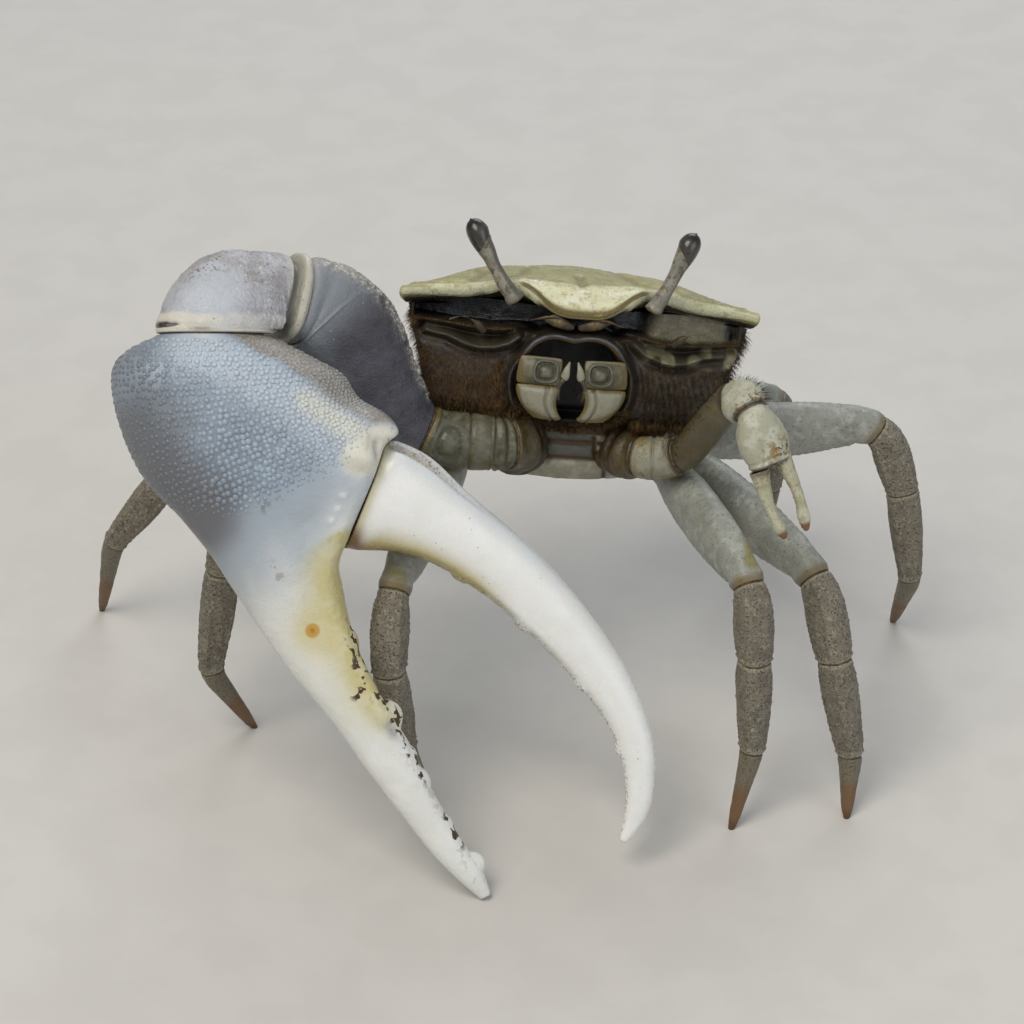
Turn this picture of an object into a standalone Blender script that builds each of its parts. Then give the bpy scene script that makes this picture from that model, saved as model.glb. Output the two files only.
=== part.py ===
# Male fiddler crab, life size, standing with its large right claw lowered in front.
# Metres, +Z up. The crab faces -Y, and its left side is at +X.
import math

import bmesh
import bpy
import numpy as np
from mathutils import Matrix, Vector

# Driving dimensions
MM = 0.001
WIDTH = 24.0 * MM          # carapace width between the front corners: the rest is in proportion
GAP = 0.3 * MM             # clear space between two pieces that meet
SHELL = 1.1 * MM           # thickness of the carapace
PLY = 0.06 * MM            # least distance between two rings where a joint presses them together

# Stance of the body: its own frame has x to the crab's left, y backwards and z up,
# with its origin midway between the carapace's front corners.
BODY_PLACE = (4.7 * MM, -2.3 * MM, 32.5 * MM)
BODY_YAW, BODY_PITCH, BODY_ROLL = 4, 21, 6.4

# Carapace, in widths
CORNER = 0.5               # half width at the front corners
REAR_HALF = 0.26           # half width at the rear edge
LENGTH = 0.65              # front corners to rear edge
CROWN = 0.058              # height of the back's midline over its side edges
LOBE_REACH = 0.098         # how far the front lobe stands before the corners
LOBE_HALF = 0.2            # half width of the front lobe between the eyestalks
LOBE_DROOP = 0.056         # how far the lobe's tip hangs below its root
FRONT_DIP = 0.008          # how far the back falls towards its front edge

# Walking legs, in widths: length of merus, carpus and propodus
LEG_LENGTHS = {"p2": (0.60, 0.24, 0.305), "p3": (0.67, 0.25, 0.32),
               "p4": (0.67, 0.245, 0.32), "p5": (0.55, 0.21, 0.27)}
# Where each leg leaves the sternum, in the body's frame, in widths
HIPS = {"p2": (0.30, 0.165, -0.482), "p3": (0.325, 0.272, -0.45),
        "p4": (0.315, 0.392, -0.44), "p5": (0.255, 0.495, -0.41)}
# Pose of each leg: (azimuth, elevation) of merus, carpus and propodus in degrees,
# then the azimuth and the length, in widths, of the dactyl's reach over the ground.
LEG_POSE = {
    "p2_left": ((-67, -5.5), (-72, -80), (-74, -87), (-125, 0.10)),
    "p3_left": ((-51, -10), (-68, -60), (-26, -78), (-97, 0.09)),
    "p4_left": ((1, 4), (-6, -72), (-5, -82), (98, 0.16)),
    "p5_left": ((33, -8), (86, -60), (92, -77), (100, 0.06)),
    "p2_right": ((-108.3, -12.3), (-96, -70), (42, -80), (44, 0.10)),
    "p3_right": ((-156, -5), (-155, -76), (-128, -76), (34, 0.14)),
    "p4_right": ((177, -12), (174, -24), (164, -54), (119, 0.15)),
    "p5_right": ((147, -12), (100, -58), (94, -76), (80, 0.07)),
}
# Sections of the leg segments: (place along, half height, half thickness), in widths
MERUS = ((0, 0.050, 0.042), (0.25, 0.080, 0.053), (0.6, 0.087, 0.054), (0.88, 0.064, 0.048),
         (1, 0.052, 0.044))
CARPUS = ((0, 0.050, 0.044), (0.5, 0.058, 0.050), (1, 0.050, 0.045))
PROPODUS = ((0, 0.050, 0.045), (0.35, 0.051, 0.044), (1, 0.036, 0.033))
DACTYL = ((0, 0.035, 0.032), (0.5, 0.024, 0.021), (0.9, 0.014, 0.013), (1, 0.012, 0.012))
LEG_SIZE = {"p2": 1.0, "p3": 1.0, "p4": 0.98, "p5": 0.8}   # thickness of each leg to the first

# Large cheliped: joints as steps of (azimuth, elevation, length in widths) from its root,
# which is given in the body's frame, in widths.
CLAW_ROOT = (-0.176, -0.02, -0.426)
CLAW_STEPS = {"ischium": (-175, 8, 0.255), "merus": (171, 53, 0.565), "carpus": (-141, 2, 0.355)}
PALM_AZIMUTH = -39.5               # of the line from the wrist to the fixed finger's tip
TIP_HEIGHT = 0.2 * MM              # that tip's centre over the ground
PALM_TURN = 8                      # turn of the palm about that line, from facing the viewer
WRIST_WAY = (-90, -58)             # direction in which the palm leaves the carpus
WRIST_BLEND = 0.55                 # length, in widths, over which it takes up its own axis
CLAW_FACE = (-90, 32)              # the side of the claw that is turned outwards and up
# Sections as for the legs, with the centre's offset towards the dactyl's side as a fourth value
CLAW_ISCHIUM = ((0, 0.074, 0.066, 0), (0.45, 0.083, 0.074, 0), (1, 0.078, 0.070, 0))
CLAW_MERUS = ((0, 0.082, 0.072, 0), (0.3, 0.105, 0.085, -0.020), (0.7, 0.140, 0.098, -0.040),
              (0.93, 0.130, 0.096, -0.018), (1, 0.114, 0.090, -0.006))
CLAW_CARPUS = ((0, 0.112, 0.088, 0), (0.3, 0.138, 0.115, 0), (0.7, 0.160, 0.126, -0.012),
               (1, 0.162, 0.118, 0))
# Palm and fixed finger: (along, across, half height, half thickness) of each section's
# centre, in widths, in the palm's own plane from the wrist
PALM = ((0.000, 0.004, 0.162, 0.118), (0.045, -0.019, 0.256, 0.150), (0.125, -0.009, 0.311, 0.172),
        (0.230, -0.017, 0.322, 0.184), (0.350, -0.003, 0.321, 0.184), (0.470, 0.044, 0.314, 0.172),
        (0.580, 0.022, 0.265, 0.156), (0.680, -0.034, 0.199, 0.136), (0.758, -0.074, 0.149, 0.116),
        (0.860, -0.087, 0.123, 0.096), (1.000, -0.092, 0.096, 0.078), (1.140, -0.078, 0.078, 0.066),
        (1.320, -0.058, 0.070, 0.056), (1.480, -0.044, 0.055, 0.046), (1.640, -0.022, 0.044, 0.037),
        (1.740, 0.000, 0.033, 0.028), (1.800, 0.008, 0.016, 0.014))
HINGE_NEAR = (0.520, 0.330)        # the dactyl's hinge line, from its outer end
HINGE_FAR = (0.758, 0.070)         # to its end in the gape
HINGE_CUT = (0.50, 0.30, 0.60)     # size of the block that cuts the hinge's face flat
THUMB = ((0.012, 0.012, 0.160, 0.110), (0.115, 0.024, 0.141, 0.104), (0.250, 0.012, 0.110, 0.092),
         (0.430, 0.001, 0.096, 0.080), (0.620, -0.008, 0.085, 0.070), (0.820, -0.012, 0.073, 0.058),
         (1.000, -0.008, 0.058, 0.046), (1.180, -0.003, 0.044, 0.038), (1.290, 0.006, 0.033, 0.028),
         (1.375, 0.010, 0.013, 0.013))
# Teeth in the gape: (along, height, half length at the base) on each finger, in widths
PALM_TEETH = ((0.98, 0.010, 0.030), (1.215, 0.030, 0.046), (1.42, 0.010, 0.030),
              (1.700, 0.022, 0.034))
THUMB_TEETH = ((0.36, 0.008, 0.030), (0.60, 0.010, 0.034), (0.86, 0.008, 0.030),
               (1.10, 0.008, 0.030))
THUMB_HEADINGS = ((0, 47), (0.25, 36), (0.55, 22), (0.85, 8), (1.05, -8), (1.22, -34),
                  (1.375, -64))     # direction of the movable finger in the palm's plane

# Each cheliped's first segment runs from its root inwards and back, in widths
COXA_IN = 0.055
COXA_BACK = 0.13

# Small cheliped
PINCER_ROOT = (0.205, -0.02, -0.435)
PINCER_STEPS = {"ischium": (-8, 2, 0.125), "merus": (-52, 55, 0.375), "carpus": (-67, 5, 0.10),
                "manus": (-48, -59, 0.165)}
PINCER_ISCHIUM = ((0, 0.060, 0.056), (0.5, 0.062, 0.058), (1, 0.052, 0.050))
PINCER_MERUS = ((0, 0.052, 0.048), (0.5, 0.066, 0.058), (1, 0.054, 0.050))
PINCER_CARPUS = ((0, 0.052, 0.048), (0.5, 0.066, 0.058), (1, 0.054, 0.050))
PINCER_MANUS = ((0, 0.052, 0.048), (0.5, 0.076, 0.054), (1, 0.068, 0.046))
PINCER_FINGER = ((0, 0.030, 0.036), (0.5, 0.026, 0.028), (0.85, 0.024, 0.026), (1, 0.012, 0.014))
PINCER_FINGER_LENGTH = 0.20
PINCER_SPREAD = 6                 # half angle between its fingers, in degrees

# Eyes and mouth, in the body's frame, in widths
EYE_ROOT = (0.197, -0.120, 0.004)
EYE_TIPS = {"left": (0.300, -0.095, 0.226), "right": (-0.339, -0.110, 0.218)}
EYE_SECTION = ((0, 0.026), (0.2, 0.022), (0.55, 0.022), (0.68, 0.028))
CORNEA_SECTION = ((0.68, 0.029), (0.83, 0.033), (0.94, 0.026), (1.0, 0.010))
ANTENNA_PATH = ((0.270, 0.030, -0.120), (0.275, -0.046, -0.098), (0.375, -0.125, -0.065))
ANTENNA = ((0, 0.014, 0.014), (0.3, 0.013, 0.013), (0.4, 0.0105, 0.0105), (1, 0.005, 0.005))
MOUTH_PLATE = (0.068, 0.024, 0.112)    # half sizes of one outer maxilliped
MOUTH_PLACE = (0.080, -0.095, -0.245)

COLOURS = {
    "carapace": ((0.36, 0.33, 0.14), 0.45), "body": ((0.10, 0.07, 0.03), 0.6),
    "abdomen": ((0.45, 0.42, 0.31), 0.5), "mouthpart": ((0.42, 0.40, 0.26), 0.4),
    "stalk": ((0.25, 0.24, 0.19), 0.4), "cornea": ((0.04, 0.04, 0.03), 0.15),
    "claw_shell": ((0.42, 0.46, 0.52), 0.4), "claw_finger": ((0.80, 0.79, 0.74), 0.3),
    "claw_arm": ((0.10, 0.10, 0.14), 0.4), "leg_upper": ((0.38, 0.38, 0.33), 0.5),
    "leg_lower": ((0.19, 0.17, 0.12), 0.7), "toe": ((0.24, 0.13, 0.05), 0.5),
    "pincer": ((0.50, 0.42, 0.22), 0.5),
}


def clear_scene():
    for thing in list(bpy.data.objects):
        bpy.data.objects.remove(thing, do_unlink=True)
    for group in list(bpy.data.collections):
        bpy.data.collections.remove(group)


def new_collection(name):
    group = bpy.data.collections.new(name)
    bpy.context.scene.collection.children.link(group)
    return group


def material(name):
    """One Principled material for each node, coloured from the table above."""
    colour, roughness = COLOURS[name]
    mat = bpy.data.materials.new(name)
    mat.use_nodes = True
    shader = mat.node_tree.nodes["Principled BSDF"]
    shader.inputs["Base Color"].default_value = (*colour, 1)
    shader.inputs["Roughness"].default_value = roughness
    shader.inputs["Metallic"].default_value = 0.0
    return mat


def direction(azimuth, elevation):
    az, el = math.radians(azimuth), math.radians(elevation)
    return np.array((math.cos(el) * math.cos(az), math.cos(el) * math.sin(az), math.sin(el)))


def unit(vector):
    return np.asarray(vector, float) / np.linalg.norm(vector)


def smooth(stations, at):
    """Cubic through named stations: columns after the first, read at places in the first."""
    table = np.array(stations, float)
    x, at = table[:, 0], np.clip(np.asarray(at, float), table[0, 0], table[-1, 0])
    k = np.clip(np.searchsorted(x, at, side="right") - 1, 0, len(x) - 2)
    step = x[k + 1] - x[k]
    t = ((at - x[k]) / step)[:, None]
    y, slope = table[:, 1:], np.gradient(table[:, 1:], x, axis=0)
    return ((2 * t**3 - 3 * t**2 + 1) * y[k] + (t**3 - 2 * t**2 + t) * step[:, None] * slope[k]
            + (3 * t**2 - 2 * t**3) * y[k + 1] + (t**3 - t**2) * step[:, None] * slope[k + 1])


def section(centre, up, across, half_height, half_width, sides, power=2.4, keel=0.0):
    """One superellipse ring. A keel above 0 narrows it towards its upper edge."""
    angle = np.linspace(0, 2 * math.pi, sides, endpoint=False)
    high = np.sign(np.sin(angle)) * np.abs(np.sin(angle)) ** (2 / power)
    wide = np.sign(np.cos(angle)) * np.abs(np.cos(angle)) ** (2 / power) * (1 - keel * high)
    return (np.asarray(centre) + np.outer(high * half_height, up)
            + np.outer(wide * half_width, across))


def mesh_object(name, vertices, faces, group, mat=None, origin=(0, 0, 0), parent=None):
    """An object whose own origin is its joint or root."""
    mesh = bpy.data.meshes.new(name)
    mesh.from_pydata([tuple(v) for v in np.asarray(vertices) - np.asarray(origin)], [], faces)
    bm = bmesh.new()
    bm.from_mesh(mesh)
    bmesh.ops.recalc_face_normals(bm, faces=bm.faces)
    bm.to_mesh(mesh)
    bm.free()
    obj = bpy.data.objects.new(name, mesh)
    obj.location = origin
    obj.parent = parent
    group.objects.link(obj)
    if mat:
        mesh.materials.append(material(mat))
    finish_shading(obj)
    return obj


def finish_shading(obj):
    obj.data.shade_smooth()
    obj.data.set_sharp_from_angle(angle=math.radians(50))


def loft(name, rings, group, mat=None, origin=(0, 0, 0), parent=None):
    """A closed body through rings of equal count, with a flat cap at each end."""
    count, sides = len(rings), len(rings[0])
    faces = [tuple(range(sides)), tuple(range((count - 1) * sides, count * sides))[::-1]]
    for i in range(count - 1):
        for j in range(sides):
            k = (j + 1) % sides
            faces.append((i * sides + j, (i + 1) * sides + j, (i + 1) * sides + k, i * sides + k))
    return mesh_object(name, np.concatenate(rings), faces, group, mat, origin, parent)


def centre_lines(joints, bends):
    """The limb's axis, one run for each segment, with each corner rounded over its bend."""
    joints = [np.asarray(j, float) for j in joints]
    heads = [unit(b - a) for a, b in zip(joints, joints[1:])]
    runs = []
    for k, head in enumerate(heads):
        start, end = joints[k], joints[k + 1]
        points = [start]
        first, last = head, head
        if k > 0:
            bend = bends[k - 1]
            before, after = start - bend * heads[k - 1], start + bend * head
            for t in np.linspace(0.5, 1, 7):
                points.append((1 - t)**2 * before + 2 * t * (1 - t) * start + t**2 * after)
            points = points[1:]
            first = unit(heads[k - 1] + head)
        if k < len(heads) - 1:
            bend = bends[k]
            before, after = end - bend * head, end + bend * heads[k + 1]
            for t in np.linspace(0, 0.5, 7):
                points.append((1 - t)**2 * before + 2 * t * (1 - t) * end + t**2 * after)
            last = unit(head + heads[k + 1])
        else:
            points.append(end)
        runs.append((np.array(points), first, last))
    return runs


def resample(run, count, trim=(GAP / 2, GAP / 2), ease=0.0):
    """Points and tangents at even steps along a run, set back from its ends by the gap.
    Over the last part named by ease, the tangents turn gradually to the end's own."""
    points, first, last = run
    travelled = np.concatenate([[0], np.cumsum(np.linalg.norm(np.diff(points, axis=0), axis=1))])
    at = np.linspace(trim[0], travelled[-1] - trim[1], count)
    places = np.stack([np.interp(at, travelled, points[:, i]) for i in range(3)], axis=1)
    tangents = np.gradient(places, axis=0)
    tangents /= np.linalg.norm(tangents, axis=1)[:, None]
    if ease:
        share = np.clip((np.linspace(0, 1, count) - 1 + ease) / ease, 0, 1)[:, None]
        tangents = (1 - share) * tangents + share * last
        tangents /= np.linalg.norm(tangents, axis=1)[:, None]
    tangents[0], tangents[-1] = first, last
    return places, tangents


def segment(name, run, stations, face, group, mat, steps=8, sides=12, size=1.0, keel=0.0,
            power=2.4, flat_foot=False, trim=(GAP / 2, GAP / 2), ease=0.0):
    """One limb segment. Its broad side looks along face, and its upper edge away from the bend."""
    places, tangents = resample(run, steps, trim, ease)
    values = smooth(stations, np.linspace(0, 1, steps)) * WIDTH * size
    if flat_foot:
        tangents[-1] = (0, 0, -1)
    rings = []
    for place, tangent, value in zip(places, tangents, values):
        across = unit(face - np.dot(face, tangent) * tangent)
        up = np.cross(across, tangent)
        offset = value[2] if len(value) > 2 else 0.0
        rings.append(section(place + up * offset, up, across, value[0], value[1], sides, power,
                             keel))
    rings[1:] = hold_behind(rings[1:], places[0], -run[1])
    rings[:-1] = hold_behind(rings[:-1][::-1], places[-1], tangents[-1])[::-1]
    return loft(name, rings, group, mat, origin=tuple(places[0]))


def hold_behind(rings, place, outward):
    """Presses rings back behind the plane of a joint, so that they can't reach the neighbour.
    The first ring is the one nearest to the joint; each stays a little deeper than the last."""
    held = []
    for k, ring in enumerate(rings):
        over = (ring - place) @ outward + (k + 1) * PLY
        held.append(ring - np.outer(np.maximum(over, 0), outward))
    return held


def body_frame():
    """The empty that carries the carapace, the thorax and what is set on them."""
    yaw, pitch, roll = (math.radians(a) for a in (BODY_YAW, BODY_PITCH, BODY_ROLL))
    frame = bpy.data.objects.new("body_frame", None)
    frame.matrix_world = (Matrix.Translation(Vector(BODY_PLACE)) @ Matrix.Rotation(yaw, 4, "Z")
                          @ Matrix.Rotation(-pitch, 4, "X") @ Matrix.Rotation(roll, 4, "Y"))
    bpy.context.scene.collection.objects.link(frame)
    return frame


def in_world(frame, place):
    """A place in the body's frame, given in widths, as world coordinates."""
    return np.array(frame.matrix_world @ (Vector(place) * WIDTH))


def front_edge(x):
    """How far back the carapace's front edge lies at a place across it, in widths."""
    lobe = np.exp(-(np.abs(x) / LOBE_HALF) ** 4)
    return -LOBE_REACH * lobe - 0.032 * (1 - lobe) * (1 - (np.abs(x) / CORNER) ** 4)


def half_width(y):
    """Half width of the carapace at a place behind the corners, its rear corners rounded."""
    t = np.clip(y / LENGTH, 0, 1)
    return CORNER - (CORNER - REAR_HALF) * t**1.35 - 0.045 * np.clip((t - 0.8) / 0.2, 0, 1)**3


def crown(across, y):
    """Height of the carapace, in widths: across is 0 on the midline and 1 at its side edge."""
    t = np.clip(y / LENGTH, -0.2, 1)
    middle = CROWN - 0.34 * np.clip(t - 0.45, 0, 1)**2 - FRONT_DIP * np.exp(-(np.clip(t, 0, 1) / 0.16)**2)
    side = -0.10 * np.clip(t, 0, 1)**1.6
    droop = LOBE_DROOP * np.clip(-y / LOBE_REACH, 0, 1)**1.3
    across = np.abs(across)
    return middle * (1 - across**2.8) + side * across**2.8 - droop * (1 - across**2)


def make_carapace(frame, group):
    """A domed sheet over the plan outline, given its thickness by Solidify."""
    columns, rows = 33, 15
    u = np.linspace(-1, 1, columns)
    v = np.linspace(0, 1, rows) ** 1.25
    start = front_edge(u * CORNER)
    y = start[None, :] * (1 - v[:, None]) + LENGTH * v[:, None]
    y = y + 0.012 * v[:, None]**6 * (1 - u[None, :]**2)
    x = u[None, :] * half_width(y)
    z = crown(u[None, :] + 0 * y, y)
    vertices = np.stack([x, y, z], axis=-1).reshape(-1, 3) * WIDTH
    faces = [(r * columns + c, r * columns + c + 1, (r + 1) * columns + c + 1,
              (r + 1) * columns + c) for r in range(rows - 1) for c in range(columns - 1)]
    shell = mesh_object("carapace", vertices, faces, group, "carapace", parent=frame)
    if sum(p.normal.z for p in shell.data.polygons) < 0:
        shell.data.flip_normals()
    wall = shell.modifiers.new("wall", "SOLIDIFY")
    wall.thickness = SHELL
    wall.offset = -1
    wall.use_even_offset = True
    return shell


# Plan outline of the body under the carapace at a few heights, in widths: height, half width
# in front and behind, front edge at the midline and at the side, rear edge
BODY_LEVELS = ((-0.070, 0.486, 0.225, -0.045, 0.020, 0.615), (-0.100, 0.476, 0.230, 0.000, 0.062, 0.622),
               (-0.128, 0.467, 0.232, -0.062, 0.010, 0.628), (-0.180, 0.450, 0.232, -0.050, 0.014, 0.628),
               (-0.260, 0.430, 0.222, -0.046, 0.016, 0.615), (-0.325, 0.395, 0.205, -0.036, 0.028, 0.590),
               (-0.355, 0.335, 0.195, 0.020, 0.110, 0.580), (-0.450, 0.268, 0.180, 0.055, 0.160, 0.560),
               (-0.505, 0.225, 0.160, 0.080, 0.170, 0.540), (-0.535, 0.170, 0.130, 0.110, 0.180, 0.520))


def body_ring(level, scale=1.0):
    """The plan outline at one level: a bowed front, sides that close in, a round rear."""
    height, front_half, rear_half, front_mid, front_side, rear = level
    across = np.linspace(-1, 1, 13)
    front_y = front_mid + (front_side - front_mid) * across**2
    front = np.stack([across * front_half, front_y], axis=1)
    back = np.linspace(0, 1, 7)[1:]
    side_y = front_side + (rear - 0.04 - front_side) * back
    side_x = front_half - (front_half - rear_half) * back**1.3
    right = np.stack([side_x, side_y], axis=1)
    across = np.linspace(1, -1, 7)[1:-1]
    end = np.stack([across * rear_half, rear - 0.04 * across**4], axis=1)
    left = np.stack([-side_x, side_y], axis=1)[::-1]
    plan = np.concatenate([front, right, end, left])
    middle = np.array([0, 0.27])
    plan = middle + (plan - middle) * scale
    return plan, np.full(len(plan), height)


def make_thorax(frame, group, joiners):
    """Face, sides and sternum: outlines stacked from the carapace down."""
    rings = []
    for scale in (0.30, 0.62, 0.86, 1.0):
        plan, _ = body_ring(BODY_LEVELS[0], scale)
        roof = crown(plan[:, 0] / half_width(plan[:, 1]), plan[:, 1]) - (SHELL + 2 * GAP) / WIDTH
        rings.append(np.column_stack([plan, roof]) * WIDTH)
    for level in BODY_LEVELS[1:]:
        plan, height = body_ring(level)
        drop = -0.10 * np.clip(plan[:, 1] / LENGTH, 0, 1)**1.6 * max(0.0, 1 + (level[0] + 0.1) / 0.3)
        rings.append(np.column_stack([plan, height + drop]) * WIDTH)
    thorax = loft("thorax", rings, group, "body", parent=frame)
    for side in (-1, 1):
        root = in_world(frame, (side * EYE_ROOT[0], EYE_ROOT[1] + 0.09, EYE_ROOT[2] - 0.11))
        seat = in_world(frame, (side * EYE_ROOT[0], EYE_ROOT[1], EYE_ROOT[2]))
        tip = in_world(frame, EYE_TIPS["left" if side > 0 else "right"])
        socket = (np.array((root, seat)), unit(seat - root), unit(tip - seat))
        segment("eye_socket", socket, ((0, 0.040, 0.045), (1, 0.026, 0.026)),
                np.array((0.0, -1.0, 0.2)), joiners, None, steps=3, sides=8, trim=(0, GAP / 2))
    return thorax


def fuse(target, joiners):
    """Joins a collection of closed pieces to a node and keeps the largest closed surface."""
    bpy.context.view_layer.update()
    join = target.modifiers.new("join", "BOOLEAN")
    join.operation = "UNION"
    join.operand_type = "COLLECTION"
    join.collection = joiners
    join.solver = "EXACT"
    apply_modifiers(target)
    for piece in list(joiners.objects):
        bpy.data.objects.remove(piece, do_unlink=True)
    keep_largest(target)


def apply_modifiers(target):
    graph = bpy.context.evaluated_depsgraph_get()
    mesh = bpy.data.meshes.new_from_object(target.evaluated_get(graph))
    target.modifiers.clear()
    target.data = mesh
    finish_shading(target)


def keep_largest(target):
    bm = bmesh.new()
    bm.from_mesh(target.data)
    left = set(bm.verts)
    groups = []
    while left:
        found, edge = {next(iter(left))}, []
        edge.extend(found)
        while edge:
            for link in edge.pop().link_edges:
                for vert in link.verts:
                    if vert not in found:
                        found.add(vert)
                        edge.append(vert)
        groups.append(found)
        left -= found
    largest = max(groups, key=len)
    bmesh.ops.delete(bm, geom=[v for v in bm.verts if v not in largest], context="VERTS")
    bm.to_mesh(target.data)
    bm.free()


def make_leg(frame, name, group, joiners):
    """Four segments, and a stub of the coxa that is joined to the thorax."""
    leg, side = name.split("_")
    sign = 1 if side == "left" else -1
    hip = HIPS[leg]
    inner = in_world(frame, (sign * (hip[0] - 0.16), hip[1], hip[2] + 0.03))
    joints = [inner, in_world(frame, (sign * hip[0], hip[1], hip[2]))]
    *steps, (toe_azimuth, reach) = LEG_POSE[name]
    for (azimuth, elevation), length in zip(steps, LEG_LENGTHS[leg]):
        joints.append(joints[-1] + direction(azimuth, elevation) * length * WIDTH)
    toe = joints[-1] + direction(toe_azimuth, 0) * reach * WIDTH
    toe[2] = 0.0
    joints.append(toe)
    size = LEG_SIZE[leg]
    bends = [0.05 * WIDTH, 0.105 * WIDTH, 0.05 * WIDTH, 0.05 * WIDTH]
    runs = centre_lines(joints, bends)
    azimuth = steps[0][0]
    face = direction(azimuth + 90, 0)
    stub = ((0, 0.060, 0.050), (1, 0.050, 0.042))
    segment(name + "_coxa", runs[0], stub, face, joiners, None, steps=3, sides=10, size=size,
            trim=(0, GAP / 2))
    segment(name + "_merus", runs[1], MERUS, face, group, "leg_upper", steps=9, size=size)
    segment(name + "_carpus", runs[2], CARPUS, face, group, "leg_lower", steps=6, sides=10,
            size=size)
    segment(name + "_propodus", runs[3], PROPODUS, face, group, "leg_lower", steps=6, sides=10,
            size=size)
    segment(name + "_dactyl", runs[4], DACTYL, face, group, "toe", steps=6, sides=8, size=size,
            flat_foot=True, trim=(GAP / 2, 0))


def palm_axes(wrist):
    """Axis of the palm, the direction across it to the dactyl's side, and its outer face.
    The axis slopes so that the fixed finger's tip stands on the ground."""
    drop = (wrist[2] - TIP_HEIGHT) / (PALM[-1][0] * WIDTH)
    along = direction(PALM_AZIMUTH, -math.degrees(math.asin(drop)))
    viewer = direction(*CLAW_FACE)
    face = unit(viewer - np.dot(viewer, along) * along)
    across = np.cross(face, along)
    if across[0] < 0:
        across = -across
    turn = math.radians(PALM_TURN)
    turned = across * math.cos(turn) - face * math.sin(turn)
    return along, turned, unit(face * math.cos(turn) + across * math.sin(turn))


def make_claw(frame, group, joiners):
    """Large right cheliped: ischium, merus, carpus, palm with its fixed finger, dactyl."""
    root = in_world(frame, (CLAW_ROOT[0] + COXA_IN, CLAW_ROOT[1] + COXA_BACK, CLAW_ROOT[2]))
    joints = [root, in_world(frame, CLAW_ROOT)]
    for azimuth, elevation, length in CLAW_STEPS.values():
        joints.append(joints[-1] + direction(azimuth, elevation) * length * WIDTH)
    along, across, face = palm_axes(joints[-1])
    joints.append(joints[-1] + along * PALM[-1][0] * WIDTH)
    bends = [0.04 * WIDTH, 0.11 * WIDTH, 0.13 * WIDTH, 0.20 * WIDTH]
    runs = centre_lines(joints, bends)
    wrist_way = direction(*WRIST_WAY)
    runs[3] = (runs[3][0], runs[3][1], wrist_way)
    viewer = direction(*CLAW_FACE)
    segment("claw_coxa", runs[0], ((0, 0.090, 0.080), (1, 0.078, 0.070)), viewer, joiners, None,
            steps=3, trim=(0, GAP / 2))
    segment("claw_ischium", runs[1], CLAW_ISCHIUM, viewer, group, "mouthpart", steps=7, sides=16)
    segment("claw_merus", runs[2], CLAW_MERUS, viewer, group, "claw_arm", steps=12, sides=18,
            keel=-0.25)
    segment("claw_carpus", runs[3], CLAW_CARPUS, viewer, group, "claw_shell", steps=11, sides=18,
            ease=0.4)
    wrist = joints[-2]
    make_palm(wrist, runs[4][0][0], wrist_way, (along, across, face), group)
    make_thumb(wrist, along, across, face, group)


def make_palm(wrist, start, wrist_way, axes, group):
    """Palm and fixed finger in one piece, cut flat where the movable finger is hinged."""
    along, across, face = axes
    at = np.linspace(0, PALM[-1][0], 34)
    values = smooth(PALM, at)
    centres = wrist + (np.outer(at, along) + np.outer(values[:, 0], across)) * WIDTH
    fade = np.clip(1 - at / WRIST_BLEND, 0, 1)
    fade = (fade * fade * (3 - 2 * fade))[:, None]
    centres = centres + fade * (start + wrist_way * GAP / 2 - centres[0])
    rings = []
    for centre, tangent, value in zip(centres, fade * wrist_way + (1 - fade) * along, values):
        tangent = unit(tangent)
        wide = unit(face - np.dot(face, tangent) * tangent)
        up = np.cross(wide, tangent)
        up = up if np.dot(up, across) > 0 else -up
        rings.append(section(centre, up, wide, value[1] * WIDTH, value[2] * WIDTH, 20, 2.2))
    rings[1:] = hold_behind(rings[1:], centres[0], -wrist_way)
    rings = [np.column_stack([r[:, :2], np.maximum(r[:, 2], 0)]) for r in rings]
    palm = loft("claw_manus", rings, group, "claw_shell", origin=tuple(start))
    teeth = new_collection("palm_teeth")
    for place, height, half in PALM_TEETH:
        value = smooth(PALM, [place])[0]
        edge = wrist + (place * along + (value[0] + 0.7 * value[1]) * across) * WIDTH
        tooth("palm_tooth", edge, across, along, face, height + 0.3 * value[1], half, teeth)
    fuse(palm, teeth)
    near = wrist + (HINGE_NEAR[0] * along + HINGE_NEAR[1] * across) * WIDTH
    far = wrist + (HINGE_FAR[0] * along + HINGE_FAR[1] * across) * WIDTH
    line = unit(near - far)
    outward = np.cross(line, face)
    outward = outward if np.dot(outward, along) > 0 else -outward
    box = np.array(HINGE_CUT) * WIDTH
    bpy.ops.mesh.primitive_cube_add(size=1)
    cutter = bpy.context.object
    cutter.name = "hinge_cutter"
    centre = far + line * box[0] / 2 + outward * box[1] / 2
    turn = Matrix(np.column_stack([line, outward, np.cross(line, outward)]).tolist()).to_4x4()
    cutter.data.transform(Matrix.Diagonal((*box, 1)))
    cutter.matrix_world = Matrix.Translation(Vector(centre)) @ turn
    move_to(cutter, bpy.data.collections["cutters"])
    cutter.hide_render = True
    cutter.display_type = "WIRE"
    cut = palm.modifiers.new("hinge", "BOOLEAN")
    cut.operation = "DIFFERENCE"
    cut.object = cutter
    cut.solver = "EXACT"


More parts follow.
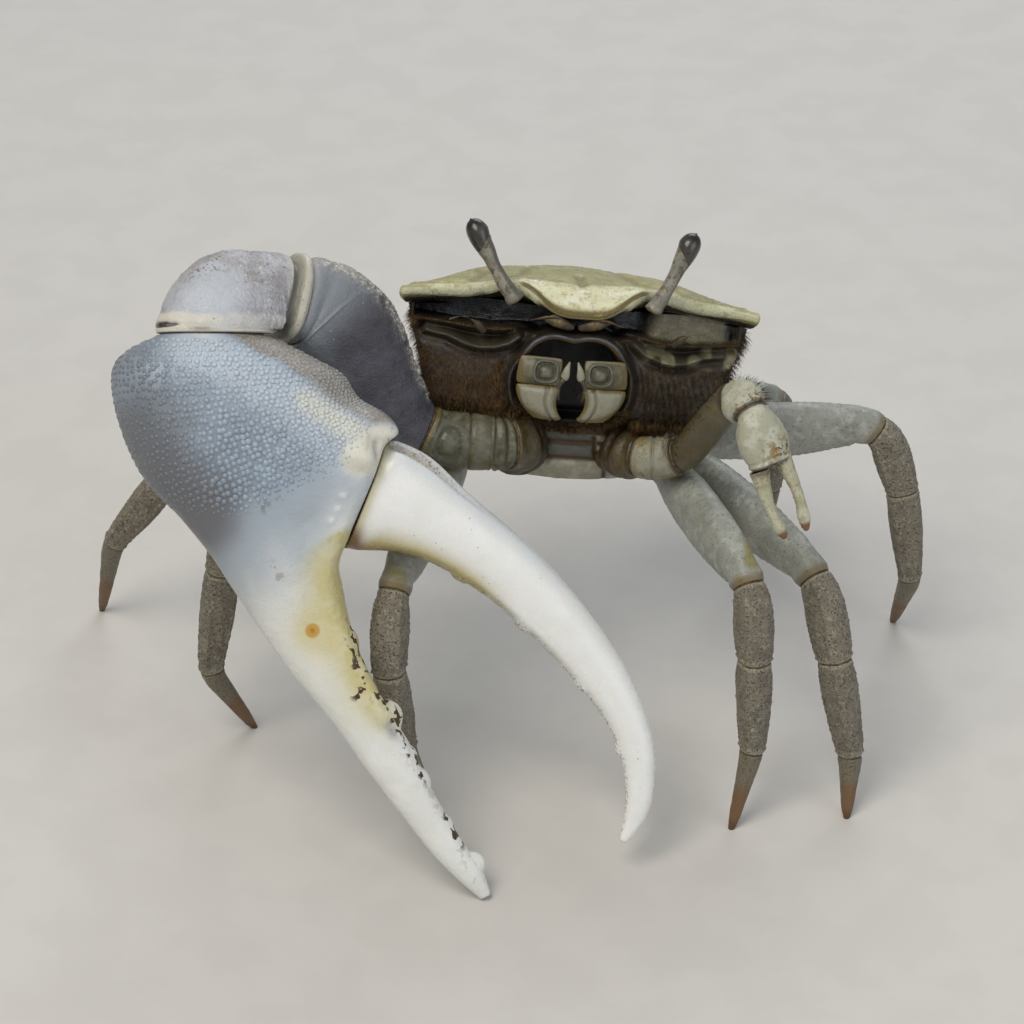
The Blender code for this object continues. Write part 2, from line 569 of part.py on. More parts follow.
def make_thumb(wrist, along, across, face, group):
    """The movable finger: sections carried along a line whose heading turns as named."""
    near = wrist + (HINGE_NEAR[0] * along + HINGE_NEAR[1] * across) * WIDTH
    far = wrist + (HINGE_FAR[0] * along + HINGE_FAR[1] * across) * WIDTH
    middle = (near + far) / 2
    length = THUMB[-1][0]
    dense = np.linspace(0, length, 60)
    heading = np.radians(smooth(THUMB_HEADINGS, dense)[:, 0])
    step = dense[1] - dense[0]
    u = np.concatenate([[0], np.cumsum(np.cos(heading[:-1]) * step)])
    v = np.concatenate([[0], np.cumsum(np.sin(heading[:-1]) * step)])
    at = np.linspace(THUMB[0][0], length, 20)
    values = smooth(THUMB, at)
    rings = []
    teeth = new_collection("thumb_teeth")
    for s, height, half in THUMB_TEETH:
        value = smooth(THUMB, [s])[0]
        angle = np.interp(s, dense, heading)
        way = math.cos(angle) * along + math.sin(angle) * across
        inward = math.sin(angle) * along - math.cos(angle) * across
        edge = (middle + inward * (0.7 * value[1] - value[0]) * WIDTH
                + (np.interp(s, dense, u) * along + np.interp(s, dense, v) * across) * WIDTH)
        tooth("thumb_tooth", edge, inward, way, face, height + 0.3 * value[1], half, teeth)
    for s, value in zip(at, values):
        place = middle + (np.interp(s, dense, u) * along + np.interp(s, dense, v) * across) * WIDTH
        angle = np.interp(s, dense, heading)
        up = -math.sin(angle) * along + math.cos(angle) * across
        if s == at[0]:
            up = unit(near - far)
        rings.append(section(place + up * value[0] * WIDTH, up, face, value[1] * WIDTH,
                             value[2] * WIDTH, 16, 2.2))
    thumb = loft("claw_dactyl", rings, group, "claw_finger", origin=tuple(middle))
    fuse(thumb, teeth)


def tooth(name, base, out, along, face, height, half, group):
    """A blunt four-sided tooth rooted inside a finger, its tip standing out by its height."""
    rings = []
    for share, size in ((0, 1.0), (0.6, 0.62), (1, 0.16)):
        centre = base + out * share * height * WIDTH
        rings.append(section(centre, along, face, half * size * WIDTH, 0.7 * half * size * WIDTH,
                             6, 2.0))
    loft(name, rings, group)


def make_pincer(frame, group, joiners):
    """Small left cheliped, with two spoon-ended fingers."""
    root = in_world(frame, (PINCER_ROOT[0] - COXA_IN, PINCER_ROOT[1] + COXA_BACK, PINCER_ROOT[2]))
    joints = [root, in_world(frame, PINCER_ROOT)]
    for azimuth, elevation, length in PINCER_STEPS.values():
        joints.append(joints[-1] + direction(azimuth, elevation) * length * WIDTH)
    bends = [0.04 * WIDTH, 0.05 * WIDTH, 0.05 * WIDTH, 0.05 * WIDTH]
    runs = centre_lines(joints, bends)
    viewer = direction(*CLAW_FACE)
    segment("pincer_coxa", runs[0], ((0, 0.070, 0.065), (1, 0.060, 0.056)), viewer, joiners, None,
            steps=3, sides=10, trim=(0, GAP / 2))
    for k, (part, stations) in enumerate((("ischium", PINCER_ISCHIUM), ("merus", PINCER_MERUS),
                                          ("carpus", PINCER_CARPUS), ("manus", PINCER_MANUS))):
        palm = segment("pincer_" + part, runs[k + 1], stations, viewer, group, "pincer", steps=6,
                       sides=10)
    fixed = new_collection("fixed_finger")
    axis = direction(*PINCER_STEPS["manus"][:2])
    wide = unit(viewer - np.dot(viewer, axis) * axis)
    across = np.cross(wide, axis)
    for part, sign in (("dactyl", -1), ("pollex", 1)):
        start = joints[-1] + sign * across * 0.036 * WIDTH
        spread = math.radians(PINCER_SPREAD) * sign
        way = math.cos(spread) * axis + math.sin(spread) * across
        run = (np.array((start, start + way * PINCER_FINGER_LENGTH * WIDTH)), axis, way)
        if part == "dactyl":
            segment("pincer_dactyl", run, PINCER_FINGER, viewer, group, "pincer", steps=6,
                    sides=8, trim=(GAP / 2, 0))
        else:
            segment("pincer_pollex", run, PINCER_FINGER, viewer, fixed, None, steps=6, sides=8,
                    trim=(-0.03 * WIDTH, 0))
    fuse(palm, fixed)


def make_eyes(frame, group):
    """A round stalk and, past a thin cut, the dark cornea that caps it."""
    for side, tip in EYE_TIPS.items():
        sign = 1 if side == "left" else -1
        root = np.array((sign * EYE_ROOT[0], EYE_ROOT[1], EYE_ROOT[2]))
        root, tip = in_world(frame, root), in_world(frame, tip)
        way = unit(tip - root)
        length = np.linalg.norm(tip - root)
        split = EYE_SECTION[-1][0]
        face = np.array((0.0, -1.0, 0.0))
        stalk = [(a / split, r, r) for a, r in EYE_SECTION]
        lens = [((a - split) / (1 - split), r, r) for a, r in CORNEA_SECTION]
        segment("eyestalk_" + side, (np.array((root, root + way * length * split)), way, way), stalk,
                face, group, "stalk", steps=7, sides=10, power=2.0)
        segment("cornea_" + side, (np.array((root + way * length * split, tip)), way, way), lens,
                face, group, "cornea", steps=6, sides=10, power=2.0, trim=(GAP / 2, 0))


def make_antennae(frame, group, joiners):
    """The short second feelers, one on each orbit's floor beside the eyestalk."""
    for side, sign in (("left", 1), ("right", -1)):
        root, seat, tip = (in_world(frame, (sign * x, y, z)) for x, y, z in ANTENNA_PATH)
        way = unit(tip - seat)
        face = np.array((0.0, -1.0, 0.0))
        segment("feeler_seat", (np.array((root, seat)), unit(seat - root), way),
                ((0, 0.022, 0.022), (1, 0.016, 0.016)), face, joiners, None, steps=3, sides=8,
                trim=(0, GAP / 2))
        segment("antenna_" + side, (np.array((seat, tip)), way, way), ANTENNA, face, group,
                "stalk", steps=6, sides=8, power=2.0, trim=(GAP / 2, 0))


def make_mouth(frame, group):
    """Two flat plates that close the mouth, each a bevelled block."""
    for side, sign in (("left", 1), ("right", -1)):
        bpy.ops.mesh.primitive_cube_add(size=2)
        plate = bpy.context.object
        plate.name = "maxilliped_" + side
        plate.data.transform(Matrix.Diagonal((*(v * WIDTH for v in MOUTH_PLATE), 1)))
        plate.location = [sign * MOUTH_PLACE[0] * WIDTH, MOUTH_PLACE[1] * WIDTH,
                          MOUTH_PLACE[2] * WIDTH]
        plate.rotation_euler = (math.radians(-4), 0, math.radians(4 * sign))
        plate.parent = frame
        move_to(plate, group)
        plate.data.materials.append(material("mouthpart"))
        edge = plate.modifiers.new("edge", "BEVEL")
        edge.width = 0.02 * WIDTH
        edge.segments = 3


def move_to(obj, group):
    for old in obj.users_collection:
        old.objects.unlink(obj)
    group.objects.link(obj)


def make_abdomen(frame, group):
    """The male's narrow flap, folded forward under the sternum."""
    rings = []
    for y, half, low in ((0.60, 0.115, -0.478), (0.54, 0.110, -0.564), (0.46, 0.092, -0.578),
                         (0.36, 0.070, -0.580), (0.26, 0.052, -0.580), (0.20, 0.030, -0.578)):
        rings.append(section((0, y * WIDTH, low * WIDTH), (0, 0, 1), (1, 0, 0), 0.018 * WIDTH,
                             half * WIDTH, 12, 3.0))
    return loft("abdomen", rings, group, "abdomen", parent=frame)


def rest_on_origin(group, frame):
    """Stands the crab over the origin: its box is centred there, its toes are at z = 0."""
    bpy.context.view_layer.update()
    graph = bpy.context.evaluated_depsgraph_get()
    corners = []
    for obj in group.objects:
        shape = obj.evaluated_get(graph)
        corners += [shape.matrix_world @ Vector(corner) for corner in shape.bound_box]
    low = [min(c[i] for c in corners) for i in range(3)]
    high = [max(c[i] for c in corners) for i in range(3)]
    stand = bpy.data.objects.new("crab_stand", None)
    bpy.context.scene.collection.objects.link(stand)
    for obj in [*group.objects, frame]:
        if obj.parent is None:
            obj.parent = stand
    stand.location = (-(low[0] + high[0]) / 2, -(low[1] + high[1]) / 2, 0)
    print("crab box centre before the shift, mm:",
          [round((low[i] + high[i]) / 2 / MM, 3) for i in range(2)])


def main():
    clear_scene()
    group = new_collection("fiddler_crab")
    joiners = new_collection("joiners")
    joiners.hide_render = True
    new_collection("cutters").hide_render = True
    frame = body_frame()
    bpy.context.view_layer.update()
    make_carapace(frame, group)
    thorax = make_thorax(frame, group, joiners)
    make_eyes(frame, group)
    make_antennae(frame, group, joiners)
    make_mouth(frame, group)
    make_abdomen(frame, group)
    make_claw(frame, group, joiners)
    make_pincer(frame, group, joiners)
    for name in LEG_POSE:
        make_leg(frame, name, group, joiners)
    fuse(thorax, joiners)
    rest_on_origin(group, frame)


main()
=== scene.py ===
# Male fiddler crab, life size: the looks of its shell, claw, face, legs and short hair.
import math
import bpy
import numpy as np
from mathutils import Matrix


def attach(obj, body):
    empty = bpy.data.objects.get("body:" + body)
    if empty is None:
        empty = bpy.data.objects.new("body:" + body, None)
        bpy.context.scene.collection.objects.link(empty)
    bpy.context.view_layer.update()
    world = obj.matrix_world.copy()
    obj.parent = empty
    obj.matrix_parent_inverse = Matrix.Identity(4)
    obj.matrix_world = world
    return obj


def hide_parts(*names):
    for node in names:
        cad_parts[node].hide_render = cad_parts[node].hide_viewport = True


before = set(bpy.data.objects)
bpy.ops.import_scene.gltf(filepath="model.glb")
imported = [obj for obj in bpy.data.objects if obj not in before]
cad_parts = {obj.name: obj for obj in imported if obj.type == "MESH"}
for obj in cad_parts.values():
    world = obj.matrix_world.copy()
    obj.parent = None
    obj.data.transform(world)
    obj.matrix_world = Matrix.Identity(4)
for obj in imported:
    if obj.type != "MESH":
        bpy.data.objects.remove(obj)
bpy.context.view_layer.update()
print("frame loaded:", len(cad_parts), "nodes")

mm = 0.001
crabWidth = 24.0 * mm                                # carapace width: part sizes are given in it
standShift = np.array((0.696, 4.531, 0.0)) * mm      # brings the crab over the origin


# numbers and directions
def unit(vector):
    # a vector, or rows of them, over its length
    vector = np.asarray(vector, float)
    return vector / np.maximum(np.linalg.norm(vector, axis=-1, keepdims=True), 1e-12)


def direction(azimuth, elevation):
    # the unit vector of an azimuth from +x towards +y and an elevation, in degrees
    az, el = math.radians(azimuth), math.radians(elevation)
    return np.array((math.cos(el) * math.cos(az), math.cos(el) * math.sin(az), math.sin(el)))


def ramp(values, low, high):
    # 0 up to low, 1 from high on, and the curve 3t^2 - 2t^3 between
    t = np.clip((np.asarray(values, float) - low) / (high - low), 0, 1)
    return t * t * (3 - 2 * t)


def hill(values, centre, width):
    # a rounded hump, exp of minus the squared distance in widths
    return np.exp(-((np.asarray(values, float) - centre) / width) ** 2)


def roundHill(around, middle, width):
    # the same hump round a limb: the distance is the angle's, in radians
    return hill(np.angle(np.exp(1j * (around - middle))), 0, width)


def fromAngle(around, degrees, width):
    # a band along a limb at an angle round it: 0 faces the viewer, 90 is its upper edge
    return roundHill(around, math.radians(degrees), math.radians(width))


def throughStations(stations, at):
    # cubic through the stations: each column after the first, read at places in the first
    table = np.array(stations, float)
    x, at = table[:, 0], np.clip(np.asarray(at, float), table[0, 0], table[-1, 0])
    k = np.clip(np.searchsorted(x, at, side="right") - 1, 0, len(x) - 2)
    step = x[k + 1] - x[k]
    t = ((at - x[k]) / step)[..., None]
    y, slope = table[:, 1:], np.gradient(table[:, 1:], x, axis=0)
    step = step[..., None]
    return ((2 * t**3 - 3 * t**2 + 1) * y[k] + (t**3 - 2 * t**2 + t) * step * slope[k]
            + (3 * t**2 - 2 * t**3) * y[k + 1] + (t**3 - t**2) * step * slope[k + 1])


def cornerHash(i, j, k, seed):
    # a repeatable number from 0 to 1 for each corner of a lattice
    h = (i * 374761393 + j * 668265263 + k * 1103515245 + seed * 974634777) & 0xFFFFFFFF
    h = ((h ^ (h >> 13)) * 1274126177) & 0xFFFFFFFF
    return ((h ^ (h >> 16)) & 0xFFFF) / 65535.0


def cloud(points, size, seed=0):
    # soft noise from -1 to 1: random heights at the corners of cubes of this size, blended between
    at = np.asarray(points, float) / size
    cell = np.floor(at).astype(np.int64)
    f = at - cell
    f = f * f * (3 - 2 * f)
    total = 0
    for a in (0, 1):
        for b in (0, 1):
            for c in (0, 1):
                weight = ((f[..., 0] if a else 1 - f[..., 0]) * (f[..., 1] if b else 1 - f[..., 1])
                          * (f[..., 2] if c else 1 - f[..., 2]))
                total = total + weight * cornerHash(cell[..., 0] + a, cell[..., 1] + b,
                                                    cell[..., 2] + c, seed)
    return 2 * total - 1


def grains(points, size, seed=0):
    # distance, in cell sizes, to the nearest of the points strewn one to a cube
    at = np.asarray(points, float) / size
    cell = np.floor(at).astype(np.int64)
    nearest = np.full(at.shape[:-1], 9.0)
    for a in (-1, 0, 1):
        for b in (-1, 0, 1):
            for c in (-1, 0, 1):
                i, j, k = cell[..., 0] + a, cell[..., 1] + b, cell[..., 2] + c
                spot = np.stack([i + 0.15 + 0.7 * cornerHash(i, j, k, seed + 1),
                                 j + 0.15 + 0.7 * cornerHash(i, j, k, seed + 2),
                                 k + 0.15 + 0.7 * cornerHash(i, j, k, seed + 3)], axis=-1)
                nearest = np.minimum(nearest, np.linalg.norm(at - spot, axis=-1))
    return nearest


def beads(points, size, seed=0):
    # rounded grains from 0 to 1: one minus the squared distance to the nearest grain's middle
    return np.clip(1 - (grains(points, size, seed) / 0.55) ** 2, 0, 1)


def alongLine(x, y, line):
    # distance from points of a plane to a drawn line, and the share of the line at its nearest place
    line = np.asarray(line, float)
    best = np.full(np.shape(x), 1e9)
    share = np.zeros(np.shape(x))
    for k, (start, end) in enumerate(zip(line, line[1:])):
        way = end - start
        t = np.clip(((x - start[0]) * way[0] + (y - start[1]) * way[1]) / (way @ way), 0, 1)
        gap = np.hypot(x - start[0] - t * way[0], y - start[1] - t * way[1])
        share = np.where(gap < best, (k + t) / (len(line) - 1), share)
        best = np.minimum(best, gap)
    return best, share


# meshes
def hexToLinear(code):
    # an sRGB hex colour as linear light
    values = [int(code[i:i + 2], 16) / 255 for i in (1, 3, 5)]
    return tuple(v / 12.92 if v <= 0.04045 else ((v + 0.055) / 1.055) ** 2.4 for v in values)


def makePiece(name, points, faces, finish, masks=None, slot=None, nodes=()):
    # a mesh at the origin from points and blocks of faces, each mask a number per point;
    # a closed mesh whose signed volume is below 0 is turned round
    points = np.asarray(points, float).reshape(-1, 3)
    blocks = [np.asarray(block, np.int64) for block in faces if len(block)]
    volume = 0.0
    middle = points.mean(axis=0)
    for block in blocks:
        for k in range(1, block.shape[1] - 1):
            a, b, c = (points[block[:, i]] - middle for i in (0, k, k + 1))
            volume += np.einsum("ij,ij->", a, np.cross(b, c))
    if volume < 0:
        blocks = [block[:, ::-1] for block in blocks]
    corners = np.concatenate([block.reshape(-1) for block in blocks])
    sizes = np.concatenate([np.full(len(block), block.shape[1]) for block in blocks])
    mesh = bpy.data.meshes.new(name)
    mesh.vertices.add(len(points))
    mesh.vertices.foreach_set("co", points.astype(np.float32).ravel())
    mesh.loops.add(len(corners))
    mesh.loops.foreach_set("vertex_index", corners.astype(np.int32))
    mesh.polygons.add(len(sizes))
    mesh.polygons.foreach_set("loop_start", np.concatenate([[0], np.cumsum(sizes)[:-1]]).astype(np.int32))
    mesh.polygons.foreach_set("use_smooth", np.ones(len(sizes), bool))
    mesh.update(calc_edges=True)
    mesh.validate()
    for key, values in (masks or {}).items():
        layer = mesh.attributes.new(key, "FLOAT", "POINT")
        layer.data.foreach_set("value", np.asarray(values, np.float32).ravel())
    mesh.materials.append(finish)
    piece = bpy.data.objects.new(name, mesh)
    bpy.context.scene.collection.objects.link(piece)
    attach(piece, "root")
    if nodes:
        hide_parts(*nodes)
    return piece


def ringFaces(count, sides, closed=True):
    # quads between rings of equal count; with closed, a fan from a last point at either end
    i, j = np.meshgrid(np.arange(count - 1), np.arange(sides), indexing="ij")
    k = (j + 1) % sides
    quads = np.stack([i * sides + j, (i + 1) * sides + j, (i + 1) * sides + k, i * sides + k],
                     axis=-1).reshape(-1, 4)
    if not closed:
        return [quads]
    j = np.arange(sides)
    k = (j + 1) % sides
    start, end = count * sides, count * sides + 1
    top = (count - 1) * sides
    return [quads, np.stack([np.full(sides, start), j, k], axis=-1),
            np.stack([np.full(sides, end), top + k, top + j], axis=-1)]


def sheetFaces(rows, columns):
    # one quad for each cell of a grid whose points are numbered row by row
    i, j = np.meshgrid(np.arange(rows - 1), np.arange(columns - 1), indexing="ij")
    first = i * columns + j
    return np.stack([first, first + 1, first + columns + 1, first + columns], axis=-1).reshape(-1, 4)


def ringNormals(rings):
    # across the two ways that the rings run, turned away from each ring's middle
    along = np.gradient(rings, axis=0)
    around = np.roll(rings, -1, axis=1) - np.roll(rings, 1, axis=1)
    normals = unit(np.cross(around, along))
    outward = rings - rings.mean(axis=1, keepdims=True)
    return normals * np.sign(np.einsum("ijk,ijk->", normals, outward))


def sheetNormals(grid):
    # across the way to the next column and the way to the next row
    return unit(np.cross(np.gradient(grid, axis=1), np.gradient(grid, axis=0)))


# limbs: sections carried along a line

limbGap = 0.3 * mm


def centreLines(joints, bends):
    # the limb's axis, one run for each segment, with each corner rounded over its bend
    joints = [np.asarray(j, float) for j in joints]
    heads = [unit(b - a) for a, b in zip(joints, joints[1:])]
    runs = []
    for k, head in enumerate(heads):
        start, end = joints[k], joints[k + 1]
        points = [start]
        first, last = head, head
        if k > 0:
            before, after = start - bends[k - 1] * heads[k - 1], start + bends[k - 1] * head
            points = [(1 - t)**2 * before + 2 * t * (1 - t) * start + t**2 * after
                      for t in np.linspace(0.5, 1, 13)]
            first = unit(heads[k - 1] + head)
        if k < len(heads) - 1:
            before, after = end - bends[k] * head, end + bends[k] * heads[k + 1]
            points += [(1 - t)**2 * before + 2 * t * (1 - t) * end + t**2 * after
                       for t in np.linspace(0, 0.5, 13)]
            last = unit(head + heads[k + 1])
        else:
            points.append(end)
        runs.append((np.array(points), first, last))
    return runs


def superRing(angle, power):
    # cos and sin raised to 2 / power, which squares the circle as the power grows
    c, s = np.cos(angle), np.sin(angle)
    return np.sign(c) * np.abs(c) ** (2 / power), np.sign(s) * np.abs(s) ** (2 / power)


def limb(run, stations, face, rows, sides, size=1.0, power=2.4, keel=0.0, flatFoot=False,
         trim=(limbGap / 2, limbGap / 2), ease=0.0, grow=0.0):
    # sections carried along the run: half height, half thickness and offset come from the
    # stations, and rings that would cross a joint's plane are pressed back behind it
    points, first, last = run
    travelled = np.concatenate([[0], np.cumsum(np.linalg.norm(np.diff(points, axis=0), axis=1))])
    at = np.linspace(trim[0], travelled[-1] - trim[1], rows)
    places = np.stack([np.interp(at, travelled, points[:, i]) for i in range(3)], axis=1)
    places[1:-1] = (places[:-2] + 2 * places[1:-1] + places[2:]) / 4
    tangents = unit(np.gradient(places, axis=0))
    turnRows = max(2, int(rows * 0.14))
    if ease:
        share = np.clip((np.linspace(0, 1, rows) - 1 + ease) / ease, 0, 1)[:, None]
        tangents = unit((1 - share) * tangents + share * last)
    if flatFoot:
        last = np.array((0.0, 0.0, -1.0))
    share = np.linspace(1, 0, turnRows)[:, None] ** 1.5
    tangents[:turnRows] = unit(share * first + (1 - share) * tangents[:turnRows])
    tangents[-turnRows:] = unit(share[::-1] * last + (1 - share[::-1]) * tangents[-turnRows:])
    values = throughStations(stations, np.linspace(0, 1, rows)) * crabWidth * size + grow
    across = unit(face - (tangents @ face)[:, None] * tangents)
    up = np.cross(across, tangents)
    if values.shape[1] > 2:
        places = places + up * (values[:, 2:3] - grow)
    angle = np.linspace(0, 2 * math.pi, sides, endpoint=False)
    wide, high = superRing(angle, power)
    wide = wide * (1 - keel * high)
    rings = (places[:, None] + (high[None] * values[:, :1])[..., None] * up[:, None]
             + (wide[None] * values[:, 1:2])[..., None] * across[:, None])
    ply = 0.4 * mm / rows
    for order, plane, outward in ((1, places[0], -first), (-1, places[-1], tangents[-1])):
        turned = rings[::order]
        over = (turned - plane) @ outward + np.arange(rows)[:, None] * ply
        rings = (turned - np.maximum(over, 0)[..., None] * outward)[::order]
    along = np.broadcast_to(np.linspace(0, 1, rows)[:, None], (rows, sides))
    return {"rings": rings, "along": along, "around": np.broadcast_to(angle, (rows, sides)),
            "ends": (-first, tangents[-1])}


def relieve(part, height):
    # moves each point out along its normal by a height, and lets it fade at the very ends
    fade = ramp(part["along"], 0, 0.03) * (1 - ramp(part["along"], 0.97, 1))
    part["rings"] = part["rings"] + (height * fade)[..., None] * ringNormals(part["rings"])
    return part


# a segment's end: each step is a share of the ring's size and how far out it stands, in mm
shellEnd = ((0.985, 0.05), (0.95, 0.085), (0.90, 0.09), (0.84, 0.05), (0.80, -0.04), (0.76, -0.22),
            (0.5, -0.26))
roundEnd = ((0.97, 0.04), (0.88, 0.10), (0.72, 0.16), (0.45, 0.20))


def closeLimb(part, startEnd=shellEnd, endEnd=shellEnd):
    # adds the rings of both ends and a point that closes each; masks follow the added rings
    rings, along, around = part["rings"], part["along"], part["around"]
    blocks, poles = [], []
    for k, (shape, outward) in enumerate(zip((startEnd, endEnd), part["ends"])):
        ring = rings[0 if k == 0 else -1]
        centre = ring.mean(axis=0)
        extra = np.array([centre + (ring - centre) * share + outward * out * mm
                          for share, out in shape])
        poles.append(extra[-1].mean(axis=0))
        blocks.append(extra if k else extra[::-1])
    count = (len(blocks[0]), len(blocks[1]))
    part["rings"] = np.concatenate([blocks[0], rings, blocks[1]])
    part["along"] = np.concatenate([np.zeros((count[0], along.shape[1])), along,
                                    np.ones((count[1], along.shape[1]))])
    part["around"] = np.broadcast_to(around[0], part["along"].shape)
    depth = np.array([out for share, out in startEnd])[::-1], np.array([out for share, out in endEnd])
    inside = np.concatenate([ramp(-depth[0], -0.06, 0.1), np.zeros(len(rings)),
                             ramp(-depth[1], -0.06, 0.1)])
    part["socket"] = np.broadcast_to(inside[:, None], part["along"].shape)
    part["poles"] = poles
    return part


def limbPiece(name, part, finish, masks, **more):
    # masks are functions of the part, read after it has been closed
    values = {key: np.concatenate([np.broadcast_to(mask, part["along"].shape).ravel(),
                                   np.broadcast_to(mask, part["along"].shape)[[0, -1], 0]])
              for key, mask in masks.items()}
    points = np.concatenate([part["rings"].reshape(-1, 3), part["poles"]])
    return makePiece(name, points, ringFaces(*part["along"].shape), finish, values, **more)


def skinPart(rings, t):
    # rings of skin as a part, with a point that closes each end
    shape = rings.shape[:2]
    return {"rings": rings, "along": np.broadcast_to(t, shape), "around": np.broadcast_to(0.0, shape),
            "poles": [rings[0].mean(axis=0), rings[-1].mean(axis=0)]}


def membrane(name, before, after, finish, share=0.86, folds=3, depth=0.10, slot=None, reach=0.16):
    # soft skin between two segments: a ring of each, shrunk and joined, with folds along the way
    first, last = before["rings"][-1], after["rings"][0]
    t = np.linspace(0, 1, 9 + 6 * folds)
    starts = first.mean(axis=0), last.mean(axis=0)
    inFirst = starts[0] + (first - starts[0]) * share - before["ends"][1] * reach * mm
    inLast = starts[1] + (last - starts[1]) * share - after["ends"][0] * reach * mm
    middle = (1 - t)[:, None] * starts[0] + t[:, None] * starts[1]
    rings = (1 - t)[:, None, None] * inFirst + t[:, None, None] * inLast
    swell = 1 + depth * np.sin(math.pi * t) * (0.4 + 0.6 * np.cos(2 * math.pi * folds * (t - 0.5)))
    rings = middle[:, None] + (rings - middle[:, None]) * swell[:, None, None]
    return limbPiece(name, skinPart(rings, t[:, None]), finish, {"fold": t[:, None]}, slot=slot)


# materials
def addNode(tree, kind, values=None, links=None, **settings):
    # one node with its settings, its input values, and what feeds its inputs
    node = tree.nodes.new(kind)
    for key, value in settings.items():
        setattr(node, key, value)
    for key, value in (values or {}).items():
        node.inputs[key].default_value = value
    for key, source in (links or {}).items():
        tree.links.new(source, node.inputs[key])
    return node


def painted(mask, colour=None, amount=1.0, **more):
    # a layer that lies where a mask painted on the mesh is high
    return {"kind": "painted", "mask": mask, "hex": colour, "amount": amount, **more}


def mottled(size, colour, span, amount, **more):
    # soft clouds of a size in mm; over the span the noise goes from bare to covered
    return {"kind": "cloud", "size": size, "hex": colour, "range": span, "amount": amount, **more}


def specked(size, colour, span, amount, **more):
    # round specks, one to each cell of a size in mm; over the span they fade at their edge
    return {"kind": "specks", "size": size, "hex": colour, "range": span, "amount": amount, **more}


def bumps(size, height, span=(0.3, 0.7), kind="cloud", **more):
    # relief too fine for the mesh: its size and its height in mm
    return {"kind": kind, "size": size, "height": height, "range": span, **more}


def shellFinish(name, look):
    # ground: hex colour; tints: colours laid over it in turn, each where its mask is high;
    # relief: bumps from large to small; gloss: roughness, and how much a slow noise varies it
    material = bpy.data.materials.new(name)
    material.use_nodes = True
    tree = material.node_tree
    shader = tree.nodes["Principled BSDF"]
    place = addNode(tree, "ShaderNodeTexCoord").outputs["Object"]

    def pattern(spec):
        # a mask from 0 to 1: soft clouds, round specks or a painted attribute of the mesh
        kind = spec.get("kind", "cloud")
        source = place
        if "squash" in spec:
            source = addNode(tree, "ShaderNodeMapping", {"Scale": spec["squash"]},
                             {"Vector": place}).outputs["Vector"]
        if kind == "painted":
            value = addNode(tree, "ShaderNodeAttribute", attribute_name=spec["mask"]).outputs["Fac"]
            low, high = spec.get("range", (0.0, 1.0))
        elif kind == "specks":
            value = addNode(tree, "ShaderNodeTexVoronoi", {"Scale": 1 / (spec["size"] * mm),
                            "Randomness": 1.0}, {"Vector": source}, feature="F1").outputs["Distance"]
            high, low = spec.get("range", (0.16, 0.30))
        else:
            value = addNode(tree, "ShaderNodeTexNoise", {"Scale": 1 / (spec["size"] * mm),
                            "Detail": spec.get("detail", 3.0), "Roughness": 0.55},
                            {"Vector": source}).outputs["Fac"]
            low, high = spec.get("range", (0.45, 0.6))
        value = addNode(tree, "ShaderNodeMapRange", {"From Min": low, "From Max": high},
                        {"Value": value}, interpolation_type="SMOOTHSTEP").outputs["Result"]
        if "only" in spec:      # the mask holds only where this other one is high
            value = addNode(tree, "ShaderNodeMath", None, {0: value, 1: pattern(spec["only"])},
                            operation="MULTIPLY").outputs["Value"]
        return value

    colour = None
    for tint in look["tints"]:
        amount = addNode(tree, "ShaderNodeMath", {1: tint.get("amount", 1.0)}, {0: pattern(tint)},
                         operation="MULTIPLY").outputs["Value"]
        values = {6: (*hexToLinear(look["ground"]), 1), 7: (*hexToLinear(tint["hex"]), 1)}
        links = {0: amount, 6: colour} if colour else {0: amount}
        colour = addNode(tree, "ShaderNodeMix", values, links, data_type="RGBA").outputs[2]
    tree.links.new(colour, shader.inputs["Base Color"])
    rough, vary = look.get("gloss", (0.5, 0.1))
    patch = pattern({"size": 0.8, "range": (0.3, 0.7)})
    rough = addNode(tree, "ShaderNodeMapRange", {"To Min": rough - vary, "To Max": rough + vary},
                    {"Value": patch}).outputs["Result"]
    for shine in look.get("shines", ()):        # places of another roughness
        rough = addNode(tree, "ShaderNodeMix", {3: shine["rough"]}, {0: pattern(shine), 2: rough},
                        data_type="FLOAT").outputs[0]
    tree.links.new(rough, shader.inputs["Roughness"])
    normal = None
    for bump in look.get("relief", ()):
        links = {"Height": pattern(bump)}
        if normal:
            links["Normal"] = normal
        normal = addNode(tree, "ShaderNodeBump", {"Distance": bump["height"] * mm},
                         links).outputs["Normal"]
    if normal:
        tree.links.new(normal, shader.inputs["Normal"])
    for key, value in look.get("shader", {}).items():
        shader.inputs[key].default_value = value
    return material


# the body's own frame: x to the crab's left, y backwards, z up, in carapace widths

bodyStance = {"place": (4.7, -2.3, 32.5), "yaw": 4, "pitch": 21, "roll": 6.4}


def turned(axis, degrees):
    # a rotation matrix: cos and sin in the two rows that the axis leaves
    c, s = math.cos(math.radians(degrees)), math.sin(math.radians(degrees))
    a, b = ((1, 2), (2, 0), (0, 1))[axis]
    matrix = np.eye(3)
    matrix[a, a] = matrix[b, b] = c
    matrix[a, b], matrix[b, a] = -s, s
    return matrix


bodyAxes = turned(2, bodyStance["yaw"]) @ turned(0, -bodyStance["pitch"]) @ turned(1, bodyStance["roll"])
bodyPlace = np.array(bodyStance["place"]) * mm + standShift


def inWorld(local):
    # body places in carapace widths, turned to the body's axes and moved to where it stands
    return (np.asarray(local, float) * crabWidth) @ bodyAxes.T + bodyPlace


# walking legs

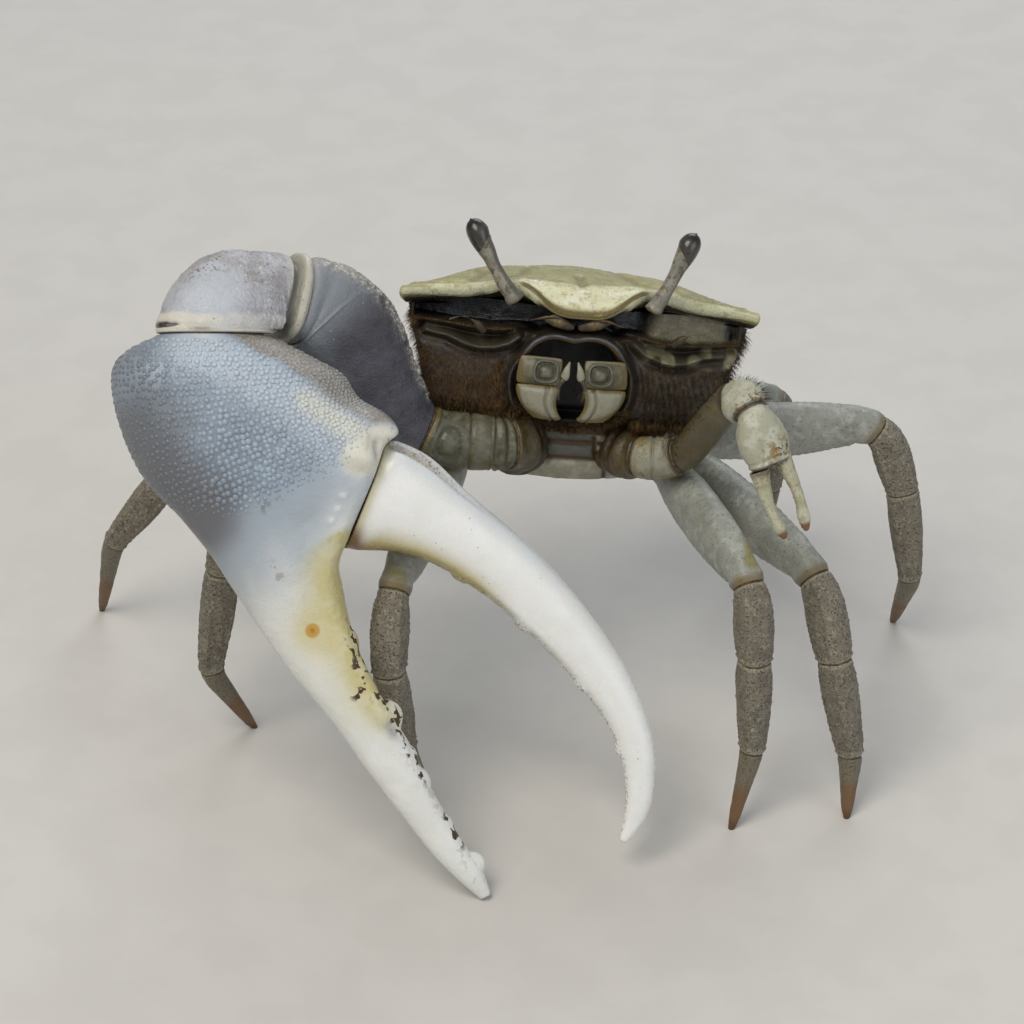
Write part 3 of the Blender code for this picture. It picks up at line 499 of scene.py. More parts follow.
legPlan = {
    "lengths": {"p2": (0.60, 0.24, 0.305), "p3": (0.67, 0.25, 0.32),
                "p4": (0.67, 0.245, 0.32), "p5": (0.55, 0.21, 0.27)},
    "hips": {"p2": (0.30, 0.165, -0.482), "p3": (0.325, 0.272, -0.45),
             "p4": (0.315, 0.392, -0.44), "p5": (0.255, 0.495, -0.41)},
    # azimuth and elevation of merus, carpus and propodus, then azimuth and reach of the dactyl
    "pose": {
        "p2_left": ((-67, -5.5), (-72, -80), (-74, -87), (-125, 0.10)),
        "p3_left": ((-51, -10), (-68, -60), (-26, -78), (-97, 0.09)),
        "p4_left": ((1, 4), (-6, -72), (-5, -82), (98, 0.16)),
        "p5_left": ((33, -8), (86, -60), (92, -77), (100, 0.06)),
        "p2_right": ((-108.3, -12.3), (-96, -70), (42, -80), (44, 0.10)),
        "p3_right": ((-156, -5), (-155, -76), (-128, -76), (34, 0.14)),
        "p4_right": ((177, -12), (174, -24), (164, -54), (119, 0.15)),
        "p5_right": ((147, -12), (100, -58), (94, -76), (80, 0.07)),
    },
    "size": {"p2": 1.0, "p3": 1.0, "p4": 0.98, "p5": 0.8},
    # place along, half height, half thickness
    "coxa": ((0, 0.060, 0.050), (0.6, 0.062, 0.052), (1, 0.052, 0.044)),
    "merus": ((0, 0.050, 0.042), (0.25, 0.080, 0.053), (0.6, 0.087, 0.054), (0.88, 0.064, 0.048),
              (1, 0.052, 0.044)),
    "carpus": ((0, 0.050, 0.044), (0.5, 0.058, 0.050), (1, 0.050, 0.045)),
    "propodus": ((0, 0.050, 0.045), (0.35, 0.051, 0.044), (1, 0.036, 0.033)),
    "dactyl": ((0, 0.035, 0.032), (0.5, 0.024, 0.021), (0.9, 0.014, 0.013), (1, 0.009, 0.009)),
    "stain": {"p2_left": 0.9, "p3_left": 0.25, "p4_left": 0.1, "p5_left": 0.2,
              "p2_right": 0.7, "p3_right": 0.4, "p4_right": 0.3, "p5_right": 0.2},
    "bends": (0.05, 0.105, 0.05, 0.05),
    "grids": {"coxa": (30, 64), "merus": (112, 84), "carpus": (84, 68), "propodus": (100, 68),
              "dactyl": (70, 50)},      # rows along, columns round
}

# chitin of the upper leg: smooth, faintly waxy, pale grey with olive and rust stains
legUpperFinish = shellFinish("paleLegChitin", {
    "ground": "#94968d",
    "tints": (
        mottled(1.6, "#808279", (0.42, 0.66), 0.7),
        mottled(0.9, "#b0b3ab", (0.5, 0.7), 0.6),
        painted("stain", "#7f793e", 0.85),
        painted("rim", "#6f5932", 0.75),
        mottled(0.16, "#535043", (0.60, 0.70), 0.55, detail=1.0),
        painted("upper", "#6c6f65", 0.6),
        painted("joint", "#443d2f", 0.7),
    ),
    "relief": (bumps(0.5, 0.02), bumps(0.09, 0.008, detail=1.0)),
    "gloss": (0.42, 0.08),
    "shader": {"IOR": 1.5, "Subsurface Weight": 0.05, "Subsurface Scale": 0.0006},
})
# lower leg: rough grey-brown chitin with mud held between its grains, so it looks speckled
legLowerFinish = shellFinish("muddyLegChitin", {
    "ground": "#7f7869",
    "tints": (
        mottled(1.1, "#6d6658", (0.42, 0.62), 0.8),
        mottled(0.30, "#9c9584", (0.54, 0.68), 0.7, detail=2.0),
        painted("rim", "#9b947e", 0.7),
        mottled(0.14, "#383227", (0.56, 0.64), 0.85, detail=1.5),
        specked(0.20, "#37332a", (0.14, 0.26), 0.5, only={"size": 0.7, "range": (0.42, 0.55)}),
        painted("joint", "#2a2419", 0.9),
    ),
    "relief": (bumps(0.22, 0.03, detail=2.0), bumps(0.16, 0.03, (0.1, 0.5), kind="specks")),
    "gloss": (0.68, 0.08),
    "shader": {"IOR": 1.5},
})
# toes: horny, grooved, grey-brown turning to a glossy orange-brown tip
toeFinish = shellFinish("hornyToe", {
    "ground": "#6f6856",
    "tints": (
        mottled(0.14, "#3b3427", (0.52, 0.64), 0.7, detail=1.5),
        painted("tip", "#6d5030", 0.9),
        painted("point", "#5a3a1a", 0.9),
    ),
    "relief": (bumps(0.12, 0.015, squash=(1, 1, 0.35)),),
    "gloss": (0.45, 0.08),
    "shader": {"IOR": 1.52},
})
# joint skin: soft, folded, cream going to dark brown where mud collects
jointSkin = shellFinish("jointSkin", {
    "ground": "#6b5f48",
    "tints": (
        mottled(0.35, "#3a3020", (0.4, 0.6), 0.8),
        mottled(0.15, "#9a8d6c", (0.58, 0.7), 0.6),
    ),
    "relief": (bumps(0.15, 0.02),),
    "gloss": (0.55, 0.08),
    "shader": {"IOR": 1.45},
})


def legMasks(part, name):
    # where the paint lies: mud blots from slow noise, rims and tips by the place along the segment
    along, around, rings = part["along"], part["around"], part["rings"]
    top = np.clip(np.sin(around), 0, 1)
    edge = np.abs(np.sin(around))
    blot = ramp(cloud(rings, 1.3 * mm, 5), -0.2, 0.6)
    rim = np.maximum(hill(along, 1, 0.03), hill(along, 0, 0.02)) * (1 - part["socket"])
    return {"stain": legPlan["stain"][name] * blot * ramp(edge, 0.2, 0.9), "rim": rim,
            "upper": top ** 4, "joint": part["socket"], "tip": ramp(along, 0.25, 0.6),
            "point": ramp(along, 0.8, 1.0)}


def meanderingRidges(along, count, sway):
    # fine folds across a segment: |sin| of the way along, shifted by a slow noise
    return 1 - np.abs(np.sin(math.pi * (along * count + sway))) ** 0.7


def makeLeg(name):
    # five segments along the line from hip to toe; each one's relief is a sum of folds, ribs,
    # grains and noise, in mm, and soft skin joins it to the next
    leg, side = name.split("_")
    sign = 1 if side == "left" else -1
    hip = legPlan["hips"][leg]
    joints = [inWorld((sign * (hip[0] - 0.16), hip[1], hip[2] + 0.03)),
              inWorld((sign * hip[0], hip[1], hip[2]))]
    *steps, (toeAzimuth, reach) = legPlan["pose"][name]
    for (azimuth, elevation), length in zip(steps, legPlan["lengths"][leg]):
        joints.append(joints[-1] + direction(azimuth, elevation) * length * crabWidth)
    toe = joints[-1] + direction(toeAzimuth, 0) * reach * crabWidth
    toe[2] = 0.0
    joints.append(toe)
    size = legPlan["size"][leg]
    runs = centreLines(joints, [b * crabWidth for b in legPlan["bends"]])
    face = direction(steps[0][0] + 90, 0)
    seed = list(legPlan["pose"]).index(name) * 7
    parts = {}
    for k, (kind, (rows, sides)) in enumerate(legPlan["grids"].items()):
        last = kind == "dactyl"
        parts[kind] = limb(runs[k], legPlan[kind], face, rows, sides, size, flatFoot=last,
                           trim=(0 if k == 0 else limbGap / 2, 0 if last else limbGap / 2))
    for kind, part in parts.items():
        along, around, rings = part["along"], part["around"], part["rings"]
        up, flat = np.sin(around), np.cos(around)
        flare = 0.05 * hill(along, 0.975, 0.02) - 0.05 * hill(along, 0.93, 0.025)
        if kind == "merus":
            sway = 0.35 * cloud(rings, 1.2 * mm, seed)
            wrinkle = meanderingRidges(along, 26, sway + 0.6 * up) * ramp(np.abs(up), 0.35, 0.95)
            keelLine = 0.07 * hill(around, 0.5 * math.pi - 0.35, 0.09) * ramp(along, 0.05, 0.2)
            height = (0.055 * wrinkle * ramp(along, 0.05, 0.2) + keelLine + flare
                      + 0.03 * cloud(rings, 0.6 * mm, seed + 1)
                      + 0.03 * beads(rings, 0.22 * mm, seed) * ramp(up, 0.5, 0.95)
                      - 0.10 * hill(along, 0.90, 0.03) * ramp(np.abs(flat), 0.2, 0.8))
        elif kind in ("carpus", "propodus"):
            ribs = 0.10 * (hill(np.abs(up), 0.62, 0.10)) * ramp(along, 0.03, 0.15)
            height = (ribs + flare - 0.04 * hill(np.abs(up), 0.30, 0.22)
                      + 0.055 * beads(rings, 0.20 * mm, seed) + 0.03 * cloud(rings, 0.5 * mm, seed))
        elif kind == "dactyl":
            groove = np.abs(np.cos(3 * around)) ** 0.6
            height = 0.07 * (groove - 0.7) * (1 - 0.6 * along) + 0.02 * cloud(rings, 0.3 * mm, seed)
        else:
            height = 0.05 * cloud(rings, 0.7 * mm, seed) + 0.04 * beads(rings, 0.25 * mm, seed)
        relieve(part, height * mm * size)
    dress = {"coxa": (legUpperFinish, "body"), "merus": (legUpperFinish, "leg_upper"),
             "carpus": (legLowerFinish, "leg_lower"), "propodus": (legLowerFinish, "leg_lower"),
             "dactyl": (toeFinish, "toe")}
    for kind, part in parts.items():
        finish, slot = dress[kind]
        part = closeLimb(dict(part), shellEnd, roundToe if kind == "dactyl" else shellEnd)
        limbPiece(name + "_" + kind + "_shell", part, finish, legMasks(part, name), slot=slot,
                  nodes=() if kind == "coxa" else (name + "_" + kind,))
    kinds = list(parts)
    for before, after in zip(kinds, kinds[1:]):
        pair = parts[before], parts[after]
        if len(pair[0]["rings"][0]) != len(pair[1]["rings"][0]):
            pair = [resided(part, 48) for part in pair]
        membrane(name + "_" + after + "_skin", *pair, jointSkin, slot="leg_lower")
    return parts


def resided(part, sides):
    # the same rings read at another number of sides
    rings = part["rings"]
    count = rings.shape[1]
    at = np.arange(sides) * count / sides
    low = np.floor(at).astype(int)
    share = (at - low)[None, :, None]
    return {**part, "rings": rings[:, low] * (1 - share) + rings[:, (low + 1) % count] * share}


roundToe = ((0.7, 0.0), (0.3, 0.0))
legParts = {name: makeLeg(name) for name in legPlan["pose"]}
print("legs:", len(legParts))


# large claw

clawPlan = {
    "root": (-0.176, -0.02, -0.426),
    # azimuth, elevation and length of ischium, merus and carpus
    "steps": ((-175, 8, 0.255), (171, 53, 0.565), (-141, 2, 0.355)),
    "bends": (0.04, 0.11, 0.13, 0.20),
    "face": (-90, 32),
    "coxa": ((0, 0.090, 0.080), (0.5, 0.096, 0.086), (1, 0.078, 0.070)),
    "ischium": ((0, 0.074, 0.066, 0), (0.45, 0.083, 0.074, 0), (1, 0.078, 0.070, 0)),
    "merus": ((0, 0.082, 0.072, 0), (0.3, 0.105, 0.085, -0.020), (0.7, 0.140, 0.098, -0.040),
              (0.93, 0.130, 0.096, -0.018), (1, 0.114, 0.090, -0.006)),
    "carpus": ((0, 0.128, 0.106, 0), (0.12, 0.139, 0.116, 0), (0.62, 0.161, 0.126, -0.011),
               (1, 0.162, 0.118, 0)),
    "foldRoom": 1.85,                 # mm between arm and wrist, taken by the fold ring
    # the fold ring's outline from the arm to the wrist: place, and size against the segments
    "foldRing": ((-0.06, 0.80), (0.0, 0.90), (0.06, 1.0), (0.18, 1.11), (0.34, 1.14), (0.48, 1.08),
                 (0.58, 0.93), (0.66, 0.865), (0.84, 0.855), (1.06, 0.80)),
    "palmAzimuth": -39.5, "tipHeight": 0.2, "palmTurn": 8, "wristWay": (-90, -58), "wristBlend": 0.55,
    "wristSmoothing": 60, "palmGrid": (330, 200), "thumbGrid": (300, 150),     # passes; rows and columns
    # place along, centre across, half height, half thickness, in the palm's own plane
    "palm": ((0.000, 0.004, 0.162, 0.118), (0.045, -0.019, 0.256, 0.150), (0.125, -0.009, 0.311, 0.172),
             (0.230, -0.017, 0.322, 0.184), (0.350, -0.003, 0.321, 0.184), (0.470, 0.044, 0.314, 0.172),
             (0.580, 0.022, 0.265, 0.156), (0.680, -0.034, 0.199, 0.136), (0.758, -0.074, 0.149, 0.116),
             (0.860, -0.087, 0.123, 0.096), (1.000, -0.092, 0.096, 0.078), (1.140, -0.078, 0.078, 0.066),
             (1.320, -0.058, 0.070, 0.056), (1.480, -0.044, 0.055, 0.046), (1.640, -0.022, 0.044, 0.037),
             (1.740, 0.000, 0.033, 0.028), (1.800, 0.008, 0.016, 0.014)),
    "hingeNear": (0.520, 0.330), "hingeFar": (0.758, 0.070),
    "thumb": ((0.006, 0.012, 0.160, 0.110), (0.115, 0.024, 0.141, 0.104), (0.250, 0.012, 0.110, 0.092),
              (0.430, 0.001, 0.096, 0.080), (0.620, -0.008, 0.085, 0.070), (0.820, -0.012, 0.073, 0.058),
              (1.000, -0.008, 0.058, 0.046), (1.180, -0.003, 0.044, 0.038), (1.290, 0.006, 0.033, 0.028),
              (1.375, 0.010, 0.013, 0.013)),
    "thumbHeadings": ((0, 47), (0.25, 36), (0.55, 22), (0.85, 8), (1.05, -8), (1.22, -34), (1.375, -64)),
    # teeth in the gape: place along, height, half length
    "palmTeeth": ((0.98, 0.010, 0.030), (1.215, 0.030, 0.046), (1.34, 0.006, 0.022), (1.42, 0.010, 0.030),
                  (1.56, 0.006, 0.020), (1.700, 0.022, 0.034)),
    "thumbTeeth": ((0.36, 0.008, 0.030), (0.60, 0.010, 0.034), (0.86, 0.008, 0.030), (1.10, 0.008, 0.030)),
    "spot": (21.5, -2.2, 0.5),        # amber stain on the palm's plane: along, across and radius, mm
}

# palm and wrist: hard, smooth-worn chitin, blue-grey over ivory, with pale grains
palmFinish = shellFinish("blueGreyPalm", {
    "ground": "#818c98",
    "tints": (
        mottled(3.2, "#97a5b3", (0.38, 0.66), 0.8),
        mottled(0.8, "#76808b", (0.52, 0.72), 0.45),
        # painted highlight: a paler band across the palm's upper face, standing in for the light that falls
        # on it
        painted("bright", "#bfcad3", 0.75),
        painted("shade", "#605f61", 0.85),
        painted("earthy", "#857d73", 0.92),
        mottled(0.16, "#b5b0a6", (0.52, 0.64), 0.7, detail=2.0, only=painted("earthy")),
        mottled(0.30, "#6b6357", (0.56, 0.66), 0.6, detail=2.0, only=painted("earthy")),
        painted("paling", "#a9b4bd", 0.75),
        painted("ivory", "#dedfd9", 1.0),
        mottled(2.6, "#eeeeea", (0.45, 0.65), 0.3, only=painted("ivory")),
        painted("cream", "#dbd8c8", 0.9),
        painted("bump", "#eceeec", 0.6),
        painted("stain", "#aea461", 0.92),
        mottled(0.35, "#a5873a", (0.54, 0.66), 0.6, detail=2.0, only=painted("stain")),
        painted("halo", "#cfc58e", 0.8),
        painted("amber", "#c2941a", 0.92),
        painted("amberCore", "#a8700f", 0.8),
        mottled(0.55, "#46311d", (0.545, 0.585), 1.0, detail=1.5, only=painted("specks")),
        specked(1.3, "#6b5a45", (0.03, 0.06), 0.6, only={"size": 1.9, "range": (0.47, 0.52)}),
        painted("crease", "#5a4c38", 0.9),
        painted("slate", "#6e6a6c", 0.8),
    ),
    "relief": (bumps(0.6, 0.02), bumps(0.10, 0.010, detail=2.0)),
    "gloss": (0.36, 0.08),
    "shines": (painted("ivory", rough=0.27),),
    "shader": {"IOR": 1.53, "Subsurface Weight": 0.10, "Subsurface Scale": 0.0008},
})
# the grains on the palm: the same chitin, unpigmented, so each is a pale bead
pustuleFinish = shellFinish("paleGrains", {
    "ground": "#909dab",
    "tints": (
        mottled(1.6, "#a7b5c3", (0.4, 0.65), 0.8),
        mottled(3.5, "#8793a0", (0.5, 0.7), 0.6),
        mottled(0.9, "#a39a86", (0.64, 0.74), 0.5),
        # painted highlight on the grains, along the same band as on the palm
        painted("bright", "#c3cdd6", 0.75),
        painted("cream", "#dcd9cb", 0.9),
        painted("shade", "#676769", 0.85),
        painted("earth", "#9c968c", 0.85),
        painted("foot", "#707b87", 0.7),
    ),
    "gloss": (0.34, 0.06),
    "shader": {"IOR": 1.53, "Subsurface Weight": 0.1, "Subsurface Scale": 0.0005},
})
# arm: slate chitin, nearly bare on its face, its edges pale and thick with fine grains
armFinish = shellFinish("slateArm", {
    "ground": "#3d3c43",
    "tints": (
        mottled(2.2, "#504f59", (0.45, 0.7), 0.8),
        mottled(0.7, "#2e2d33", (0.5, 0.7), 0.6),
        painted("light", "#8b9399", 0.8),
        painted("pale", "#918d86", 0.9),
        mottled(0.22, "#c9c5b6", (0.50, 0.62), 0.85, detail=2.0, only=painted("pale")),
        painted("rim", "#a9a9ab", 0.9),
        painted("rust", "#94803f", 0.8),
        specked(1.1, "#a5a5ad", (0.03, 0.07), 0.7),
    ),
    "relief": (bumps(0.5, 0.02), bumps(0.12, 0.02, (0.35, 0.7), detail=2.0)),
    "gloss": (0.40, 0.10),
    "shader": {"IOR": 1.52},
})
# wrist: lavender-grey grainy chitin with brown mud specks and a cream band where it folds
wristFinish = shellFinish("lavenderWrist", {
    "ground": "#999698",
    "tints": (
        mottled(1.6, "#adb0b6", (0.42, 0.62), 0.85),
        mottled(0.5, "#88827c", (0.52, 0.66), 0.6),
        mottled(0.20, "#c6c6c4", (0.55, 0.66), 0.6, detail=2.0),
        painted("cool", "#b9c0c8", 0.8),
        painted("cream", "#cfccbe", 0.95),
        painted("rim", "#cfcabb", 0.9),
        mottled(0.20, "#5c4b37", (0.56, 0.61), 0.8, detail=2.0, only=painted("specks")),
        specked(0.8, "#6a563d", (0.05, 0.10), 0.8, only={"size": 1.5, "range": (0.48, 0.54)}),
        painted("joint", "#6a6357", 0.8),
        # painted shade inside the slit at the wrist
        painted("slit", "#2b2017", 0.95),
    ),
    "relief": (bumps(0.5, 0.02), bumps(0.14, 0.02, (0.35, 0.7), detail=2.0)),
    "gloss": (0.42, 0.08),
    "shader": {"IOR": 1.52, "Subsurface Weight": 0.06, "Subsurface Scale": 0.0006},
})
# movable finger: thick ivory chitin, polished by use, amber where mud has stained its edges
fingerFinish = shellFinish("ivoryFinger", {
    "ground": "#e4e5e0",
    "tints": (
        mottled(3.5, "#efefec", (0.4, 0.62), 0.5),
        mottled(1.6, "#d9dbd8", (0.56, 0.72), 0.3),
        painted("cool", "#ced4d8", 0.6),
        painted("stain", "#b3a45a", 0.85),
        painted("rust", "#6f4c26", 0.9),
        mottled(0.18, "#5a3d20", (0.55, 0.60), 0.85, detail=2.0, only=painted("specks")),
        specked(1.0, "#7b6a50", (0.03, 0.07), 0.75, only={"size": 2.2, "range": (0.46, 0.5)}),
        painted("groove", "#8b7f68", 0.7),
        painted("joint", "#6b6355", 0.8),
    ),
    "relief": (bumps(0.9, 0.006), bumps(0.10, 0.003)),
    "gloss": (0.26, 0.06),
    "shader": {"IOR": 1.54, "Subsurface Weight": 0.14, "Subsurface Scale": 0.0010},
})
# folded rings between arm and wrist: thick pale skin, cream ridges, the folds painted grey as shade
foldSkin = shellFinish("paleFoldSkin", {
    "ground": "#99988c",
    "tints": (
        mottled(0.7, "#86857b", (0.45, 0.65), 0.6),
        painted("crest", "#c9c6b6", 0.9),
        mottled(1.2, "#b9b69f", (0.5, 0.66), 0.5, only=painted("crest")),
        # painted shade in the groove behind the cord and over the sleeve in the gap
        painted("deep", "#6c6a62", 0.85),
        mottled(0.2, "#6b624f", (0.60, 0.68), 0.5),
    ),
    "relief": (bumps(0.25, 0.015),),
    "gloss": (0.36, 0.08),
    "shader": {"IOR": 1.48, "Subsurface Weight": 0.12, "Subsurface Scale": 0.0008},
})


def palmAxes(wrist):
    # the palm's axis slopes so that the fixed finger's tip stands on the ground
    plan = clawPlan
    drop = (wrist[2] - plan["tipHeight"] * mm) / (plan["palm"][-1][0] * crabWidth)
    along = direction(plan["palmAzimuth"], -math.degrees(math.asin(drop)))
    viewer = direction(*plan["face"])
    face = unit(viewer - (viewer @ along) * along)
    across = np.cross(face, along)
    across = across if across[0] > 0 else -across
    c, s = math.cos(math.radians(plan["palmTurn"])), math.sin(math.radians(plan["palmTurn"]))
    return along, across * c - face * s, unit(face * c + across * s)


clawRoot = inWorld((clawPlan["root"][0] + 0.055, clawPlan["root"][1] + 0.13, clawPlan["root"][2]))
clawJoints = [clawRoot, inWorld(clawPlan["root"])]
for azimuth, elevation, length in clawPlan["steps"]:
    clawJoints.append(clawJoints[-1] + direction(azimuth, elevation) * length * crabWidth)
wrist = clawJoints[-1]
palmAlong, palmAcross, palmFace = palmAxes(wrist)
clawJoints.append(wrist + palmAlong * clawPlan["palm"][-1][0] * crabWidth)
clawRuns = centreLines(clawJoints, [b * crabWidth for b in clawPlan["bends"]])
wristWay = direction(*clawPlan["wristWay"])
clawRuns[3] = (clawRuns[3][0], clawRuns[3][1], wristWay)
clawFace = direction(*clawPlan["face"])
hingeNear, hingeFar = (wrist + (clawPlan[key][0] * palmAlong + clawPlan[key][1] * palmAcross) * crabWidth
                       for key in ("hingeNear", "hingeFar"))
hingeLine = unit(hingeNear - hingeFar)
hingeOut = np.cross(hingeLine, palmFace)
hingeOut = hingeOut if hingeOut @ palmAlong > 0 else -hingeOut


def palmPlane(points):
    # places in the palm's own plane in mm: along from the wrist, across, and height towards its face
    offset = (points - wrist) / mm
    return offset @ palmAlong, offset @ palmAcross, offset @ palmFace


def palmSurface(rows, sides):
    # superellipse sections carried from the wrist to the finger's tip; near the wrist they turn
    # to the carpus, squarer on their upper side by the hinge, and the wrist's corner is smoothed
    length = clawPlan["palm"][-1][0]
    at = np.linspace(0, length, rows)
    values = throughStations(clawPlan["palm"], at)
    centres = wrist + (np.outer(at, palmAlong) + np.outer(values[:, 0], palmAcross)) * crabWidth
    fade = np.clip(1 - at / clawPlan["wristBlend"], 0, 1)
    fade = (fade * fade * (3 - 2 * fade))[:, None]
    start = clawRuns[4][0][0]
    centres = centres + fade * (start + wristWay * limbGap / 2 - centres[0])
    tangents = unit(fade * wristWay + (1 - fade) * palmAlong)
    wide = unit(palmFace - (tangents @ palmFace)[:, None] * tangents)
    up = np.cross(wide, tangents)
    up = up * np.sign(up @ palmAcross)[:, None]
    angle = np.linspace(0, 2 * math.pi, sides, endpoint=False)
    power = 2.2 + 2.4 * hill(at, 0.63, 0.13)[:, None] * ramp(np.sin(angle), 0, 0.5)
    c, s = superRing(angle, power)
    rings = (centres[:, None] + (s * values[:, 1:2])[..., None] * up[:, None] * crabWidth
             + (c * values[:, 2:3])[..., None] * wide[:, None] * crabWidth)
    offset = rings - centres[0]
    over = offset @ -wristWay + np.arange(rows)[:, None] * 0.4 * mm / rows
    outward = np.linalg.norm(offset + over[..., None] * wristWay, axis=-1)
    over = over - 1.0 * mm * ramp(outward, 4.1 * mm, 6.5 * mm)
    rings = rings - np.maximum(over, 0)[..., None] * -wristWay
    for smoothing in range(clawPlan["wristSmoothing"]):
        rings[1:75] = (rings[:74] + 2 * rings[1:75] + rings[2:76]) / 4
    offset = rings - centres[0]
    depth = offset @ wristWay
    outward = offset - depth[..., None] * wristWay
    reach = np.linalg.norm(outward, axis=-1)
    swelling = 0.45 * mm * hill(reach, 5.2 * mm, 1.6 * mm) * hill(depth, 3.2 * mm, 2.2 * mm)
    swelling = swelling * ramp(-outward[..., 0] / np.maximum(reach, 0.1 * mm), 0.25, 0.75)
    rings = rings + swelling[..., None] * unit(unit(outward) - 0.5 * wristWay)
    along = np.broadcast_to(at[:, None], (rows, sides))
    return {"rings": rings, "along": along, "around": np.broadcast_to(angle, (rows, sides)),
            "ends": (-wristWay, palmAlong)}


def earthLine(u):
    # the palm's upper border, above which it is earthy
    return np.interp(u, [0.7, 2.6, 4.9, 8.1, 11.0, 12.2], [1.3, 2.2, 3.9, 5.5, 7.2, 8.2])


def pressToHinge(rings):
    # a soft clamp: distance past the hinge's plane becomes a rounded corner of about 0.1 mm
    past = (rings - hingeFar) @ hingeOut
    along = (rings - hingeFar) @ hingeLine
    k = 0.11 * mm
    held = np.where(past > -4 * k, k * np.log1p(np.exp(np.clip(past / k, -30, 30))), 0)
    return rings - (held * ramp(along, -1.4 * mm, 0.6 * mm))[..., None] * hingeOut


def gapeTeeth(along, around, inward, teeth):
    # blunt teeth along one side of a finger: humps in the length, narrow round the finger
    height = np.zeros(along.shape)
    for place, tall, half in teeth:
        height = np.maximum(height, tall * np.clip(1 - ((along - place) / half) ** 2, 0, 1) ** 0.8)
    ridge = roundHill(around, inward, 0.42)
    return height * crabWidth * ridge


palm = palmSurface(*clawPlan["palmGrid"])
along, around = palm["along"], palm["around"]
inward = ramp(along, 0.70, 0.86)
normals = ringNormals(palm["rings"])
u, v, w = palmPlane(palm["rings"])
gapeSide = roundHill(around, 0.5 * math.pi, 0.30)
lift = gapeTeeth(along, around, 0.5 * math.pi, clawPlan["palmTeeth"])
# a row of small grains down the gape's edge, and a low rounded ridge on the outer side beside it
lift += 0.035 * mm * inward * gapeSide * beads(palm["rings"], 0.34 * mm, 8)
ridgePath = ((16.8, 2.2), (17.7, 0.9), (20.0, -0.3), (24.0, -0.6), (29.0, -0.5), (34.0, 0.1))
ridgeGap, ridgeShare = alongLine(u, v, ridgePath)
front = ramp(w, 0.0, 1.0)
lift += 0.22 * mm * hill(ridgeGap, 0, 0.7) * front * (1 - ramp(ridgeShare, 0.75, 1))
lift += 0.05 * mm * hill(ridgeGap, 0, 0.5) * front * beads(palm["rings"], 0.5 * mm, 2)
hollow = alongLine(u, v, ((15.0, 0.6), (18.0, -0.9), (23.0, -1.7), (31, -1.7)))[0]
lift -= 0.20 * mm * hill(hollow, 0, 0.9) * front
# white bumps in a short row beside the slit
bumpLine = ((14.3, 3.5), (14.9, 2.8), (15.4, 2.1))
bumpGap = np.min([np.hypot(u - a, v - b) for a, b in bumpLine], axis=0)
lift += 0.10 * mm * hill(bumpGap, 0, 0.30) * front
# the outer face: broad uneven swell, and fine grain that fades towards the finger
lift += 0.05 * mm * cloud(palm["rings"], 2.6 * mm, 4) * (1 - 0.6 * ramp(along, 0.65, 0.9))
palmGrain = 1 - ramp(u + 0.35 * np.maximum(-v - 2, 0), 11.5, 14.5)
lift += 0.025 * mm * beads(palm["rings"], 0.26 * mm, 9) * palmGrain
# two cream lobes that hold the finger's hinge, a pit between them, and the swelling before them
for lobeU, lobeV, wide, tall in ((12.1, 7.9, 0.70, 0.30), (12.4, 5.6, 0.85, 0.42), (10.5, 7.6, 1.3, 0.30)):
    lift += tall * mm * hill(np.hypot(u - lobeU, v - lobeV), 0, wide) * ramp(w, 0.0, 1.5)
pitGap = alongLine(u, v, ((12.3, 7.0), (13.0, 6.7)))[0]
lift -= 0.26 * mm * hill(pitGap, 0, 0.28) * front
underLobe = alongLine(u, v, ((11.0, 4.4), (12.3, 4.2), (13.4, 4.9)))[0]
lift -= 0.16 * mm * hill(underLobe, 0, 0.4) * front
fade = ramp(along, 0, 0.05) * (1 - ramp(along, 1.77, 1.8))
palm["rings"] = palm["rings"] + (lift * fade)[..., None] * normals
palm["rings"] = pressToHinge(palm["rings"])
# the two lobes stand out over the hinge: one above the finger's corner, one on its face
u, v, w = palmPlane(palm["rings"])
faceShare = w / w.max(axis=1, keepdims=True)
over = 0.62 * np.exp(-((u - 12.0) / 0.9) ** 2 - ((v - 8.4) / 0.6) ** 2)
over = over + 0.45 * np.exp(-((u - 12.9) / 0.8) ** 2 - ((v - 5.7) / 0.75) ** 2) * ramp(faceShare, 0.70, 0.90)
palm["rings"] = palm["rings"] + (over * mm)[..., None] * hingeOut
palm["rings"][..., 2] = np.maximum(palm["rings"][..., 2], 0.0)
palmOpen = dict(palm)
closeLimb(palm, shellEnd, roundToe)
palm["rings"][..., 2] = np.maximum(palm["rings"][..., 2], 0.0)
u, v, w = palmPlane(palm["rings"])
along, around = palm["along"], palm["around"]
top = np.sin(around)
blend = u + 0.9 * cloud(palm["rings"], 2.5 * mm, 12)
above, below = 0.30 * np.maximum(v + 1.0, 0), np.maximum(-v - 2.0, 0)
paling = ramp(blend + above - 0.45 * below, 10.0, 14.5)
ivory = 0.85 * ramp(blend + above - 0.30 * below, 12.2, 20.5) + 0.15 * ramp(u, 18, 26)
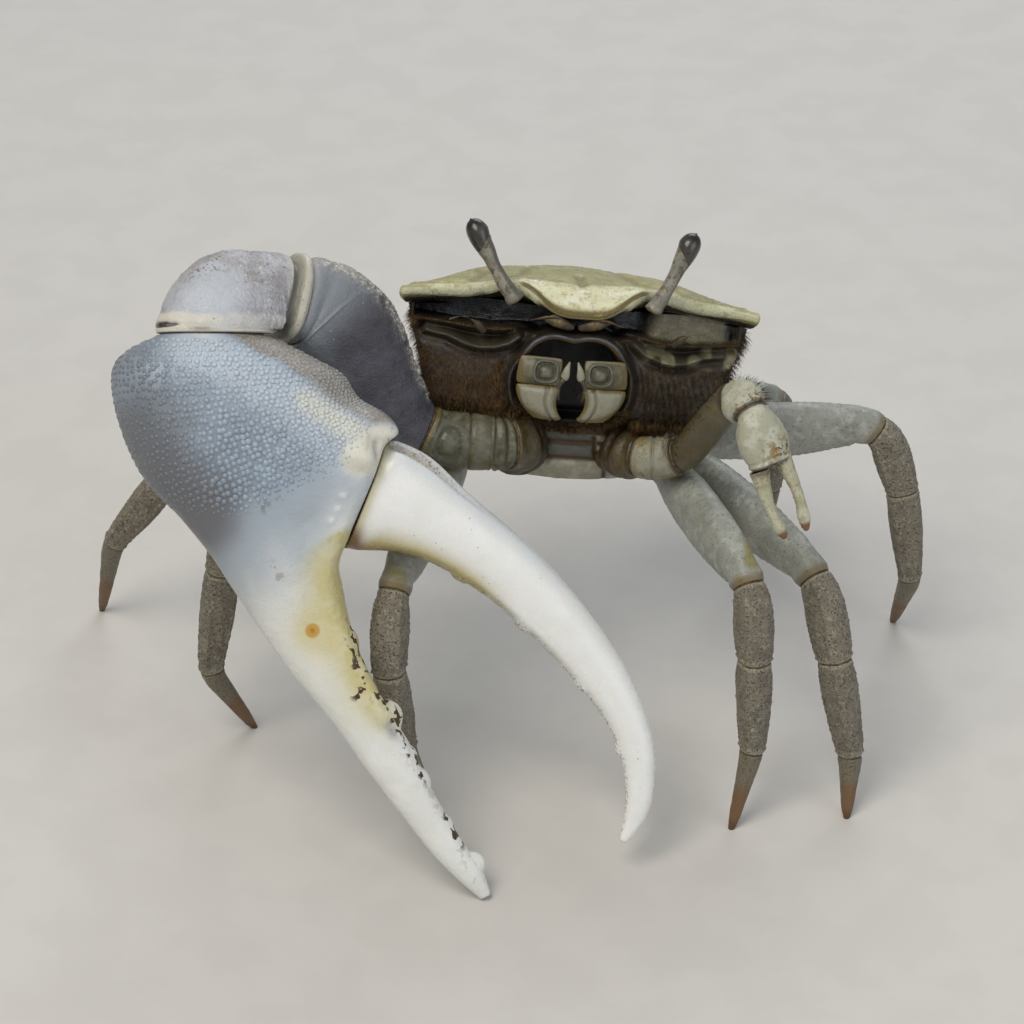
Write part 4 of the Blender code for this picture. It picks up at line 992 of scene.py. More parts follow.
# the palm's painted highlight follows this path
highlightPath = ((1.0, -0.8), (4.0, 1.4), (7.0, 3.2), (10.0, 4.4), (12.0, 4.8))
creamPath = ((7.8, 4.2), (9.5, 5.2), (11.2, 6.2), (12.4, 6.4))
bright = hill(alongLine(u, v, highlightPath)[0], 0, 1.9) * ramp(w, 0, 2)
creamGap = alongLine(u, v, creamPath)[0]
nearLobes = np.hypot((u - 12.6) / 1.6, (v - 6.6) / 2.5)
cream = np.maximum(0.8 * hill(creamGap, 0, 1.0), ramp(-nearLobes, -1.25, -0.6))
earthy = ramp(v - earthLine(u) + 0.35 * cloud(palm["rings"], 0.7 * mm, 31), -0.5, 0.7)
earthy = earthy * (1 - ramp(u, 11.3, 12.3))
earthy = np.maximum(earthy * ramp(u, 0.3, 1.5),
                    ramp(top, 0.75, 0.97) * (1 - ramp(u, 10.8, 12.0)) * ramp(u, 0.3, 2))
stainGap = alongLine(u, v, ((16.6, 2.2), (17.5, 1.4), (20.0, 0.2), (23.5, -0.5), (29.0, -0.3)))[0]
stain = hill(stainGap, 0, 1.5 - 0.03 * np.clip(u - 17, 0, 12))
stain = stain * (0.45 + 0.55 * ramp(cloud(palm["rings"], 0.9 * mm, 21), -0.5, 0.3))
stain = stain * ramp(u, 15.8, 17.0) * (1 - 0.45 * ramp(u, 26, 31))
speckGap = np.min([np.hypot((u - a) / b, (v - c) / d) for a, c, b, d in (
    (23.9, 0.0, 1.5, 0.42), (25.6, -0.6, 0.9, 0.3), (26.8, -1.0, 0.35, 0.7), (27.6, 0.1, 0.7, 0.4),
    (29.6, 0.2, 1.0, 0.35), (32.6, 0.1, 1.2, 0.3), (38.0, 0.3, 1.0, 0.3),
    (12.6, -1.4, 0.5, 0.35), (16.9, -2.6, 0.7, 0.3))], axis=0)
speckPath = ((22.5, 0.4), (25.0, -0.3), (28.0, -0.6), (31.0, -0.1), (36.0, 0.1), (42.0, 0.2))
fineSpecks = alongLine(u, v, speckPath)[0]
fineSpecks = hill(fineSpecks, 0, 0.75) * ramp(u, 21.5, 24)
amberGap = np.hypot(u - clawPlan["spot"][0], v - clawPlan["spot"][1])
bumpGap = np.min([np.hypot(u - a, v - b) for a, b in bumpLine], axis=0)
hingeGap = np.abs((palm["rings"] - hingeFar) @ hingeOut) / mm
hingeSpan = (palm["rings"] - hingeFar) @ hingeLine / mm
creaseGap = np.minimum(alongLine(u, v, ((12.3, 7.0), (13.0, 6.7)))[0] / 0.20,
                       alongLine(u, v, ((11.6, 6.8), (12.3, 6.2)))[0] / 0.18)
outerFace = ramp(w, 0, 1)
limbPiece("claw_palm_shell", palm, palmFinish, {
    "ivory": ivory * (1 - 0.3 * earthy),
    "paling": paling * (1 - earthy),
    "shade": ramp(-top + 0.15 * cloud(palm["rings"], 2.5 * mm, 33), 0.10, 0.90)
    * (1 - 0.75 * ivory) * (0.35 + 0.65 * ramp(u, 1.0, 5.0)),
    # painted highlight along the palm's upper face
    "bright": bright * (1 - earthy),
    "earthy": earthy * (1 - cream),
    "cream": np.clip(cream * ramp(w, -0.5, 1.5)
                     + 0.8 * hill(np.hypot(u - 0.3, v - 0.6), 0, 0.9) * outerFace, 0, 1),
    "bump": hill(bumpGap, 0, 0.22) * ramp(w, 0, 1),
    "stain": stain,
    "amber": ramp(-amberGap, -clawPlan["spot"][2] - 0.10, -clawPlan["spot"][2] + 0.12) * ramp(w, 0, 1),
    "amberCore": ramp(-amberGap, -0.30, -0.05) * ramp(w, 0, 1),
    "halo": np.clip(0.75 * hill(amberGap, 0, 1.5)
                    + 0.8 * hill(stainGap, 0, 2.6) * ramp(u, 15.5, 18) * (1 - ramp(u, 27, 32)), 0, 1)
    * outerFace,
    "specks": ramp(w, -1, 0.5) * np.clip((1 - ramp(speckGap, 0.7, 1.8)) * (0.4 + 0.6 * ramp(u, 18, 20))
                                         + 0.30 * fineSpecks, 0, 1),
    "crease": np.exp(-creaseGap ** 2) * ramp(w, 0.5, 1.5) * 0.35,
    "slate": np.clip(palm["socket"] + ramp(-hingeGap, -0.06, 0.0) * ramp(hingeSpan, 1.2, 2.0)
    + 0.7 * hill(np.hypot((u - 30.0) / 0.8, (v + 0.5) / 0.45), 0, 1.0) * ramp(w, 0, 1), 0, 1),
}, slot="claw_shell", nodes=("claw_manus",))
print("palm and fixed finger")


def domes(name, places, normals, radii, finish, slot, marks, sunk=0.35, tall=0.5):
    # rounded grains: two rings of eight and a top point each, the lower ring under the surface
    count, sides = len(places), 8
    side = unit(np.cross(normals, np.where(np.abs(normals[:, 2:]) < 0.8, (0, 0, 1.0), (1.0, 0, 0))))
    other = np.cross(normals, side)
    angle = np.linspace(0, 2 * math.pi, sides, endpoint=False)
    circle = np.cos(angle)[None, :, None] * side[:, None] + np.sin(angle)[None, :, None] * other[:, None]
    radii = radii[:, None, None]
    low = places[:, None] + circle * radii - normals[:, None] * radii * sunk
    mid = places[:, None] + circle * radii * 0.68 + normals[:, None] * radii * tall * 0.62
    tops = places + normals * radii[:, 0] * tall
    points = np.concatenate([low, mid, tops[:, None]], axis=1)
    j = np.arange(sides)
    k = (j + 1) % sides
    base = (np.arange(count) * (2 * sides + 1))[:, None, None]
    quads = (base + np.stack([j, k, sides + k, sides + j], axis=-1)[None]).reshape(-1, 4)
    fans = (base + np.stack([sides + j, sides + k, np.full(sides, 2 * sides)], axis=-1)[None]).reshape(-1, 3)
    bottoms = base[:, :, 0] + j[None, ::-1]
    foot = np.tile(np.concatenate([np.ones(sides), np.full(sides, 0.35), np.zeros(1)]), count)
    marks = {key: np.repeat(values, 2 * sides + 1) for key, values in marks.items()}
    return makePiece(name, points, [quads, fans, bottoms], finish, {"foot": foot, **marks}, slot=slot)


def between(grid, i, j, k, f, g):
    # a value inside each cell: f of the way from row i to the next, g of the way from column j to k
    return ((1 - f) * ((1 - g) * grid[i, j] + g * grid[i, k])
            + f * ((1 - g) * grid[i + 1, j] + g * grid[i + 1, k]))


def rowsOfGrains(part, spacing, seed, jitter=0.28):
    # places in rows round the part: rows a spacing apart along it, grains a spacing apart in a row,
    # every other row shifted by half a step, each grain nudged by a seeded amount
    rng = np.random.default_rng(seed)
    rings, normals = part["rings"], ringNormals(part["rings"])
    count, sides = rings.shape[:2]
    spine = rings[:, 0]
    travelled = np.concatenate([[0], np.cumsum(np.linalg.norm(np.diff(spine, axis=0), axis=1))])
    found = []
    for index, distance in enumerate(np.arange(spacing, travelled[-1] - spacing, spacing * 0.9)):
        row = np.interp(distance, travelled, np.arange(count))
        ring = rings[int(row)]
        girth = np.concatenate([[0], np.cumsum(np.linalg.norm(np.roll(ring, -1, 0) - ring, axis=1))])
        number = max(4, int(girth[-1] / spacing))
        at = (np.arange(number) + 0.5 * (index % 2)) / number * girth[-1]
        column = np.interp(at, girth, np.arange(sides + 1))
        found.append(np.stack([np.full(number, row), column], axis=1))
    found = np.concatenate(found)
    found += rng.normal(0, jitter, found.shape) * (spacing / (travelled[-1] / count),
                                                   spacing * sides / (2 * math.pi * 6 * mm))
    row = np.clip(found[:, 0], 0, count - 1.001)
    column = found[:, 1] % sides
    i, j = row.astype(int), column.astype(int)
    f, g = (row - i)[:, None], (column - j)[:, None]
    k = (j + 1) % sides
    corners = (i, j, k, f, g)
    return between(rings, *corners), unit(between(normals, *corners)), rng


places, normals, rng = rowsOfGrains(palmOpen, 0.42 * mm, 11, 0.14)
u, v, w = palmPlane(places)
size = 0.215 + 0.050 * hill(np.hypot((u - 9.5) / 4.6, (v + 0.2) / 3.8), 0, 1) * ramp(w, -1, 1)
fading = ramp(u + 0.45 * np.maximum(-v - 2.5, 0) + 0.45 * np.maximum(v - 4.5, 0) * ramp(u, 5, 9), 11.2, 13.6)
size = size * (1 - fading) * rng.uniform(0.82, 1.12, len(size)) * (1 - 0.35 * ramp(-v, 4.5, 7.0))
keep = (size > 0.075) & (u > -1.2) & ((places - hingeFar) @ hingeOut < -0.6 * mm)
earth = ramp(v - earthLine(u), -0.4, 0.5)
size = size * (1 - 0.35 * earth)
grainMasks = {"earth": earth, "shade": ramp(-v, 1.0, 5.8),
              "cream": 0.8 * hill(alongLine(u, v, creamPath)[0], 0, 1.0),
              # painted highlight along the same band as on the palm
              "bright": hill(alongLine(u, v, highlightPath)[0], 0, 1.9) * (1 - earth)}
domes("claw_palm_grains", places[keep], normals[keep], size[keep] * mm, pustuleFinish, "claw_shell",
      {key: values[keep] for key, values in grainMasks.items()}, sunk=0.25, tall=0.34)
print("palm grains:", int(keep.sum()))


def thumbSurface(rows, sides):
    # superellipse sections carried along a line whose heading in the palm's plane turns as named
    plan = clawPlan
    middle = (hingeNear + hingeFar) / 2
    length = plan["thumb"][-1][0]
    dense = np.linspace(0, length, 400)
    heading = np.radians(throughStations(plan["thumbHeadings"], dense)[:, 0])
    step = dense[1] - dense[0]
    u = np.concatenate([[0], np.cumsum(np.cos(heading[:-1]) * step)])
    v = np.concatenate([[0], np.cumsum(np.sin(heading[:-1]) * step)])
    at = np.linspace(plan["thumb"][0][0], length, rows)
    values = throughStations(plan["thumb"], at) * crabWidth
    angles = np.interp(at, dense, heading)
    places = middle + (np.outer(np.interp(at, dense, u), palmAlong)
                       + np.outer(np.interp(at, dense, v), palmAcross)) * crabWidth
    up = np.outer(-np.sin(angles), palmAlong) + np.outer(np.cos(angles), palmAcross)
    share = ramp(at, 0.02, 0.16)[:, None]
    up = unit((1 - share) * hingeLine + share * up)
    places = places + up * values[:, 0:1]
    angle = np.linspace(0, 2 * math.pi, sides, endpoint=False)
    c, s = superRing(angle, 2.2)
    rings = (places[:, None] + (s[None] * values[:, 1:2])[..., None] * up[:, None]
             + (c[None] * values[:, 2:3])[..., None] * palmFace)
    along = np.broadcast_to(at[:, None], (rows, sides))
    ways = unit(np.gradient(places, axis=0))
    return {"rings": rings, "along": along, "around": np.broadcast_to(angle, (rows, sides)),
            "ends": (-hingeOut, ways[-1])}


thumb = thumbSurface(*clawPlan["thumbGrid"])
along, around = thumb["along"], thumb["around"]
normals = ringNormals(thumb["rings"])
top, outer = np.sin(around), np.cos(around)
lift = gapeTeeth(along, around, 1.5 * math.pi, clawPlan["thumbTeeth"])
gapeSide = roundHill(around, 1.5 * math.pi, 0.35)
lift += 0.03 * mm * gapeSide * beads(thumb["rings"], 0.34 * mm, 14) * ramp(along, 0.15, 0.3)
# groove along the upper edge from the hinge, and the raised rim at the hinge with its two knobs
upperGroove = roundHill(around, 0.36 * math.pi, 0.13) * (1 - ramp(along, 0.10, 0.34))
lift -= 0.34 * mm * upperGroove
lift += 0.22 * mm * roundHill(around, 0.46 * math.pi, 0.16) * (1 - ramp(along, 0.12, 0.40))
knob = hill(along, 0.05, 0.05) * roundHill(around, 0.25 * math.pi, 0.34)
lift += 0.30 * mm * knob
heel = hill(along, 0.06, 0.07) * roundHill(around, 1.52 * math.pi, 0.5)
lift += 0.12 * mm * heel
lift += 0.03 * mm * cloud(thumb["rings"], 2.8 * mm, 6)
innerRidge = roundHill(around, 1.70 * math.pi, 0.22)
lift += 0.10 * mm * innerRidge * ramp(along, 0.05, 0.15) * (1 - ramp(along, 0.5, 0.9))
fade = ramp(along, 0.012, 0.04) * (1 - ramp(along, 1.345, 1.375))
thumb["rings"] = thumb["rings"] + (lift * fade)[..., None] * normals
thumbOpen = dict(thumb)
closeLimb(thumb, shellEnd, ((0.7, 0.10), (0.35, 0.16)))
along, around = thumb["along"], thumb["around"]
top, outer = np.sin(around), np.cos(around)
gapeSide = roundHill(around, 1.5 * math.pi, 0.45)
innerBand = roundHill(around, 1.62 * math.pi, 0.55)
upperGroove = roundHill(around, 0.38 * math.pi, 0.17) * (1 - ramp(along, 0.10, 0.34))
patchy = ramp(cloud(thumb["rings"], 0.9 * mm, 41), -0.3, 0.4)
limbPiece("claw_finger_shell", thumb, fingerFinish, {
    "cool": ramp(top, 0.2, 0.9) * (1 - ramp(along, 0.3, 0.9)),
    "stain": np.clip(innerBand * (1 - ramp(along, 0.34, 0.62)) * ramp(along, 0.02, 0.08)
                     + 0.55 * gapeSide * patchy * (1 - ramp(along, 0.8, 1.1))
                     + 0.7 * heel.max() * hill(along, 0.0, 0.03), 0, 1),
    "rust": np.clip(gapeSide * (1 - ramp(along, 0.12, 0.46)) * 0.9 + 1.2 * hill(along, 0.0, 0.035)
                    * ramp(-top, 0.3, 0.9), 0, 1) * (1 - thumb["socket"]),
    "specks": np.clip(gapeSide * ramp(along, 0.1, 0.3) * 0.9 + upperGroove * 1.0
                      + 0.5 * roundHill(around, 0.5 * math.pi, 0.3)
                      * ramp(along, 0.4, 0.9), 0, 1),
    "groove": upperGroove * 0.8,
    "joint": thumb["socket"],
}, slot="claw_finger", nodes=("claw_dactyl",))

# skin in the hinge: from inside the palm's cut to inside the finger's heel
hingeRing = thumbOpen["rings"][0]
hingeMiddle = hingeRing.mean(axis=0)
t = np.linspace(0, 1, 14)[:, None, None]
skin = hingeMiddle + (hingeRing - hingeMiddle) * 0.86 - hingeOut * (0.75 - 1.1 * t) * mm
skin = skin + (skin - hingeMiddle) * 0.04 * np.sin(3 * math.pi * t)
limbPiece("claw_hinge_skin", skinPart(skin, t[..., 0]), jointSkin, {"fold": t[..., 0]}, slot="claw_shell")
print("movable finger")

clawParts = {
    "coxa": limb(clawRuns[0], clawPlan["coxa"], clawFace, 40, 96, trim=(0, limbGap / 2)),
    "ischium": limb(clawRuns[1], clawPlan["ischium"], clawFace, 110, 110),
    "merus": limb(clawRuns[2], clawPlan["merus"], clawFace, 180, 168, keel=-0.25),
    "carpus": limb(clawRuns[3], clawPlan["carpus"], clawFace, 140, 168, ease=0.4,
                   trim=(clawPlan["foldRoom"] * mm, limbGap / 2)),
}


part = clawParts["merus"]
along, around, rings = part["along"], part["around"], part["rings"]
edges = np.maximum(fromAngle(around, 90, 26), fromAngle(around, -72, 20))
lift = (0.16 * fromAngle(around, 84, 13) * ramp(along, 0.05, 0.3) * beads(rings, 0.40 * mm, 3)
        + 0.12 * fromAngle(around, -68, 14) * beads(rings, 0.5 * mm, 4)
        + 0.09 * edges * beads(rings, 0.24 * mm, 5)
        + 0.05 * hill(along, 0.975, 0.02) - 0.10 * hill(along, 0.93, 0.02)
        + 0.10 * np.exp(-((along - 0.86 - 0.05 * np.sin(around)) / 0.010) ** 2) * fromAngle(around, 20, 50)
        - 0.14 * fromAngle(around, 10, 40) * hill(along, 0.5, 0.35)
        + 0.03 * cloud(rings, 0.8 * mm, 6) + 0.06 * cloud(rings, 2.5 * mm, 7))
relieve(part, lift * mm)
part = clawParts["carpus"]
along, around, rings = part["along"], part["around"], part["rings"]
toWrist = (rings[-1].mean(axis=0) - rings) @ wristWay / mm
rightward = (rings[..., 0] - rings[-1].mean(axis=0)[0]) / mm
right = ramp(rightward, 0.5, 3.0)


def wristSlit(toWrist, rightward):
    # a lens shape: its height falls off with the square of the distance along it
    height = 0.17 * (1 - ((rightward + 3.3) / 1.25) ** 2)
    return ramp(height - np.abs(toWrist - 0.42), -0.04, 0.04)


teethEdge = np.clip(np.sin(around * 34 + 2 * np.sin(around * 5)), 0, 1)
lift = (0.06 * beads(rings, 0.30 * mm, 8) * ramp(along, 0.02, 0.1) * (1 - 0.8 * ramp(along, 0.72, 0.84))
        + 0.14 * hill(along, 0.012, 0.02) * (0.4 + 0.6 * teethEdge)
        + 0.11 * hill(toWrist, 0.55, 0.50) * (1 - 0.5 * right) - 0.06 * hill(toWrist, 1.35, 0.25)
        + 0.04 * cloud(rings, 0.8 * mm, 9) + 0.10 * cloud(rings, 3.0 * mm, 10)
        + (0.34 * np.exp(-(np.hypot(toWrist - 0.35, rightward + 0.6) / 0.55) ** 2)
           - 0.28 * wristSlit(toWrist, rightward)) * (rings[..., 1] < wrist[1]))
relieve(part, lift * mm)
part = clawParts["ischium"]
along, around, rings = part["along"], part["around"], part["rings"]


def outerDimple(along, around):
    # a soft square on the outer face: the cube root of the summed cubes of both distances
    turn = np.abs(np.angle(np.exp(1j * (around - 0.15)))) / 0.6
    return ((np.abs(along - 0.72) / 0.17) ** 3 + turn ** 3) ** (1 / 3)


# a suture ring, the dimple, and fine rings near the root
dimple = outerDimple(along, around)
lift = (-0.13 * hill(along, 0.44, 0.025) + 0.06 * hill(dimple, 1.05, 0.22) - 0.07 * hill(dimple, 0.72, 0.16)
        + 0.05 * (1 - ramp(dimple, 0.2, 0.6))
        + 0.09 * np.sin(2 * math.pi * along / 0.075) * (1 - ramp(along, 0.10, 0.22))
        + 0.03 * cloud(rings, 0.5 * mm, 11) + 0.10 * hill(along, 0.96, 0.03))
relieve(part, lift * mm)
part = clawParts["coxa"]
lift = 0.10 * np.sin(2 * math.pi * part["along"] * 3) + 0.05 * cloud(part["rings"], 0.5 * mm, 3)
relieve(part, lift * mm)

# base segments of the claws and mouthparts: thin grey-olive chitin, paler in places, with painted sheen,
# ochre at its seams
plateFinish = shellFinish("greyOlivePlate", {
    "ground": "#4b4936",
    "tints": (
        mottled(1.0, "#5f5e4b", (0.42, 0.62), 0.8),
        mottled(0.4, "#3b3929", (0.52, 0.66), 0.6),
        painted("bright", "#8f8c78", 0.92),
        mottled(0.6, "#76745d", (0.50, 0.66), 0.5),
        painted("dimple", "#3c3b2f", 0.8),
        painted("shine", "#68695d", 0.7),
        painted("seam", "#433416", 0.9),
        painted("ochre", "#6b5a2a", 0.85),
        painted("joint", "#282013", 0.9),
    ),
    "relief": (bumps(0.35, 0.015), bumps(0.08, 0.006)),
    "gloss": (0.33, 0.08),
    "shader": {"IOR": 1.5, "Subsurface Weight": 0.08, "Subsurface Scale": 0.0006},
})

clawOpen = {kind: dict(part) for kind, part in clawParts.items()}
for kind, part in clawParts.items():
    closeLimb(part)
    along, around, rings, socket = part["along"], part["around"], part["rings"], part["socket"]
    if kind == "merus":
        pale = np.maximum(fromAngle(around, 92, 24), 0.9 * fromAngle(around, -75, 24))
        pale = pale * ramp(along, 0.0, 0.1) * ramp(cloud(rings, 0.5 * mm, 17), -1.3, 0.1)
        paleLine = hill(along - 0.05 * np.sin(around), 0.86, 0.008) * fromAngle(around, 20, 50)
        rust = (hill(along, 0.0, 0.06) * ramp(np.sin(around), 0.3, 0.9)
                + fromAngle(around, 88, 24) * (1 - ramp(along, 0.25, 0.5)))
        masks = {"pale": pale,
                 "rim": np.clip(0.7 * hill(along, 1, 0.02) * (1 - socket) + 0.6 * paleLine, 0, 1),
                 "light": ramp(along, 0.62, 0.95) * 0.8 + 0.5 * fromAngle(around, 50, 26),
                 "rust": np.clip(rust, 0, 1) * ramp(cloud(rings, 0.6 * mm, 18), -0.5, 0.1)}
        limbPiece("claw_arm_shell", part, armFinish, masks, slot="claw_arm", nodes=("claw_merus",))
    elif kind == "carpus":
        dusty = np.maximum(0.7 * fromAngle(around, 70, 45), hill(along, 0.03, 0.07))
        dusty = ramp(cloud(rings, 1.2 * mm, 19), -0.2, 0.5) * dusty
        lowerSpecks = hill(along, 0.62, 0.14) * fromAngle(around, -45, 22)
        lastRing = clawOpen["carpus"]["rings"][-1].mean(axis=0)
        toWrist = (lastRing - rings) @ wristWay / mm
        slit = wristSlit(toWrist, (rings[..., 0] - lastRing[0]) / mm)
        toWrist = toWrist + 0.12 * cloud(rings, 0.9 * mm, 27)
        right = ramp((rings[..., 0] - wrist[0]) / mm, 0.0, 3.0)
        # painted shade: near black inside the slit's dent
        masks = {"slit": slit * (rings[..., 1] < wrist[1]),
                 "cream": (1 - ramp(toWrist, 0.95, 1.35)) * (1 - 0.6 * right),
                 "cool": fromAngle(around, -15, 40) * ramp(along, 0.35, 0.75),
                 "rim": 0.8 * hill(along, 0, 0.02) + hill(along, 1, 0.02),
                 "specks": np.clip(dusty + lowerSpecks, 0, 1), "joint": 0.3 * socket}
        limbPiece("claw_wrist_shell", part, wristFinish, masks, slot="claw_shell", nodes=("claw_carpus",))
    else:
        dimple = outerDimple(along, around)
        face = 1.0 if kind == "ischium" else 0.0
        ochre = (hill(along, 1, 0.04) + 0.7 * hill(along, 0.22, 0.05) * ramp(np.sin(around), 0, 0.8)
                 + 0.5 * fromAngle(around, 80, 25))
        masks = {"bright": 0.35 * hill(along, 0.32, 0.12) * face,
                 "dimple": face * 0.7 * hill(dimple, 0.8, 0.3),
                 "shine": face * (0.7 * (1 - ramp(dimple, 0.1, 0.6)) + 0.5 * hill(dimple, 1.15, 0.2)),
                 "seam": face * (0.7 * hill(along, 0.44, 0.015) + 0.8 * (1 - ramp(along, 0.1, 0.2))
                                 * ramp(np.sin(2 * math.pi * along / 0.075 + 2.2), 0.2, 0.9))
                 + (1 - face) * 0.6,
                 "ochre": (0.5 + 0.5 * face) * np.clip(ochre, 0, 1) * 0.7,
                 "joint": np.maximum(socket, (1 - face) * 0.85 * (1 - ramp(along, 0.60, 0.80)))}
        limbPiece("claw_" + kind + "_shell", part, plateFinish, masks, slot="mouthpart",
                  nodes=("claw_ischium",) if kind == "ischium" else ())

# fold ring between arm and wrist: a thick pale cord by the arm, then a groove painted grey as shade
armEnd, wristStart = clawOpen["merus"]["rings"][-1], clawOpen["carpus"]["rings"][0]
t = np.linspace(-0.06, 1.06, 64)[:, None, None]
ringSize = throughStations(clawPlan["foldRing"], t[:, 0, 0])[:, None]
middle = armEnd.mean(axis=0) * (1 - t) + wristStart.mean(axis=0) * t
shape = (armEnd - armEnd.mean(axis=0)) * (1 - t) + (wristStart - wristStart.mean(axis=0)) * t
foldRings = middle + shape * ringSize
uneven = 1 + 0.012 * cloud(foldRings, 1.1 * mm, 23) + 0.006 * cloud(foldRings, 0.35 * mm, 24)
foldRings = middle + (foldRings - middle) * uneven[..., None]
limbPiece("claw_fold_ring", skinPart(foldRings, t[..., 0]), foldSkin,
          {"crest": hill(t[..., 0], 0.30, 0.20), "deep": hill(t[..., 0], 0.72, 0.16)}, slot="claw_shell")
# skin between wrist and palm: a sleeve just inside both, painted dark all over as the shade in the gap
sleeve = palmOpen["rings"][0]
sleeveMiddle = sleeve.mean(axis=0)
t = np.linspace(0, 1, 14)[:, None, None]
sleeveRings = sleeveMiddle + (sleeve - sleeveMiddle) * (0.86 + 0.02 * np.sin(3 * math.pi * t))
sleeveRings = sleeveRings - wristWay * (0.95 - 1.5 * t) * mm
limbPiece("claw_wrist_skin", skinPart(sleeveRings, t[..., 0]), foldSkin,
          {"crest": 0 * t[..., 0], "deep": 1.0 + 0 * t[..., 0]}, slot="claw_shell")
membrane("claw_ischium_skin", resided(clawOpen["coxa"], 96), resided(clawOpen["ischium"], 96), jointSkin,
         share=0.9, slot="mouthpart")
membrane("claw_arm_skin", resided(clawOpen["ischium"], 96), resided(clawOpen["merus"], 96), jointSkin,
         share=0.9, slot="claw_arm")
print("claw segments")


# carapace

carapacePlan = {
    "corner": 0.5, "rearHalf": 0.26, "length": 0.65, "crown": 0.058,
    "lobeReach": 0.098, "lobeHalf": 0.2, "lobeDroop": 0.056, "frontDip": 0.008,
    "thickness": 0.040, "bulge": 0.010, "rows": 156, "columns": 250,
    # shallow furrows of the back, drawn on its right half: x and y in carapace widths
    "furrows": (((0.20, 0.06), (0.155, 0.13), (0.15, 0.21), (0.105, 0.29), (0.10, 0.335)),
                ((0.105, 0.30), (0.15, 0.36), (0.155, 0.46), (0.20, 0.58)),
                ((0.0, 0.335), (0.05, 0.325), (0.10, 0.335)),
                ((0.0, -0.02), (0.0, 0.10)),
                ((0.31, 0.03), (0.27, 0.12), (0.30, 0.20))),
}
# carapace: olive chitin, fine-grained and dull with dried mud, paling to cream at its front
carapaceFinish = shellFinish("oliveCarapace", {
    "ground": "#989366",
    "tints": (
        mottled(2.4, "#aaa673", (0.40, 0.64), 0.85),
        mottled(0.9, "#827d55", (0.50, 0.68), 0.7),
        painted("furrow", "#6e6946", 0.55),
        painted("front", "#d2d0ab", 0.95),
        mottled(1.2, "#dcddcb", (0.46, 0.64), 0.7, only=painted("front")),
        painted("strip", "#bfbf9f", 0.95),
        mottled(0.5, "#8e8858", (0.52, 0.66), 0.5),
        painted("ochre", "#594a0b", 0.98),
        mottled(0.20, "#5b5030", (0.62, 0.68), 0.3, detail=2.0),
        mottled(1.1, "#a98e50", (0.58, 0.68), 0.5, only=painted("front")),
        specked(0.9, "#5a4526", (0.05, 0.10), 0.75, only={"size": 1.7, "range": (0.48, 0.54)}),
        # painted shade: near black under the front rim and over the plate's underside
        painted("under", "#1d1710", 1.0),
    ),
    "relief": (bumps(0.45, 0.02), bumps(0.16, 0.025, (0.1, 0.5), kind="specks")),
    "gloss": (0.46, 0.10),
    "shader": {"IOR": 1.52, "Subsurface Weight": 0.06, "Subsurface Scale": 0.0006},
})


def frontEdge(x):
    # the front margin's y: a flat-topped lobe, exp of minus the fourth power, between shallow bays
    lobe = np.exp(-(np.abs(x) / carapacePlan["lobeHalf"]) ** 4)
    return (-carapacePlan["lobeReach"] * lobe
            - 0.032 * (1 - lobe) * (1 - (np.abs(x) / carapacePlan["corner"]) ** 4))


def halfWidth(y):
    # half the carapace's width: it narrows with a power of the way back, faster at the rear corner
    t = np.clip(y / carapacePlan["length"], 0, 1)
    corner, rear = carapacePlan["corner"], carapacePlan["rearHalf"]
    return (corner - (corner - rear) * t**1.35 - 0.045 * np.clip((t - 0.8) / 0.2, 0, 1)**3
            - 0.030 * ramp(t, 0.90, 1))


def crownHeight(across, y):
    # height of the back: domed over its middle, falling to the side edges and to the rear,
    # and drooping at the lobe between the eyes
    t = np.clip(y / carapacePlan["length"], -0.2, 1)
    middle = (carapacePlan["crown"] - 0.34 * np.clip(t - 0.45, 0, 1)**2
              - carapacePlan["frontDip"] * np.exp(-(np.clip(t, 0, 1) / 0.16)**2))
    side = -0.10 * np.clip(t, 0, 1)**1.6
    droop = carapacePlan["lobeDroop"] * np.clip(-y / carapacePlan["lobeReach"], 0, 1)**1.3
    across = np.abs(across)
    return middle * (1 - across**2.8) + side * across**2.8 - droop * (1 - across**2)


